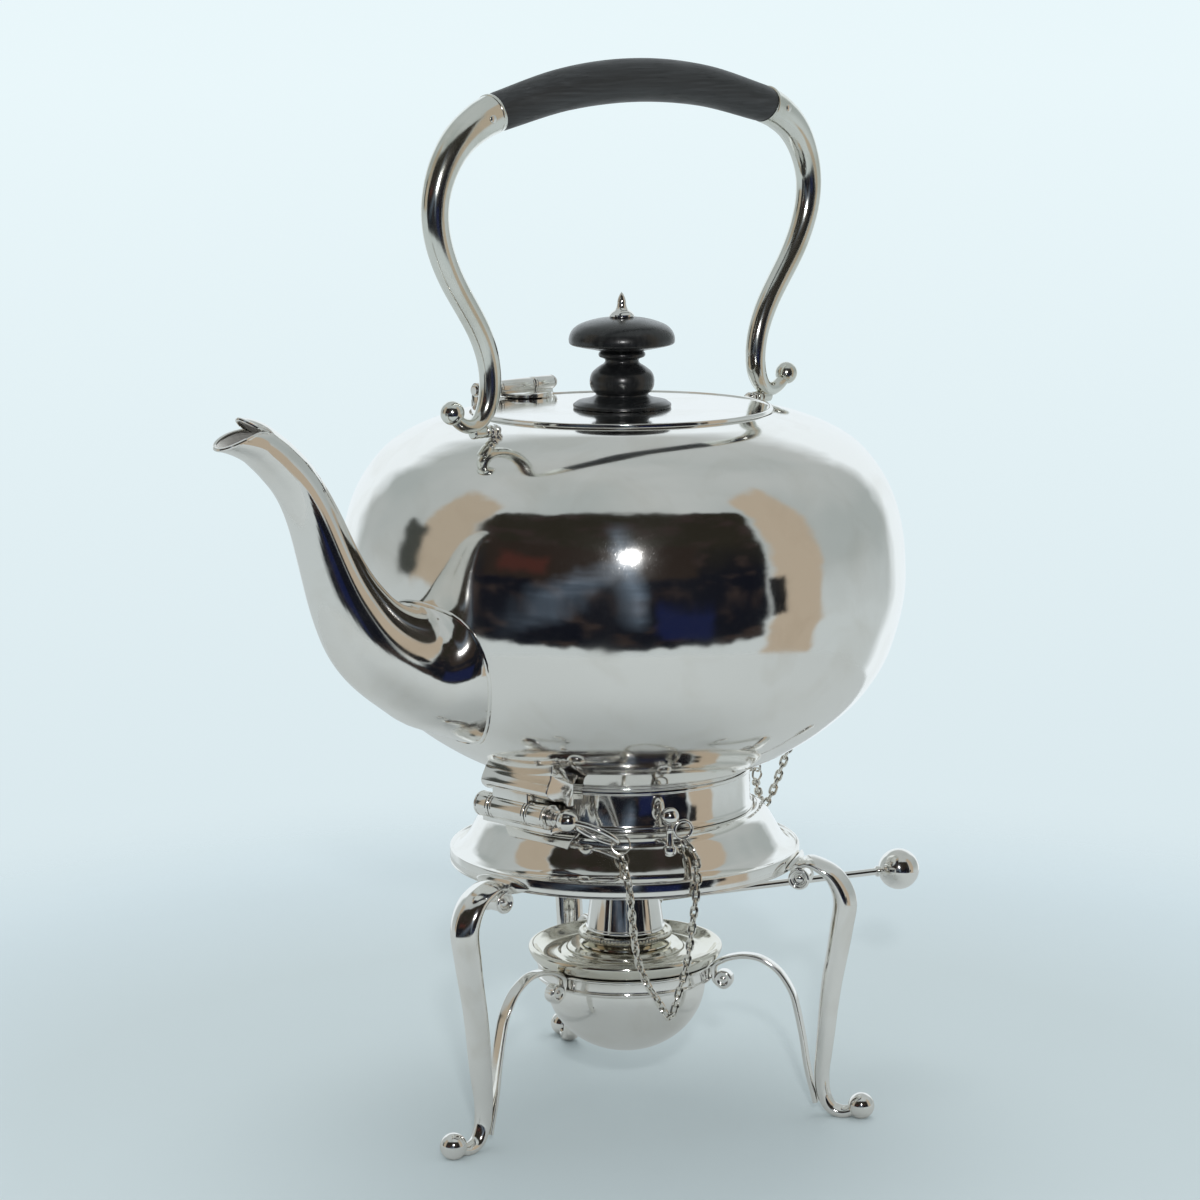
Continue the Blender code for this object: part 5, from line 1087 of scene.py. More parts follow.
@dataclass
class Chain:
    """A chain of oval wire links along a route."""

    length: float = 4.55
    width: float = 3.0
    wire: float = 0.48
    slack: float = 0.05
    steps: int = 18
    sides: int = 8
    turns: tuple = (-48.0, 42.0)
    sways: tuple = ((6.0, 2.1), (4.0, 0.9))

    def link(self) -> Object:
        """One oval link, long in X and wide in Y.

        Returns:
            The link.
        """
        half, side = self.length / 2 - self.wire, self.width / 2 - self.wire
        straight = half - side
        points = []
        for u, v in circle(self.steps):
            points.append(Vector((straight * (1 if u > 0 else -1) * min(1.0, abs(u) * 4) + side * u, side * v, 0.0)))
        return wire("link", points, self.wire, self.sides, True)

    def along(self, name: str, route: list[Vector], facing: Vector) -> Object:
        """Hang links along a route, each a quarter turn from the last.

        Args:
            name: The chain's name.
            route: Points that the chain follows, in millimetres.
            facing: A direction that the chain turns its first links to.

        Returns:
            The chain in one object.
        """
        curve = smooth(route, 8)
        total = sum((after - before).length for before, after in zip(curve, curve[1:]))
        count = round(total / (self.length - 4 * self.wire + self.slack))
        step = total / count
        model = self.link()
        links, run, index = [], 0.0, 0
        for before, after in zip(curve, curve[1:]):
            span = (after - before).length
            while index < count and run + span >= (index + 0.5) * step:
                forward = (after - before).normalized()
                centre = before + forward * ((index + 0.5) * step - run)
                flat = forward.cross(facing).normalized()
                sway = sum(size * math.sin(index * rate) for size, rate in self.sways)
                turn = math.radians(self.turns[index % 2] + sway)
                across = Matrix.Rotation(turn, 3, forward) @ flat
                normal = forward.cross(across)
                place = Matrix((forward, across, normal)).transposed().to_4x4()
                place.translation = centre * MM
                links.append(copied(model, f"{name}_link", place))
                index += 1
            run += span
        bpy.data.objects.remove(model, do_unlink=True)
        return joined(name, links)


@dataclass
class LoosePins:
    """The two loose pins with their split rings, chains and eyelets."""

    shop: Workshop
    chain: Chain
    hinge: Hinge
    platform: float = 58.25
    lip: float = 90.4
    pin_radius: float = 1.6
    pin_gap: float = 0.3
    neck_length: float = 3.2
    ball_radius: float = 3.8
    loop_half: float = 7.5
    loop_width: float = 3.3
    loop_wire: float = 0.9
    loop_sunk: float = 1.5
    loop_turn: float = math.radians(50)
    split_offset: float = 8.5
    split_drop: float = 0.3
    split_radius: float = 2.9
    split_turn: float = math.radians(-15)
    split_winds: float = 1.9
    split_wire: float = 0.27
    split_steps: int = 36
    loop_direction: Vector = field(default_factory=lambda: Vector((0.55, -0.74, -0.38)).normalized())
    eyelet_azimuth: float = math.radians(240.8)
    eyelet_reach: float = 49.0
    eyelet_height: float = 110.0
    eyelet_foot: float = 97.8
    eyelet_hang: tuple = (4.1, 1.2, 4.4)
    eyelet_radius: float = 2.9
    eyelet_wire: float = 0.6
    front_route: list[tuple] = field(default_factory=lambda: [
        (-0.348, -0.856, 1.088), (-0.364, -0.892, 1.058), (-0.385, -0.912, 1.035), (-0.410, -0.940, 1.000),
        (-0.430, -0.941, 0.930), (-0.444, -0.930, 0.842), (-0.459, -0.921, 0.758), (-0.477, -0.908, 0.679),
        (-0.505, -0.889, 0.610), (-0.524, -0.876, 0.554), (-0.540, -0.866, 0.521), (-0.565, -0.850, 0.525),
        (-0.603, -0.823, 0.577), (-0.648, -0.790, 0.636), (-0.683, -0.764, 0.704), (-0.704, -0.751, 0.770),
        (-0.718, -0.744, 0.855), (-0.727, -0.741, 0.925), (-0.738, -0.732, 1.004), (-0.731, -0.704, 1.046)])
    rear_route: list[tuple] = field(default_factory=lambda: [
        (0.870, -0.235, 1.150), (0.950, -0.190, 1.085), (1.020, -0.135, 1.040), (1.062, -0.125, 1.030),
        (1.095, -0.150, 1.065), (1.120, -0.180, 1.130), (1.150, -0.215, 1.215), (1.190, -0.260, 1.310),
        (1.235, -0.305, 1.410)])
    rear_azimuth: float = math.radians(-14.5)
    lock_gap: float = 0.7
    ear_width: float = 2.6
    lock_ball: float = 2.2
    lock_eye_offset: float = 3.3
    lock_eye_radius: float = 1.5
    lock_eye_wire: float = 0.4
    lock_split_radius: float = 2.1
    lock_split_half: float = 0.5
    lock_split_play: float = 0.15
    rear_eye_reach: float = 79.0
    rear_eye_drop: float = 3.2
    rear_eye_radius: float = 1.8

    def build(self) -> None:
        """Model both pins with what hangs on them."""
        self.front_pin()
        self.eyelet()
        self.front_chain()
        self.rear_pin()
        self.rear_eyelet()
        self.rear_chain()

    def front_ball(self) -> Vector:
        """The centre of the front pin's ball."""
        return self.neck_start() - ALONG_Y * self.ball_radius

    def neck_start(self) -> Vector:
        """Where the front pin's ball meets its neck."""
        return Vector((-self.hinge.reach, self.hinge.near_end - self.pin_gap - self.neck_length, self.hinge.height))

    def loop_centre(self) -> Vector:
        """The centre of the front pin's loop."""
        return self.front_ball() + self.loop_direction * (self.ball_radius + self.loop_half - self.loop_sunk)

    def split_centre(self) -> Vector:
        """The centre of the front split ring."""
        return self.loop_centre() + self.loop_direction * self.split_offset - UP * self.split_drop

    def front_pin(self) -> None:
        """Shaft, moulded neck, ball and a long loop of wire."""
        start = self.front_ball()
        length = self.hinge.far_end + self.pin_gap - start.y
        shaft = bar("shaft", [(0.0, 0.0), (self.pin_radius, 0.0), (self.pin_radius, length), (0.0, length)],
                    start, ALONG_Y, FINE_STEPS, 0.3)
        neck = bar("neck", [(0.0, -0.6), (1.9, -0.4), (1.9, 0.5), (2.9, 0.8), (2.9, 1.5), (2.3, 1.8), (2.3, 2.1),
                            (2.9, 2.3), (2.9, 3.2), (0.0, 3.2)], self.neck_start(), ALONG_Y, FINE_STEPS, 0.3)
        knob = ball("knob", start, self.ball_radius, ALONG_Y)
        direction = self.loop_direction
        across = direction.cross(UP).normalized()
        wide = Matrix.Rotation(self.loop_turn, 3, direction) @ across.cross(direction)
        centre = self.loop_centre()
        points = [centre + direction * self.loop_half * u + wide * self.loop_width * v for u, v in circle(FINE_STEPS)]
        loop = wire("loop", points, self.loop_wire, 12, True)
        piece = joined("hinge_pin_front", [shaft, neck, knob, loop])
        self.shop.deliver(piece, Body.FRONT_PIN, Finish.CAST, "front_pin")
        axis = Matrix.Rotation(self.split_turn, 3, direction) @ direction.cross(UP)
        self.split_ring("split_ring_front", self.split_centre(), self.split_radius, axis, Body.FRONT_PIN,
                        "front_split_ring")

    def split_ring(self, name: str, centre: Vector, radius: float, direction: Vector, body: Body, node: str) -> None:
        """A key ring of wire wound almost twice round.

        Args:
            name: The piece's name.
            centre: Its centre, in millimetres.
            radius: The radius of the wire's line.
            direction: The ring's axis.
            body: The body that it rides on.
            node: The node that it replaces.
        """
        place, points = aim(direction, centre), []
        count = round(self.split_winds * self.split_steps)
        for step in range(count + 1):
            angle = 2 * math.pi * self.split_winds * step / count
            lift = (step / count - 0.5) * 2 * self.split_wire
            points.append(place @ Vector((radius * math.cos(angle), radius * math.sin(angle), lift)))
        self.shop.deliver(wire(name, points, self.split_wire, 8), body, Finish.WIRE, node)

    def eyelet_ball(self) -> Vector:
        """The centre of the ball on the eyelet's post."""
        return polar(self.eyelet_reach, self.eyelet_azimuth, self.eyelet_height)

    def eyelet_ring(self) -> Vector:
        """The centre of the eyelet's ring."""
        sideways, out, down = self.eyelet_hang
        side, outward = polar(1.0, self.eyelet_azimuth + math.pi / 2), polar(1.0, self.eyelet_azimuth)
        return self.eyelet_ball() + side * sideways + outward * out - UP * down

    def eyelet(self) -> None:
        """Turned post with a ball, and the ring that carries the chain."""
        top = self.eyelet_ball()
        foot = Vector((top.x, top.y, self.eyelet_foot))
        length = top.z - foot.z
        post = bar("post", [(0.0, 0.0), (2.2, 0.0), (2.2, 2.2), (1.4, 2.8), (1.15, 4.2), (1.15, length - 4.4),
                            (1.7, length - 4.0), (1.7, length - 3.5), (1.2, length - 3.0), (1.2, length),
                            (0.0, length)], foot, UP, FINE_STEPS, 0.35)
        knob = ball("knob", top, 3.0)
        line = ring_points(self.eyelet_radius, aim(polar(1.0, self.eyelet_azimuth), self.eyelet_ring()))
        ring = wire("ring", line, self.eyelet_wire, 12, True)
        self.shop.deliver(joined("chain_post", [post, knob, ring]), Body.STAND, Finish.CAST, "chain_eyelet")

    def route(self, shares: list[tuple]) -> list[Vector]:
        """A chain's middle points from shares of the platform's size."""
        return [Vector((self.platform * x, self.platform * y, self.lip * z)) for x, y, z in shares]

    def front_chain(self) -> None:
        """The chain from the eyelet's ring over the lip and up to the split ring."""
        start = self.eyelet_ring() - UP * 3.3
        end = self.split_centre() - UP * 3.2
        piece = self.chain.along("chain_front", [start] + self.route(self.front_route) + [end],
                                 polar(1.0, self.eyelet_azimuth))
        self.shop.dress(piece, Finish.WIRE)
        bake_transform(piece)
        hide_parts("front_chain")

    def rear_ball(self) -> Vector:
        """The centre of the rear pin's ball, with the pin drawn back out of the tongue."""
        shaft = 2 * (self.ear_width + self.hinge.tongue_eye + self.lock_gap)
        return Vector((self.hinge.lock_reach, self.rear_tip() - shaft - self.lock_ball, self.hinge.height))

    def rear_tip(self) -> float:
        """Where the rear pin ends along Y."""
        return -self.hinge.tongue_eye - self.lock_gap

    def rear_ring(self) -> Vector:
        """The centre of the rear split ring."""
        drop = self.lock_eye_radius - self.lock_eye_wire - self.lock_split_half - self.lock_split_play
        return self.rear_ball() - ALONG_Y * self.lock_eye_offset - UP * (drop + self.lock_split_radius)

    def rear_pin(self) -> None:
        """Short pin with a ball and an eye, and its split ring."""
        centre = self.rear_ball()
        length = self.rear_tip() - centre.y
        shaft = bar("shaft", [(0.0, 0.0), (1.2, 0.0), (1.2, length - 0.5), (0.7, length), (0.0, length)], centre,
                    ALONG_Y, FINE_STEPS, 0.2)
        line = ring_points(self.lock_eye_radius, aim(ALONG_X, centre - ALONG_Y * self.lock_eye_offset))
        eye = wire("eye", line, self.lock_eye_wire, 10, True)
        piece = joined("lock_pin_rear", [shaft, ball("knob", centre, self.lock_ball, ALONG_Y), eye])
        self.shop.deliver(piece, Body.REAR_PIN, Finish.CAST, "rear_pin")
        self.split_ring("split_ring_rear", self.rear_ring(), self.lock_split_radius, ALONG_Y, Body.REAR_PIN,
                        "rear_split_ring")

    def rear_eye(self) -> Vector:
        """The centre of the eye under the body that holds the rear chain.

        Returns:
            The centre, in millimetres.
        """
        outline = kettle_outline(6)
        height = min(outline[:len(outline) // 2], key=lambda point: abs(point[0] - self.rear_eye_reach))[1]
        return polar(self.rear_eye_reach, self.rear_azimuth, height - self.rear_eye_drop)

    def rear_eyelet(self) -> None:
        """Small ring on a stem, soldered under the body."""
        centre = self.rear_eye()
        line = ring_points(self.rear_eye_radius, aim(polar(1.0, self.rear_azimuth + math.pi / 2), centre))
        ring = wire("ring", line, 0.55, 10, True)
        stem = bar("stem", [(0.0, 0.0), (0.6, 0.0), (0.7, 1.0), (1.3, 1.9), (0.0, 2.1)],
                   centre + UP * self.rear_eye_radius, UP, 24, 0.2)
        self.shop.deliver(joined("rear_eyelet", [ring, stem]), Body.KETTLE, Finish.CAST, "rear_chain_eyelet")

    def rear_chain(self) -> None:
        """The chain from the rear split ring to the eye under the body."""
        start = self.rear_ring() - UP * 2.5
        end = self.rear_eye() - UP * 2.2
        piece = self.chain.along("chain_rear", [start] + self.route(self.rear_route) + [end],
                                 polar(1.0, self.rear_azimuth + math.pi / 2))
        self.shop.dress(piece, Finish.WIRE)
        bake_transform(piece)
        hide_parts("rear_chain")


# ---- the kettle ----

BODY_RADIUS = 92.6
BODY_BASE = 119.0
BODY_HEIGHT = 115.9
BODY_SHARES = (
    (0.464, 0.0), (0.491, 0.0035), (0.535, 0.019), (0.632, 0.060), (0.744, 0.121), (0.849, 0.198),
    (0.929, 0.293), (0.975, 0.397), (0.998, 0.492), (0.999, 0.578), (0.989, 0.664), (0.961, 0.751),
    (0.914, 0.828), (0.838, 0.902), (0.745, 0.950), (0.633, 0.984), (0.539, 1.0),
)


def kettle_outline(steps: int) -> Outline:
    """The kettle body's outer outline from its base to its seat."""
    return smooth_outline([(BODY_RADIUS * x, BODY_BASE + BODY_HEIGHT * z) for x, z in BODY_SHARES], steps)


def kettle_solid() -> Object:
    """A cutter as the kettle body is outside."""
    outline = kettle_outline(4)
    return turned("cutter", [(0.0, outline[0][1])] + outline + [(0.0, outline[-1][1])], STEPS)


def kettle_radius(height: float) -> float:
    """The kettle body's outer radius at a height.

    Args:
        height: The height, in millimetres.

    Returns:
        The radius, or zero above and below the body.
    """
    outline = kettle_outline(6)
    for (first, low), (second, high) in zip(outline, outline[1:]):
        if low <= height <= high and high > low:
            return first + (second - first) * (height - low) / (high - low)
    return 0.0


@dataclass
class Kettle:
    """Body, foot ring, spout and handle lugs."""

    shop: Workshop
    wall: float = 1.2
    seat: float = 49.6
    mouth: float = 45.6
    spout_reach: float = 158.0
    spout_rise: float = 119.6
    spout_thickness: float = 6.9
    spout_wall: float = 1.1
    spout_sides: int = 48
    spout: list[tuple] = field(default_factory=lambda: [
        (0.982, 0.998, 0.93, 0.97, 0.36), (0.920, 0.935, 1.02, 1.03, 0.46), (0.884, 0.879, 1.05, 1.05, 0.61),
        (0.854, 0.812, 1.14, 1.14, 0.70), (0.833, 0.748, 1.24, 1.24, 0.74), (0.809, 0.673, 1.38, 1.38, 0.74),
        (0.789, 0.615, 1.53, 1.53, 0.70), (0.770, 0.570, 1.68, 1.68, 0.67), (0.746, 0.522, 1.84, 1.86, 0.61),
        (0.723, 0.483, 1.99, 2.02, 0.55), (0.677, 0.431, 2.22, 2.29, 0.42), (0.633, 0.403, 2.40, 2.55, 0.26),
        (0.603, 0.391, 2.80, 2.95, 0.14), (0.577, 0.397, 3.40, 3.45, 0.05), (0.544, 0.394, 3.65, 3.65, 0.00),
        (0.494, 0.380, 3.92, 3.70, 0.00), (0.443, 0.368, 4.08, 3.72, 0.00)])
    lip_rings: int = 12
    notch: float = math.cos(math.radians(52.5))
    notch_reach: float = 1.2

    def build(self) -> None:
        """Model the kettle's fixed pieces."""
        self.body()
        self.foot_ring()
        self.pour()
        for name, side in (("left", -1), ("right", 1)):
            self.lug(name, side)

    def body(self) -> None:
        """Raised vessel with a flat seat, an inner wall and strainer holes behind the spout."""
        outer = kettle_outline(8)
        inner = [(max(radius, 0.0), height) for radius, height in offset(outer, -self.wall)]
        top = BODY_BASE + BODY_HEIGHT
        outline = [(0.0, BODY_BASE + 0.6), (30.0, BODY_BASE + 0.5)] + outer
        outline += filleted([outer[-1], (self.seat, top - 0.15), (self.seat - 0.15, top - 0.5),
                             (self.mouth, top - 0.5), (self.mouth, top - 1.7), (self.mouth + 1.5, top - 1.7)], 0.2)[1:]
        outline += list(reversed(inner[4:-6])) + [(0.0, BODY_BASE + 1.8)]
        piece = turned("raised_body", outline, 176)
        self.shop.paint(piece, Finish.BODY, Finish.INSIDE)
        middle = Vector((0.0, 0.0, BODY_BASE + BODY_HEIGHT / 2)) * MM
        for face in piece.data.polygons:
            face.material_index = int(face.normal.dot(face.center - middle) < 0)
        holes = []
        for index in range(7):
            angle = math.radians(60 * index)
            reach = 7.2 if index else 0.0
            start = Vector((-95.0, reach * math.sin(angle), 163.0 + reach * math.cos(angle)))
            holes.append(turned("hole", [(0.0, 0.0), (2.3, 0.0), (2.3, 40.0), (0.0, 40.0)], 20, aim(ALONG_X, start)))
        cut(piece, *holes)
        self.shop.deliver(piece, Body.KETTLE, Finish.BODY, "kettle_body")

    def foot_ring(self) -> None:
        """Flat ring under the body with a bead where it meets it."""
        low, high = 117.2, BODY_BASE + 0.2
        outline = filleted([(39.4, low), (41.8, low), (41.9, low + 0.5), (41.6, low + 0.9), (42.2, high - 0.5),
                            (42.0, high), (39.4, high), (39.4, low)], 0.25)[:-1]
        self.shop.deliver(turned("foot_band", outline), Body.KETTLE, Finish.SPUN, "foot_ring")

    def rings(self, inset: float) -> list[Ring]:
        """Rings of the spout from its tips to its root, drawn in by an inset.

        Args:
            inset: How far inside the spout's outside the rings lie.

        Returns:
            The rings.
        """
        rings = []
        for reach, rise, thickness, width, tilt in eased(smooth([Vector(row) for row in self.spout], 6), 5):
            core = Vector((-self.spout_reach * reach, 0.0, BODY_BASE + self.spout_rise * rise))
            angle = math.pi / 2 * tilt
            upward = Vector((math.sin(angle), 0.0, math.cos(angle)))
            high, wide = self.spout_thickness * thickness - inset, self.spout_thickness * width - inset
            rings.append([core + upward * high * u + ALONG_Y * wide * v for u, v in circle(self.spout_sides)])
        return self.beak(rings[0]) + rings

    def beak(self, ring: Ring) -> list[Ring]:
        """Rings beyond the mouth: a wide scoop below, a narrow tip above and a notch at each side.

        Args:
            ring: The spout's first full ring.

        Returns:
            The rings, from the tips inwards.
        """
        angle = math.pi / 2 * self.spout[0][-1]
        outward = Vector((-math.cos(angle), 0.0, math.sin(angle)))
        upward = Vector((math.sin(angle), 0.0, math.cos(angle)))
        rings = []
        for step in range(self.lip_rings, 0, -1):
            share = step / self.lip_rings
            points = []
            for point, (u, _) in zip(ring, circle(self.spout_sides)):
                if u > self.notch:
                    tip, shift, height = 10.1, -2.7, ((u - self.notch) / (1 - self.notch)) ** 0.8
                else:
                    tip, shift, height = 12.6, -2.3, ((self.notch - u) / (1 + self.notch)) ** 0.6
                reach = self.notch_reach + (tip - self.notch_reach) * height
                moved = point + outward * reach * share + upward * shift * height * share ** 2
                moved.y *= 1 - 0.12 * share ** 2
                points.append(moved)
            rings.append(points)
        return rings

    def seam(self, rings: list[Ring]) -> list[Vector]:
        """Where the spout's outside meets the body.

        Args:
            rings: The rings of the spout's outside.

        Returns:
            One point for each side of the spout.
        """
        points = []
        for side in range(self.spout_sides):
            line = [ring[side] for ring in rings]
            depth = [math.hypot(point.x, point.y) - kettle_radius(point.z) for point in line]
            for index in range(1, len(line)):
                if depth[index] < 0 <= depth[index - 1]:
                    share = depth[index - 1] / (depth[index - 1] - depth[index])
                    points.append(line[index - 1].lerp(line[index], share))
                    break
        return points

    def pour(self) -> None:
        """Hollow S-shaped spout with a beak, cut to the body, and its soldered edge."""
        skin = self.rings(0.0)
        inner = self.rings(self.spout_wall)
        tube = skinned("tube", skin + list(reversed(inner)), True)
        self.shop.paint(tube, Finish.TUBE, Finish.INSIDE)
        for face in tube.data.polygons:
            face.material_index = int(face.index // self.spout_sides >= len(skin))
        cut(tube, kettle_solid())
        edge = wire("solder", self.seam(skin), 0.65, 10, True)
        rim = wire("rim", [(out + within) / 2 for out, within in zip(skin[0], inner[0])], 0.62, 10, True)
        self.shop.paint(edge, Finish.TUBE)
        self.shop.paint(rim, Finish.TUBE)
        self.shop.deliver(joined("swan_spout", [tube, edge, rim]), Body.KETTLE, Finish.TUBE, "spout")

    def lug(self, name: str, side: int) -> None:
        """Saddle with a turned knuckle on the shoulder, and the stub pin through it.

        Args:
            name: Which lug it is.
            side: Which way along X it lies, as 1 or -1.
        """
        start = side * (63.1 - 0.35 - 3.4)
        axis = Vector((0.0, -2.2, 234.0))
        outline = [(1.15, 0.0), (1.7, 0.0), (2.0, 0.4), (2.0, 1.0), (1.7, 1.3), (1.7, 2.1), (2.0, 2.4), (2.0, 3.0),
                   (1.7, 3.4), (1.15, 3.4), (1.15, 0.0)]
        knuckle = turned("knuckle", filleted(outline, 0.2)[:-1], FINE_STEPS,
                         aim(ALONG_X * side, axis + ALONG_X * start))
        foot = turned("foot", filleted([(0.0, 0.0), (2.9, 0.0), (2.6, 1.6), (1.7, 2.7), (1.35, 3.6), (1.5, 5.0),
                                        (0.0, 5.2)], 0.4), FINE_STEPS,
                      Matrix.Translation(axis + ALONG_X * side * 61.0 - UP * 6.2))
        cut(foot, kettle_solid())
        bore = turned("bore", [(0.0, -5.0), (1.15, -5.0), (1.15, 9.0), (0.0, 9.0)], 32,
                      aim(ALONG_X * side, axis + ALONG_X * start))
        cut(foot, bore)
        self.shop.deliver(joined("lug_" + name, [knuckle, foot]), Body.KETTLE, Finish.CAST, "handle_lug_" + name)
        end = 63.1 + 7.0 - 1.0 - 0.3
        length = end - (63.1 - 0.35 - 3.4 - 0.3 - 0.6)
        pin = bar("stub_pin_" + name, [(0.0, 0.0), (0.85, 0.0), (0.85, length - 0.6), (1.5, length - 0.6),
                                       (1.4, length - 0.1), (0.0, length)],
                  axis + ALONG_X * side * end, ALONG_X * -side, 32, 0.15)
        self.shop.deliver(pin, Body.KETTLE, Finish.CAST, "handle_pin_" + name)


@dataclass
class Lid:
    """Flat lid with its hinge, knob and finial."""

    shop: Workshop
    radius: float = 49.2
    top: float = 235.9
    hinge: Vector = field(default_factory=lambda: Vector((2.4, 52.6, 239.0)))
    hinge_radius: float = 2.4
    hinge_half: float = 18.0
    joint_half: float = 8.2
    knob_radius: float = 17.3
    knob_height: float = 29.0
    knob: Outline = field(default_factory=lambda: [
        (0.923, 0.0), (0.929, 0.030), (0.840, 0.068), (0.600, 0.100), (0.510, 0.128), (0.500, 0.150),
        (0.560, 0.178), (0.603, 0.240), (0.606, 0.320), (0.560, 0.390), (0.430, 0.455), (0.335, 0.492),
        (0.325, 0.535), (0.425, 0.562), (0.440, 0.598), (0.395, 0.628), (0.560, 0.648), (0.860, 0.684),
        (0.975, 0.706), (1.0, 0.745), (0.988, 0.800), (0.935, 0.862), (0.830, 0.915), (0.670, 0.955),
        (0.480, 0.985), (0.300, 1.0)])

    def build(self) -> None:
        """Model the lid and what is fixed to it."""
        self.plate()
        self.leaf()
        self.strap()
        self.turned_knob()
        self.finial()
        self.fastening()

    def plate(self) -> None:
        """Flat plate with a bead at its rim and a flange below."""
        top, low, bead = self.top, self.top - 1.2, self.radius - 1.4
        outline = [(1.7, top), (20.0, top + 0.1), (bead, top - 0.05)]
        outline += filleted([(bead, top - 0.05), (bead + 0.2, top + 0.33), (self.radius - 0.2, top + 0.33),
                             (self.radius, top), (self.radius, low), (44.7, low), (44.7, low - 5.2),
                             (43.7, low - 5.2), (43.7, low), (1.7, low)], 0.3)[1:]
        self.shop.deliver(turned("lid_plate", outline, 160), Body.LID, Finish.SPUN, "lid")

    def knuckle(self, name: str, start: float, end: float) -> Object:
        """A bored knuckle on the lid hinge's axis.

        Args:
            name: The part's name.
            start: Where it starts along X, from the hinge's middle.
            end: Where it ends along X, from the hinge's middle.

        Returns:
            The knuckle.
        """
        radius, length = self.hinge_radius, end - start
        outline = filleted([(1.25, 0.0), (radius, 0.0), (radius, 0.6), (radius - 0.15, 0.75), (radius, 0.9),
                            (radius, length - 0.9), (radius - 0.15, length - 0.75), (radius, length - 0.6),
                            (radius, length), (1.25, length), (1.25, 0.0)], 0.2)[:-1]
        return turned(name, outline, FINE_STEPS, aim(ALONG_X, self.hinge + ALONG_X * start))

    def leaf(self) -> None:
        """Base on the far shoulder with the two outer knuckles, and the pin."""
        half, inner = self.hinge_half, self.joint_half
        parts = []
        for side in (-1, 1):
            near, far = sorted((side * (inner + 0.2), side * half))
            parts.append(self.knuckle(f"knuckle{side}", near, far))
            low, high = sorted((self.hinge.x + side * (inner + 0.4), self.hinge.x + side * (half - 0.2)))
            foot = block(f"foot{side}", (low, self.hinge.y - 0.9, self.hinge.z - 7.2),
                         (high, self.hinge.y + 2.4, self.hinge.z - 1.4), 0.35)
            parts.append(cut(foot, kettle_solid()))
        low = self.hinge.z - 7.2
        sill = block("sill", (self.hinge.x - half + 0.2, self.hinge.y - 1.2, low),
                     (self.hinge.x + half - 0.2, self.hinge.y + 2.6, self.hinge.z - 3.2), 0.3)
        parts.append(cut(sill, kettle_solid()))
        piece = joined("lid_leaf", parts)
        self.shop.deliver(piece, Body.KETTLE, Finish.CAST, "lid_hinge_leaf")
        end = half + 0.3
        outline = [(0.0, -end - 0.7), (1.4, -end - 0.7), (2.0, -end - 0.3), (2.0, -end), (1.0, -end), (1.0, end),
                   (2.0, end), (2.0, end + 0.3), (1.4, end + 0.7), (0.0, end + 0.7)]
        self.shop.deliver(bar("lid_pin", outline, self.hinge, ALONG_X, 32, 0.15), Body.KETTLE, Finish.CAST,
                          "lid_hinge_pin")

    def strap(self) -> None:
        """Tapered strap on the lid with the middle knuckle."""
        half, low = self.joint_half - 0.55, self.top + 0.35
        rows = [(38.5, 0.30), (39.3, 0.62), (41.0, 0.86), (44.0, 1.0), (52.6, 1.0)]
        rings = []
        for reach, share in smooth(rows, 3):
            wide = half * share
            rings.append([Vector((self.hinge.x + x * wide, reach, low + z)) for x, z in
                          ((-1.0, 0.0), (-1.0, 0.9), (-0.92, 1.25), (0.0, 1.4), (0.92, 1.25), (1.0, 0.9), (1.0, 0.0))])
        plate = skinned("plate", rings)
        bore = turned("bore", [(0.0, -20.0), (1.25, -20.0), (1.25, 20.0), (0.0, 20.0)], 32, aim(ALONG_X, self.hinge))
        cut(plate, bore)
        knuckle = self.knuckle("middle", -self.joint_half + 0.35, self.joint_half - 0.35)
        self.shop.deliver(joined("lid_strap", [plate, knuckle]), Body.LID, Finish.CAST, "lid_hinge_strap")

    def turned_knob(self) -> None:
        """Turned ebony knob: foot disc, baluster, grooved neck and mushroom."""
        low = self.top + 0.3
        shape = [(self.knob_radius * x, low + self.knob_height * z) for x, z in self.knob]
        foot, stem, cap = shape[:3], shape[2:16], shape[15:]
        outline = [(1.7, low)] + filleted(foot, 0.3)[:-1] + smooth_outline(stem, 4)[:-1] + smooth_outline(cap, 5)
        outline += [(1.7, low + self.knob_height)]
        self.shop.deliver(turned("ebony_knob_turned", outline), Body.LID, Finish.KNOB, "lid_knob")

    def finial(self) -> None:
        """Silver button with a pointed tip on the long spindle."""
        seat = self.top + 0.3 + self.knob_height + 0.1
        top = seat + 8.2
        foot = self.top - 1.2 - 0.3 - 0.8 - 0.3 - 2.2 - 0.3
        tip = smooth_outline([(4.1, seat + 0.9), (3.4, seat + 1.7), (2.4, seat + 2.3), (1.75, seat + 3.2),
                              (1.5, seat + 4.3), (1.45, seat + 5.2), (1.1, seat + 6.4), (0.5, seat + 7.6)], 4)
        outline = [(0.0, foot), (1.2, foot), (1.35, foot + 0.3), (1.35, seat)]
        outline += filleted([(1.35, seat), (4.1, seat), (4.1, seat + 0.9)], 0.3)[1:] + tip[1:] + [(0.0, top)]
        self.shop.deliver(turned("finial_button", outline, FINE_STEPS), Body.LID, Finish.CAST, "knob_finial")

    def fastening(self) -> None:
        """Washer and six-sided nut under the lid."""
        high = self.top - 1.2 - 0.3
        washer = filleted([(1.7, high), (5.0, high), (5.0, high - 0.8), (1.7, high - 0.8), (1.7, high)], 0.2)[:-1]
        self.shop.deliver(turned("washer_disc", washer, 64), Body.LID, Finish.CAST, "knob_washer")
        high -= 1.1
        nut = turned("nut_six_sided", [(1.7, high), (3.2, high), (3.2, high - 2.2), (1.7, high - 2.2)], 6)
        self.shop.deliver(bevelled(nut, 0.18, 2), Body.LID, Finish.CAST, "knob_nut")


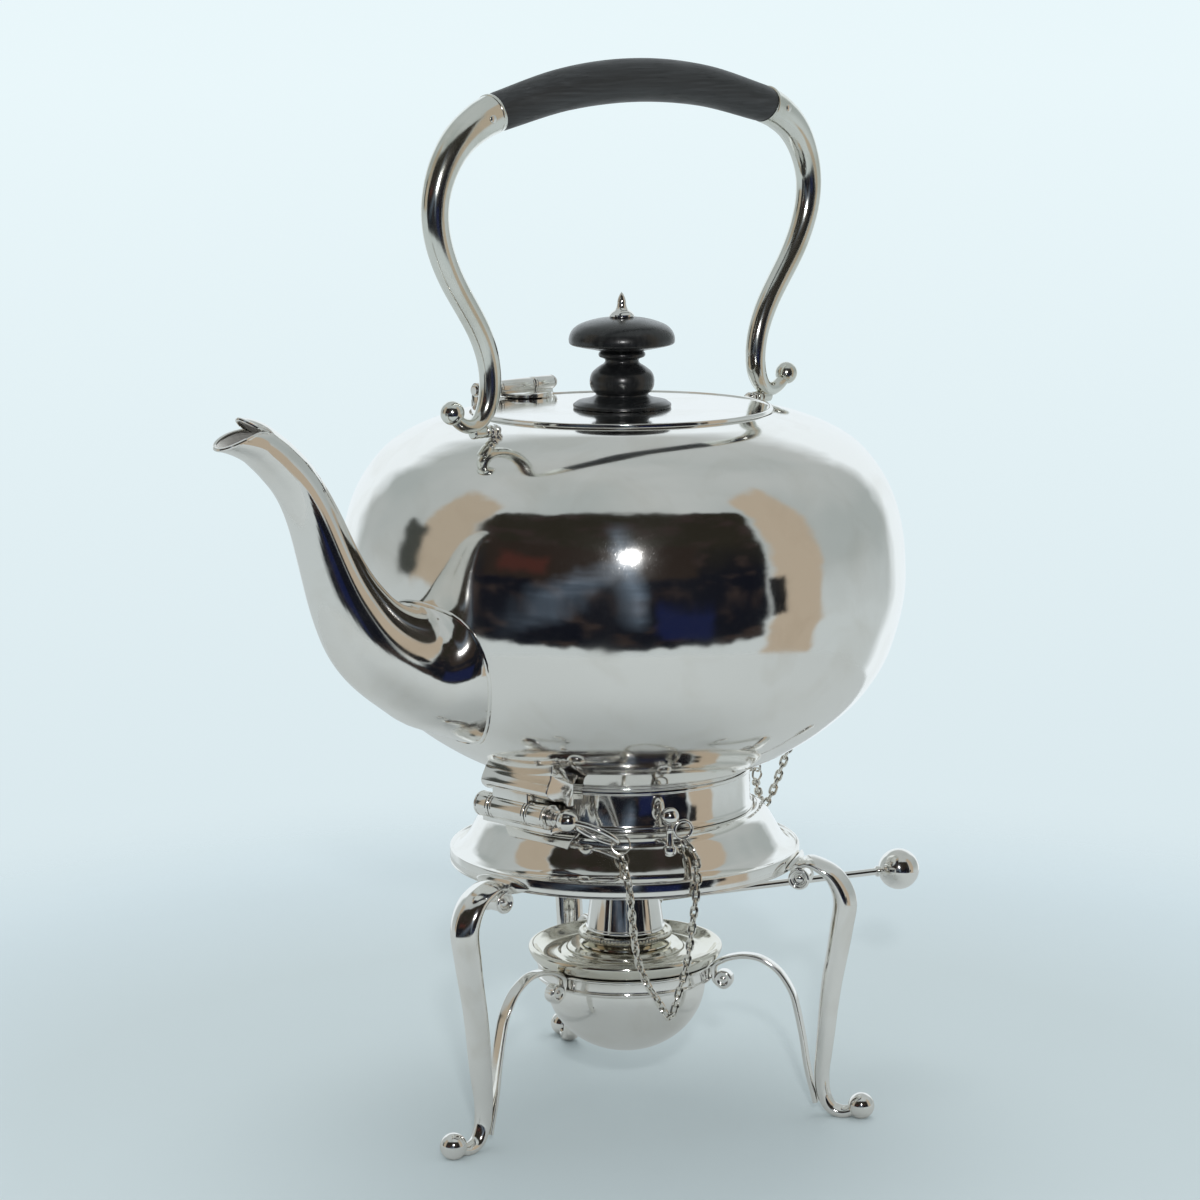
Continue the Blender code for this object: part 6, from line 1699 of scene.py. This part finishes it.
@dataclass
class Handle:
    """Swing handle: two tubular arms and an ebonised grip."""

    shop: Workshop
    axis: Vector = field(default_factory=lambda: Vector((0.0, -2.2, 234.0)))
    lean: float = math.radians(2.3)
    reach: float = 87.4
    rise: float = 98.4
    thickness: float = 6.2
    arm: list[tuple] = field(default_factory=lambda: [
        (0.893, 0.062, 0.33), (0.868, 0.040, 0.35), (0.836, 0.026, 0.37), (0.800, 0.022, 0.40),
        (0.764, 0.034, 0.44), (0.735, 0.066, 0.50), (0.716, 0.110, 0.55), (0.714, 0.180, 0.57),
        (0.738, 0.265, 0.59), (0.800, 0.360, 0.61), (0.885, 0.455, 0.63), (0.958, 0.560, 0.66),
        (1.000, 0.680, 0.69), (0.985, 0.785, 0.72), (0.935, 0.875, 0.80), (0.850, 0.952, 0.91),
        (0.722, 1.000, 1.00)])
    grip_radius: float = 7.1
    grip_rise: float = 107.4
    sides: int = 40

    def tilt(self) -> Matrix:
        """The lean of the whole handle about its axis, in metres."""
        place = Matrix.Translation(self.axis * MM)
        return place @ Matrix.Rotation(self.lean, 4, "X") @ place.inverted()

    def grip_path(self) -> Outline:
        """The grip's centre line from the left socket to the right one.

        Returns:
            Points of (reach, height).
        """
        reach, height = self.reach * self.arm[-1][0], self.axis.z + self.rise * self.arm[-1][1]
        top = self.axis.z + self.grip_rise
        slope = height + (top - height) * 3 / 4
        points = [(-reach, height), (-reach / 2, slope), (0.0, top), (reach / 2, slope), (reach, height)]
        return smooth_outline(points, 12)

    def build(self) -> None:
        """Model the arms, the grip and the rivets, and lean them."""
        for name, side in (("left", -1), ("right", 1)):
            self.one_arm(name, side)
            self.rivet(name, side)
        self.grip()

    def finish(self, piece: Object, finish: Finish, node: str) -> None:
        """Lean a piece with the handle and deliver it."""
        piece.data.transform(self.tilt())
        self.shop.deliver(piece, Body.HANDLE, finish, node)

    def socket(self, side: int) -> tuple[Vector, Vector]:
        """The centre of a socket's face and the direction into the grip.

        Args:
            side: Which way along X the socket lies, as 1 or -1.

        Returns:
            The centre and the direction.
        """
        path = self.grip_path()
        end, before = path[-1], path[-4]
        inward = Vector((before[0] - end[0], 0.0, before[1] - end[1])).normalized()
        return Vector((side * end[0], self.axis.y, end[1])), Vector((side * inward.x, 0.0, inward.z))

    def one_arm(self, name: str, side: int) -> None:
        """Tapering tube with a hooked foot and ball, a knuckle and a banded socket.

        Args:
            name: Which arm it is.
            side: Which way along X it lies, as 1 or -1.
        """
        stations = eased(smooth([Vector(row) for row in self.arm], 6), 4)
        path = [(self.reach * point[0], self.axis.z + self.rise * point[1]) for point in stations]
        radii = [self.thickness * point[2] for point in stations]
        end, inward = self.socket(side)
        tube = skinned("tube", plane_rings(path, radii, radii, circle(self.sides), 0.0 if side > 0 else math.pi))
        tube.data.transform(Matrix.Translation(ALONG_Y * self.axis.y * MM))
        knob = ball("knob", Vector((side * 78.6, self.axis.y, self.axis.z + 7.1)), 3.8, ALONG_Y)
        length = 7.0
        outline = [(0.0, 0.0), (1.7, 0.0), (2.0, 0.3), (2.0, 1.4), (1.7, 1.7), (1.7, 2.2), (2.0, 2.5),
                   (2.0, length - 0.4), (1.6, length), (0.0, length)]
        knuckle = bar("knuckle", outline, self.axis + ALONG_X * side * 63.1, ALONG_X * side, FINE_STEPS, 0.2)
        radius = self.thickness
        band = bar("band", [(0.0, -1.6), (radius - 0.4, -1.6), (radius + 0.1, -1.3), (radius + 0.1, -0.5),
                            (radius, -0.15), (radius - 0.6, 0.0), (0.0, 0.0)], end, inward, 64, 0.25)
        self.finish(joined("arm_" + name, [tube, knob, knuckle, band]), Finish.ARM, "handle_arm_" + name)

    def rivet(self, name: str, side: int) -> None:
        """Rivet through a socket and its tenon, with a low domed head at each face.

        Args:
            name: Which rivet it is.
            side: Which way along X it lies, as 1 or -1.
        """
        end, inward = self.socket(side)
        centre = end - inward * 5.6
        half = self.thickness * 0.955
        parts = [bar("shaft", [(0.0, -half), (1.1, -half), (1.1, half), (0.0, half)], centre, ALONG_Y, 32, 0.1)]
        for face in (-1, 1):
            parts.append(bar(f"head{face}", [(0.0, 0.0), (1.3, 0.0), (1.2, 0.2), (0.7, 0.38), (0.0, 0.42)],
                             centre + ALONG_Y * face * half, ALONG_Y * face, 32, 0.2))
        self.finish(joined("rivet_" + name, parts), Finish.CAST, "grip_rivet_" + name)

    def grip(self) -> None:
        """Bowed grip that swells towards its middle, with a tenon at each end."""
        path = self.grip_path()
        last = len(path) - 1
        radii = [self.grip_radius * (0.87 + 0.13 * math.sin(math.pi * index / last)) for index in range(last + 1)]
        radii[0], radii[-1] = radii[0] - 0.25, radii[-1] - 0.25
        section = [(u * 0.98, v * 1.0) for u, v in circle(self.sides)]
        shell = skinned("shell", plane_rings(path, radii, radii, section))
        shell.data.transform(Matrix.Translation(ALONG_Y * self.axis.y * MM))
        parts = [shell]
        for side in (-1, 1):
            end, inward = self.socket(side)
            parts.append(bar(f"tenon{side}", [(0.0, -3.0), (3.6, -3.0), (3.6, 11.0), (0.0, 11.0)], end, -inward, 32))
        self.finish(joined("grip_bowed", parts), Finish.GRIP, "handle_grip")


# ---- the burner ----


@dataclass
class Burner:
    """Spirit burner: bowl, dish, collar, wick and the sleeve with its lever."""

    shop: Workshop
    bowl_radius: float = 26.8
    bowl_bottom: float = 19.2
    bowl_straight: float = 43.0
    dish_radius: float = 32.5
    dish_bottom: float = 50.5
    dish_top: float = 55.6
    dish: Outline = field(default_factory=lambda: [
        (0.90, 0.0), (0.955, 0.20), (0.985, 0.50), (1.0, 0.80), (0.985, 1.0), (0.950, 1.02), (0.905, 0.72),
        (0.860, 0.50), (0.820, 0.42), (0.740, 0.40), (0.690, 0.44), (0.660, 0.62), (0.610, 0.70), (0.600, 0.86),
        (0.560, 1.04)])
    knurl_radius: float = 15.7
    knurl_top: float = 60.6
    ribs: int = 84
    lever_azimuth: float = math.radians(-22.3)
    lever_height: float = 69.6

    def build(self) -> None:
        """Model the burner's pieces."""
        self.bowl()
        self.top_dish()
        self.knurled()
        self.tube()
        self.wick()
        self.sleeve()
        self.lever()

    def bowl(self) -> None:
        """Round-bottomed bowl with a fine seam line."""
        depth = self.bowl_straight - self.bowl_bottom
        outer, inner = [], []
        for step in range(25):
            angle = math.pi / 2 * step / 24
            outer.append((self.bowl_radius * math.sin(angle), self.bowl_straight - depth * math.cos(angle)))
            inner.append(((self.bowl_radius - 1.0) * math.sin(angle),
                          self.bowl_straight - (depth - 1.0) * math.cos(angle)))
        top = self.dish_bottom - 0.2
        outline = outer + [(self.bowl_radius, 43.6), (self.bowl_radius + 0.25, 43.9), (self.bowl_radius, 44.2),
                           (self.bowl_radius, top), (self.bowl_radius - 1.0, top)] + list(reversed(inner))
        self.shop.deliver(turned("spirit_bowl", outline), Body.BURNER, Finish.SPUN, "burner_bowl")

    def top_dish(self) -> None:
        """Dish with a rolled rim, stepped rings and a raised hub."""
        rise = self.dish_top - self.dish_bottom
        top = smooth_outline([(self.dish_radius * x, self.dish_bottom + rise * z) for x, z in self.dish], 4)
        hub = top[-1][1]
        outline = top + [(7.3, hub), (7.3, hub - 1.2), (16.0, hub - 1.2), (18.4, self.dish_bottom)]
        self.shop.deliver(turned("burner_top", outline), Body.BURNER, Finish.DISH, "burner_dish")

    def knurled(self) -> None:
        """Collar with a ring of small ribs between two plain beads."""
        low = self.dish_bottom + (self.dish_top - self.dish_bottom) * 1.04 + 0.1
        radius = self.knurl_radius
        rings = []
        heights = [(low, 7.3, False), (low, radius - 0.7, False), (low + 0.3, radius - 0.3, False),
                   (low + 0.7, radius - 0.4, False), (low + 1.0, radius - 1.6, False), (low + 1.5, radius - 2.4, False),
                   (low + 2.1, radius - 2.3, False), (low + 2.5, radius - 1.2, False),
                   (low + 2.7, radius - 0.1, True), (self.knurl_top - 0.9, radius, True),
                   (self.knurl_top - 0.7, radius - 0.25, False), (self.knurl_top - 0.3, radius - 0.3, False),
                   (self.knurl_top, radius - 0.7, False), (self.knurl_top - 0.1, radius - 1.4, False),
                   (self.knurl_top - 0.6, radius - 1.6, False), (self.knurl_top - 0.6, 7.3, False)]
        sides = 4 * self.ribs
        for height, reach, ribbed in heights:
            ring = []
            for side in range(sides):
                depth = 0.28 * (0.5 + 0.5 * math.cos(math.pi * side / 2)) if ribbed else 0.0
                ring.append(polar(reach - depth, 2 * math.pi * side / sides, height))
            rings.append(ring)
        self.shop.deliver(skinned("ribbed_collar", rings, True), Body.BURNER, Finish.DISH, "knurled_collar")

    def tube(self) -> None:
        """Tube that holds the wick."""
        outline = filleted([(6.0, 25.0), (7.0, 25.0), (7.0, 72.4), (7.2, 72.7), (6.9, 73.0), (6.0, 73.0),
                            (6.0, 25.0)], 0.25)[:-1]
        self.shop.deliver(turned("wick_holder", outline, 64), Body.BURNER, Finish.SPUN, "wick_tube")

    def wick(self) -> None:
        """Plaited round wick with a loose top."""
        rings = []
        for step in range(91):
            height = 21.5 + 55.0 * step / 90
            top = max(0.0, (step - 84) / 6)
            reach = 5.35 * (1 - 0.45 * top ** 2)
            ring = []
            for side in range(48):
                angle = 2 * math.pi * side / 48
                left = math.sin(6 * angle + height * 1.35)
                right = math.sin(6 * angle - height * 1.35)
                ring.append(polar(reach + 0.22 * max(left, right) * (1 - top), angle,
                                  height + 0.5 * top * math.sin(5 * angle)))
            rings.append(ring)
        self.shop.deliver(skinned("plaited_wick", rings), Body.WICK, Finish.COTTON, "wick", angle=math.radians(60))

    def sleeve(self) -> None:
        """Open cone with a rolled top edge and a floor ring."""
        outline = filleted([(7.35, 61.0), (13.3, 61.0), (13.2, 62.0), (12.9, 62.3), (10.95, 77.0), (11.15, 77.4),
                            (10.9, 78.0), (10.0, 78.0), (12.2, 62.2), (7.35, 62.2), (7.35, 61.0)], 0.3)[:-1]
        self.shop.deliver(turned("cone_sleeve", outline), Body.REGULATOR, Finish.SPUN, "flame_sleeve")

    def lever(self) -> None:
        """Rod from the sleeve, and the ball at its end."""
        run = polar(1.0, self.lever_azimuth)
        start = run * 11.9 + UP * self.lever_height
        length = 104.0 - 7.1 - 11.9
        outline = [(0.0, 0.0), (2.1, 0.0), (2.1, 0.9), (1.25, 1.5), (1.2, length - 2.0), (1.9, length - 1.6),
                   (1.9, length - 0.8), (1.3, length - 0.3), (1.3, length + 0.4), (0.0, length + 0.4)]
        self.shop.deliver(bar("lever_bar", outline, start, run, 32, 0.3), Body.REGULATOR, Finish.TUBE, "lever_rod")
        centre = run * 104.0 + UP * self.lever_height
        knob = ball("lever_knob", centre, 7.1, run, 0.998)
        self.shop.deliver(knob, Body.REGULATOR, Finish.SPUN, "lever_ball")


# ---- studio ----


@dataclass
class Studio:
    """Camera, pale floor, soft lamps and the white tent that the silver reflects."""

    target: Vector = field(default_factory=lambda: Vector((0.0, 0.0, 0.160)))
    distance: float = 1.12533
    elevation: float = math.radians(10.39)
    roll: float = math.radians(-0.33)
    lens: float = 102.245
    shift: tuple = (-0.01963, 0.03008)

    def build(self) -> None:
        """Set up the view, the floor and the light."""
        scene = bpy.context.scene
        scene.view_settings.view_transform = "Standard"
        self.camera(scene)
        self.floor()
        self.world(scene)
        self.lamps()

    def camera(self, scene: Scene) -> None:
        """The camera at the photograph's angle.

        Args:
            scene: The scene that gets the camera.
        """
        data = bpy.data.cameras.new("camera")
        data.lens, data.sensor_width = self.lens, 36.0
        data.shift_x, data.shift_y = self.shift
        data.clip_start, data.clip_end = 0.05, 50.0
        item = bpy.data.objects.new("camera", data)
        scene.collection.objects.link(item)
        back = TOWARDS_VIEWER * math.cos(self.elevation) + UP * math.sin(self.elevation)
        item.location = self.target + back * self.distance
        item.rotation_mode = "QUATERNION"
        item.rotation_quaternion = (-back).to_track_quat("-Z", "Y") @ Quaternion((0.0, 0.0, 1.0), self.roll)
        scene.camera = item

    def floor(self) -> None:
        """A pale floor that fades into the tent away from the object, with painted light falloff: darker near the
        object, lighter further out.
        """
        select_only()
        bpy.ops.mesh.primitive_circle_add(vertices=96, radius=2.4, fill_type="NGON")
        floor = bpy.context.object
        floor.name = "floor"
        material = bpy.data.materials.new("pale_floor")
        material.use_nodes = True
        tree = Tree(material.node_tree)
        nodes = material.node_tree.nodes
        nodes.remove(nodes["Principled BSDF"])
        place = tree.put("ShaderNodeTexCoord").outputs["Object"]
        reach = tree.put("ShaderNodeVectorMath", {0: place}, operation="LENGTH").outputs["Value"]
        glossy = tree.put("ShaderNodeLightPath").outputs["Is Glossy Ray"]
        soft = tree.put("ShaderNodeMapRange", {"Value": reach, "From Min": 0.26, "From Max": 0.50},
                        interpolation_type="SMOOTHERSTEP").outputs["Result"]
        sharp = tree.spread(reach, 0.35, 0.37)
        fade = tree.math("ADD", tree.math("MULTIPLY", glossy, sharp),
                         tree.math("MULTIPLY", tree.math("SUBTRACT", 1.0, glossy), soft))
        weave = tree.spread(tree.noise(place, 5.0, 3.0), 0.3, 0.7, -0.06, 0.06)
        # Painted light falloff: the floor's colour is darker near the object and lighter from 0.20 m to 0.36 m out,
        # with a random weave on top.
        near = tree.math("ADD", tree.spread(reach, 0.20, 0.36), weave)
        floor_tone_with_painted_falloff = tree.blend(near, (0.69, 0.78, 0.805, 1.0), (0.77, 0.88, 0.93, 1.0))
        # Painted shade: reflections see the floor as a darker grey than the camera does.
        sheet = tree.put("ShaderNodeBsdfDiffuse", {"Color": tree.blend(glossy, floor_tone_with_painted_falloff, (0.63, 0.66, 0.66, 1.0))})
        clear = tree.put("ShaderNodeBsdfTransparent")
        mixed = tree.put("ShaderNodeMixShader", {0: fade, 1: sheet.outputs[0], 2: clear.outputs[0]})
        material.node_tree.links.new(mixed.outputs[0], nodes["Material Output"].inputs["Surface"])
        floor.data.materials.append(material)

    def world(self, scene: Scene) -> None:
        """Pale tent with an opening to a dark room on the viewer's side, and card at both edges.

        Args:
            scene: The scene that gets the world.
        """
        world = bpy.data.worlds.new("tent")
        scene.world = world
        world.use_nodes = True
        tree = Tree(world.node_tree)
        nodes = world.node_tree.nodes
        out = nodes["World Output"]
        nodes.remove(nodes["Background"])
        place = tree.put("ShaderNodeTexCoord").outputs["Generated"]
        forward, right = (tree.put("ShaderNodeVectorMath", {0: place, 1: way}, operation="DOT_PRODUCT").outputs["Value"]
                          for way in (TOWARDS_VIEWER, VIEWER_RIGHT))
        height = tree.put("ShaderNodeSeparateXYZ", {"Vector": place}).outputs["Z"]
        ragged = tree.math("MULTIPLY", tree.math("SUBTRACT", tree.noise(place, 7.0, 3.0), 0.5), 9.0)
        azimuth = tree.math("ADD", tree.math("DEGREES", tree.math("ARCTAN2", right, forward)), ragged)
        elevation = tree.math("SUBTRACT", tree.math("DEGREES", tree.math("ARCSINE", height)), ragged)

        def window(left: float, far: float, low: float, high: float, soft: float = 1.5) -> NodeSocket:
            """One inside a box of directions in degrees, nothing outside."""
            sides = [tree.spread(azimuth, left - soft, left + soft), tree.spread(azimuth, far + soft, far - soft),
                     tree.spread(elevation, low - soft, low + soft), tree.spread(elevation, high + soft, high - soft)]
            return tree.math("MULTIPLY", tree.math("MULTIPLY", sides[0], sides[1]),
                             tree.math("MULTIPLY", sides[2], sides[3]))

        tent = tree.blend(tree.spread(tree.noise(place, 1.6, 2.0), 0.35, 0.7), (0.46, 0.49, 0.49, 1.0),
                          (0.37, 0.41, 0.41, 1.0))
        below = tree.spread(elevation, 2.0, -14.0)
        tent = tree.blend(below, tent, (0.52, 0.57, 0.58, 1.0))
        tent = tree.blend(window(140.0, 185.0, -30.0, 34.0, 5.0), tent, (0.86, 0.93, 0.97, 1.0))
        tent = tree.blend(window(-185.0, -138.0, -12.0, 34.0, 5.0), tent, (0.86, 0.93, 0.97, 1.0))
        tent = tree.blend(window(62.0, 87.0, -34.0, 52.0), tent, (0.43, 0.365, 0.285, 1.0))
        tent = tree.blend(window(60.0, 68.0, -9.0, 1.0, 1.0), tent, (0.012, 0.012, 0.013, 1.0))
        tent = tree.blend(window(-95.0, -67.0, -4.0, 47.0), tent, (0.40, 0.345, 0.27, 1.0))
        tent = tree.blend(window(-103.0, -91.0, -2.0, 20.0), tent, (0.05, 0.055, 0.05, 1.0))
        room = tree.blend(tree.spread(elevation, 24.0, 6.0), (0.020, 0.018, 0.013, 1.0), (0.005, 0.006, 0.010, 1.0))
        shapes = tree.spread(tree.noise(tree.stretched(place, (5.0, 5.0, 9.0)), 1.0, 2.0), 0.52, 0.66)
        room = tree.blend(shapes, room, (0.030, 0.022, 0.020, 1.0))
        square = tree.math("MULTIPLY", azimuth, azimuth)
        bowed = tree.math("ADD", elevation, tree.math("MULTIPLY", square, 0.0026))
        sagged = tree.math("SUBTRACT", elevation, tree.math("MULTIPLY", square, 0.0018))
        opening = tree.math("MULTIPLY", tree.spread(azimuth, -67.0, -64.5), tree.spread(azimuth, 60.0, 57.5))
        opening = tree.math("MULTIPLY", opening, tree.spread(bowed, 53.0, 51.0))
        opening = tree.math("MULTIPLY", opening, tree.spread(sagged, -30.0, -28.0))
        tent = tree.blend(opening, tent, room)
        tent = tree.blend(window(-58.0, 30.0, 5.0, 24.0), tent, (0.022, 0.016, 0.013, 1.0))
        tent = tree.blend(window(-52.0, -30.0, 9.0, 17.0, 2.0), tent, (0.055, 0.020, 0.016, 1.0))
        tent = tree.blend(window(14.0, 36.0, -22.0, -6.0), tent, (0.008, 0.012, 0.045, 1.0))
        # Painted highlight: a bluish glare fanned into streaks, in the tent and so seen only in reflections, stands in
        # for the streaks that polish marks draw round the front lamp's highlight.
        beside = tree.math("ABSOLUTE", tree.math("SUBTRACT", azimuth, tree.spread(elevation, 40.0, -16.0, -3.0, 6.0)))
        upright = tree.math("MULTIPLY", tree.spread(elevation, 46.0, 16.0), tree.spread(elevation, -18.0, 12.0))
        glare = tree.math("MULTIPLY", tree.spread(beside, 7.0, 0.0), upright)
        slope = tree.math("ADD", tree.math("MULTIPLY", azimuth, 0.55), 13.0)
        aside = tree.math("ABSOLUTE", tree.math("SUBTRACT", elevation, slope))
        fan = tree.math("MULTIPLY", tree.spread(aside, 10.0, 0.0),
                        tree.math("MULTIPLY", tree.spread(azimuth, -56.0, -12.0), tree.spread(azimuth, 3.0, -3.0)))
        # Streak noise of the painted glare, not a mark on any surface.
        polish = tree.noise(tree.stretched(place, (3.0, 3.0, 70.0)), 1.0, 3.0)
        painted_glare_streaks = tree.spread(polish, 0.30, 0.75, 0.3, 1.0)
        glare = tree.math("MULTIPLY", tree.math("MAXIMUM", glare, tree.math("MULTIPLY", fan, 0.55)), painted_glare_streaks)
        glare = tree.math("MULTIPLY", tree.math("MULTIPLY", glare, opening), 0.55)
        tent = tree.blend(glare, tent, (0.50, 0.66, 0.86, 1.0))
        # Backdrop seen by the camera, painted darker towards the bottom as painted light falloff.
        backdrop_painted_falloff = tree.blend(tree.spread(height, -0.02, -0.26), (0.82, 0.93, 0.96, 1.0), (0.69, 0.80, 0.84, 1.0))
        rays = tree.put("ShaderNodeLightPath").outputs
        seen = tree.math("MAXIMUM", rays["Is Camera Ray"], rays["Is Transmission Ray"])
        plain = tree.blend(rays["Is Glossy Ray"], (0.58, 0.61, 0.62, 1.0), tent)
        colour = tree.blend(seen, plain, backdrop_painted_falloff)
        background = tree.put("ShaderNodeBackground", {"Color": colour, "Strength": 1.0})
        world.node_tree.links.new(background.outputs[0], out.inputs["Surface"])

    def lamps(self) -> None:
        """A small lamp over the camera and a large soft one overhead."""
        for name, spot, size, power in (
                ("lamp_front", TOWARDS_VIEWER * 1.30 + VIEWER_RIGHT * 0.05 + UP * 0.62, 0.07, 4.2),
                ("lamp_top", -TOWARDS_VIEWER * 0.45 + UP * 1.50, 0.90, 4.5)):
            data = bpy.data.lights.new(name, "AREA")
            data.shape, data.size, data.energy = "DISK", size, power
            item = bpy.data.objects.new(name, data)
            bpy.context.scene.collection.objects.link(item)
            item.location = spot
            item.visible_glossy = name == "lamp_front"
            item.rotation_euler = (self.target - spot).to_track_quat("-Z", "Y").to_euler()


def main() -> None:
    """Build the studio and the kettle, piece by piece."""
    logging.basicConfig(level=logging.INFO, format="%(name)s %(message)s")
    shop = Workshop()
    Studio().build()
    Stand(shop).build()
    hinge = Hinge(shop)
    hinge.build()
    LoosePins(shop, Chain(), hinge).build()
    Kettle(shop).build()
    Lid(shop).build()
    Handle(shop).build()
    Burner(shop).build()
    select_only()


if __name__ == "__main__":
    main()
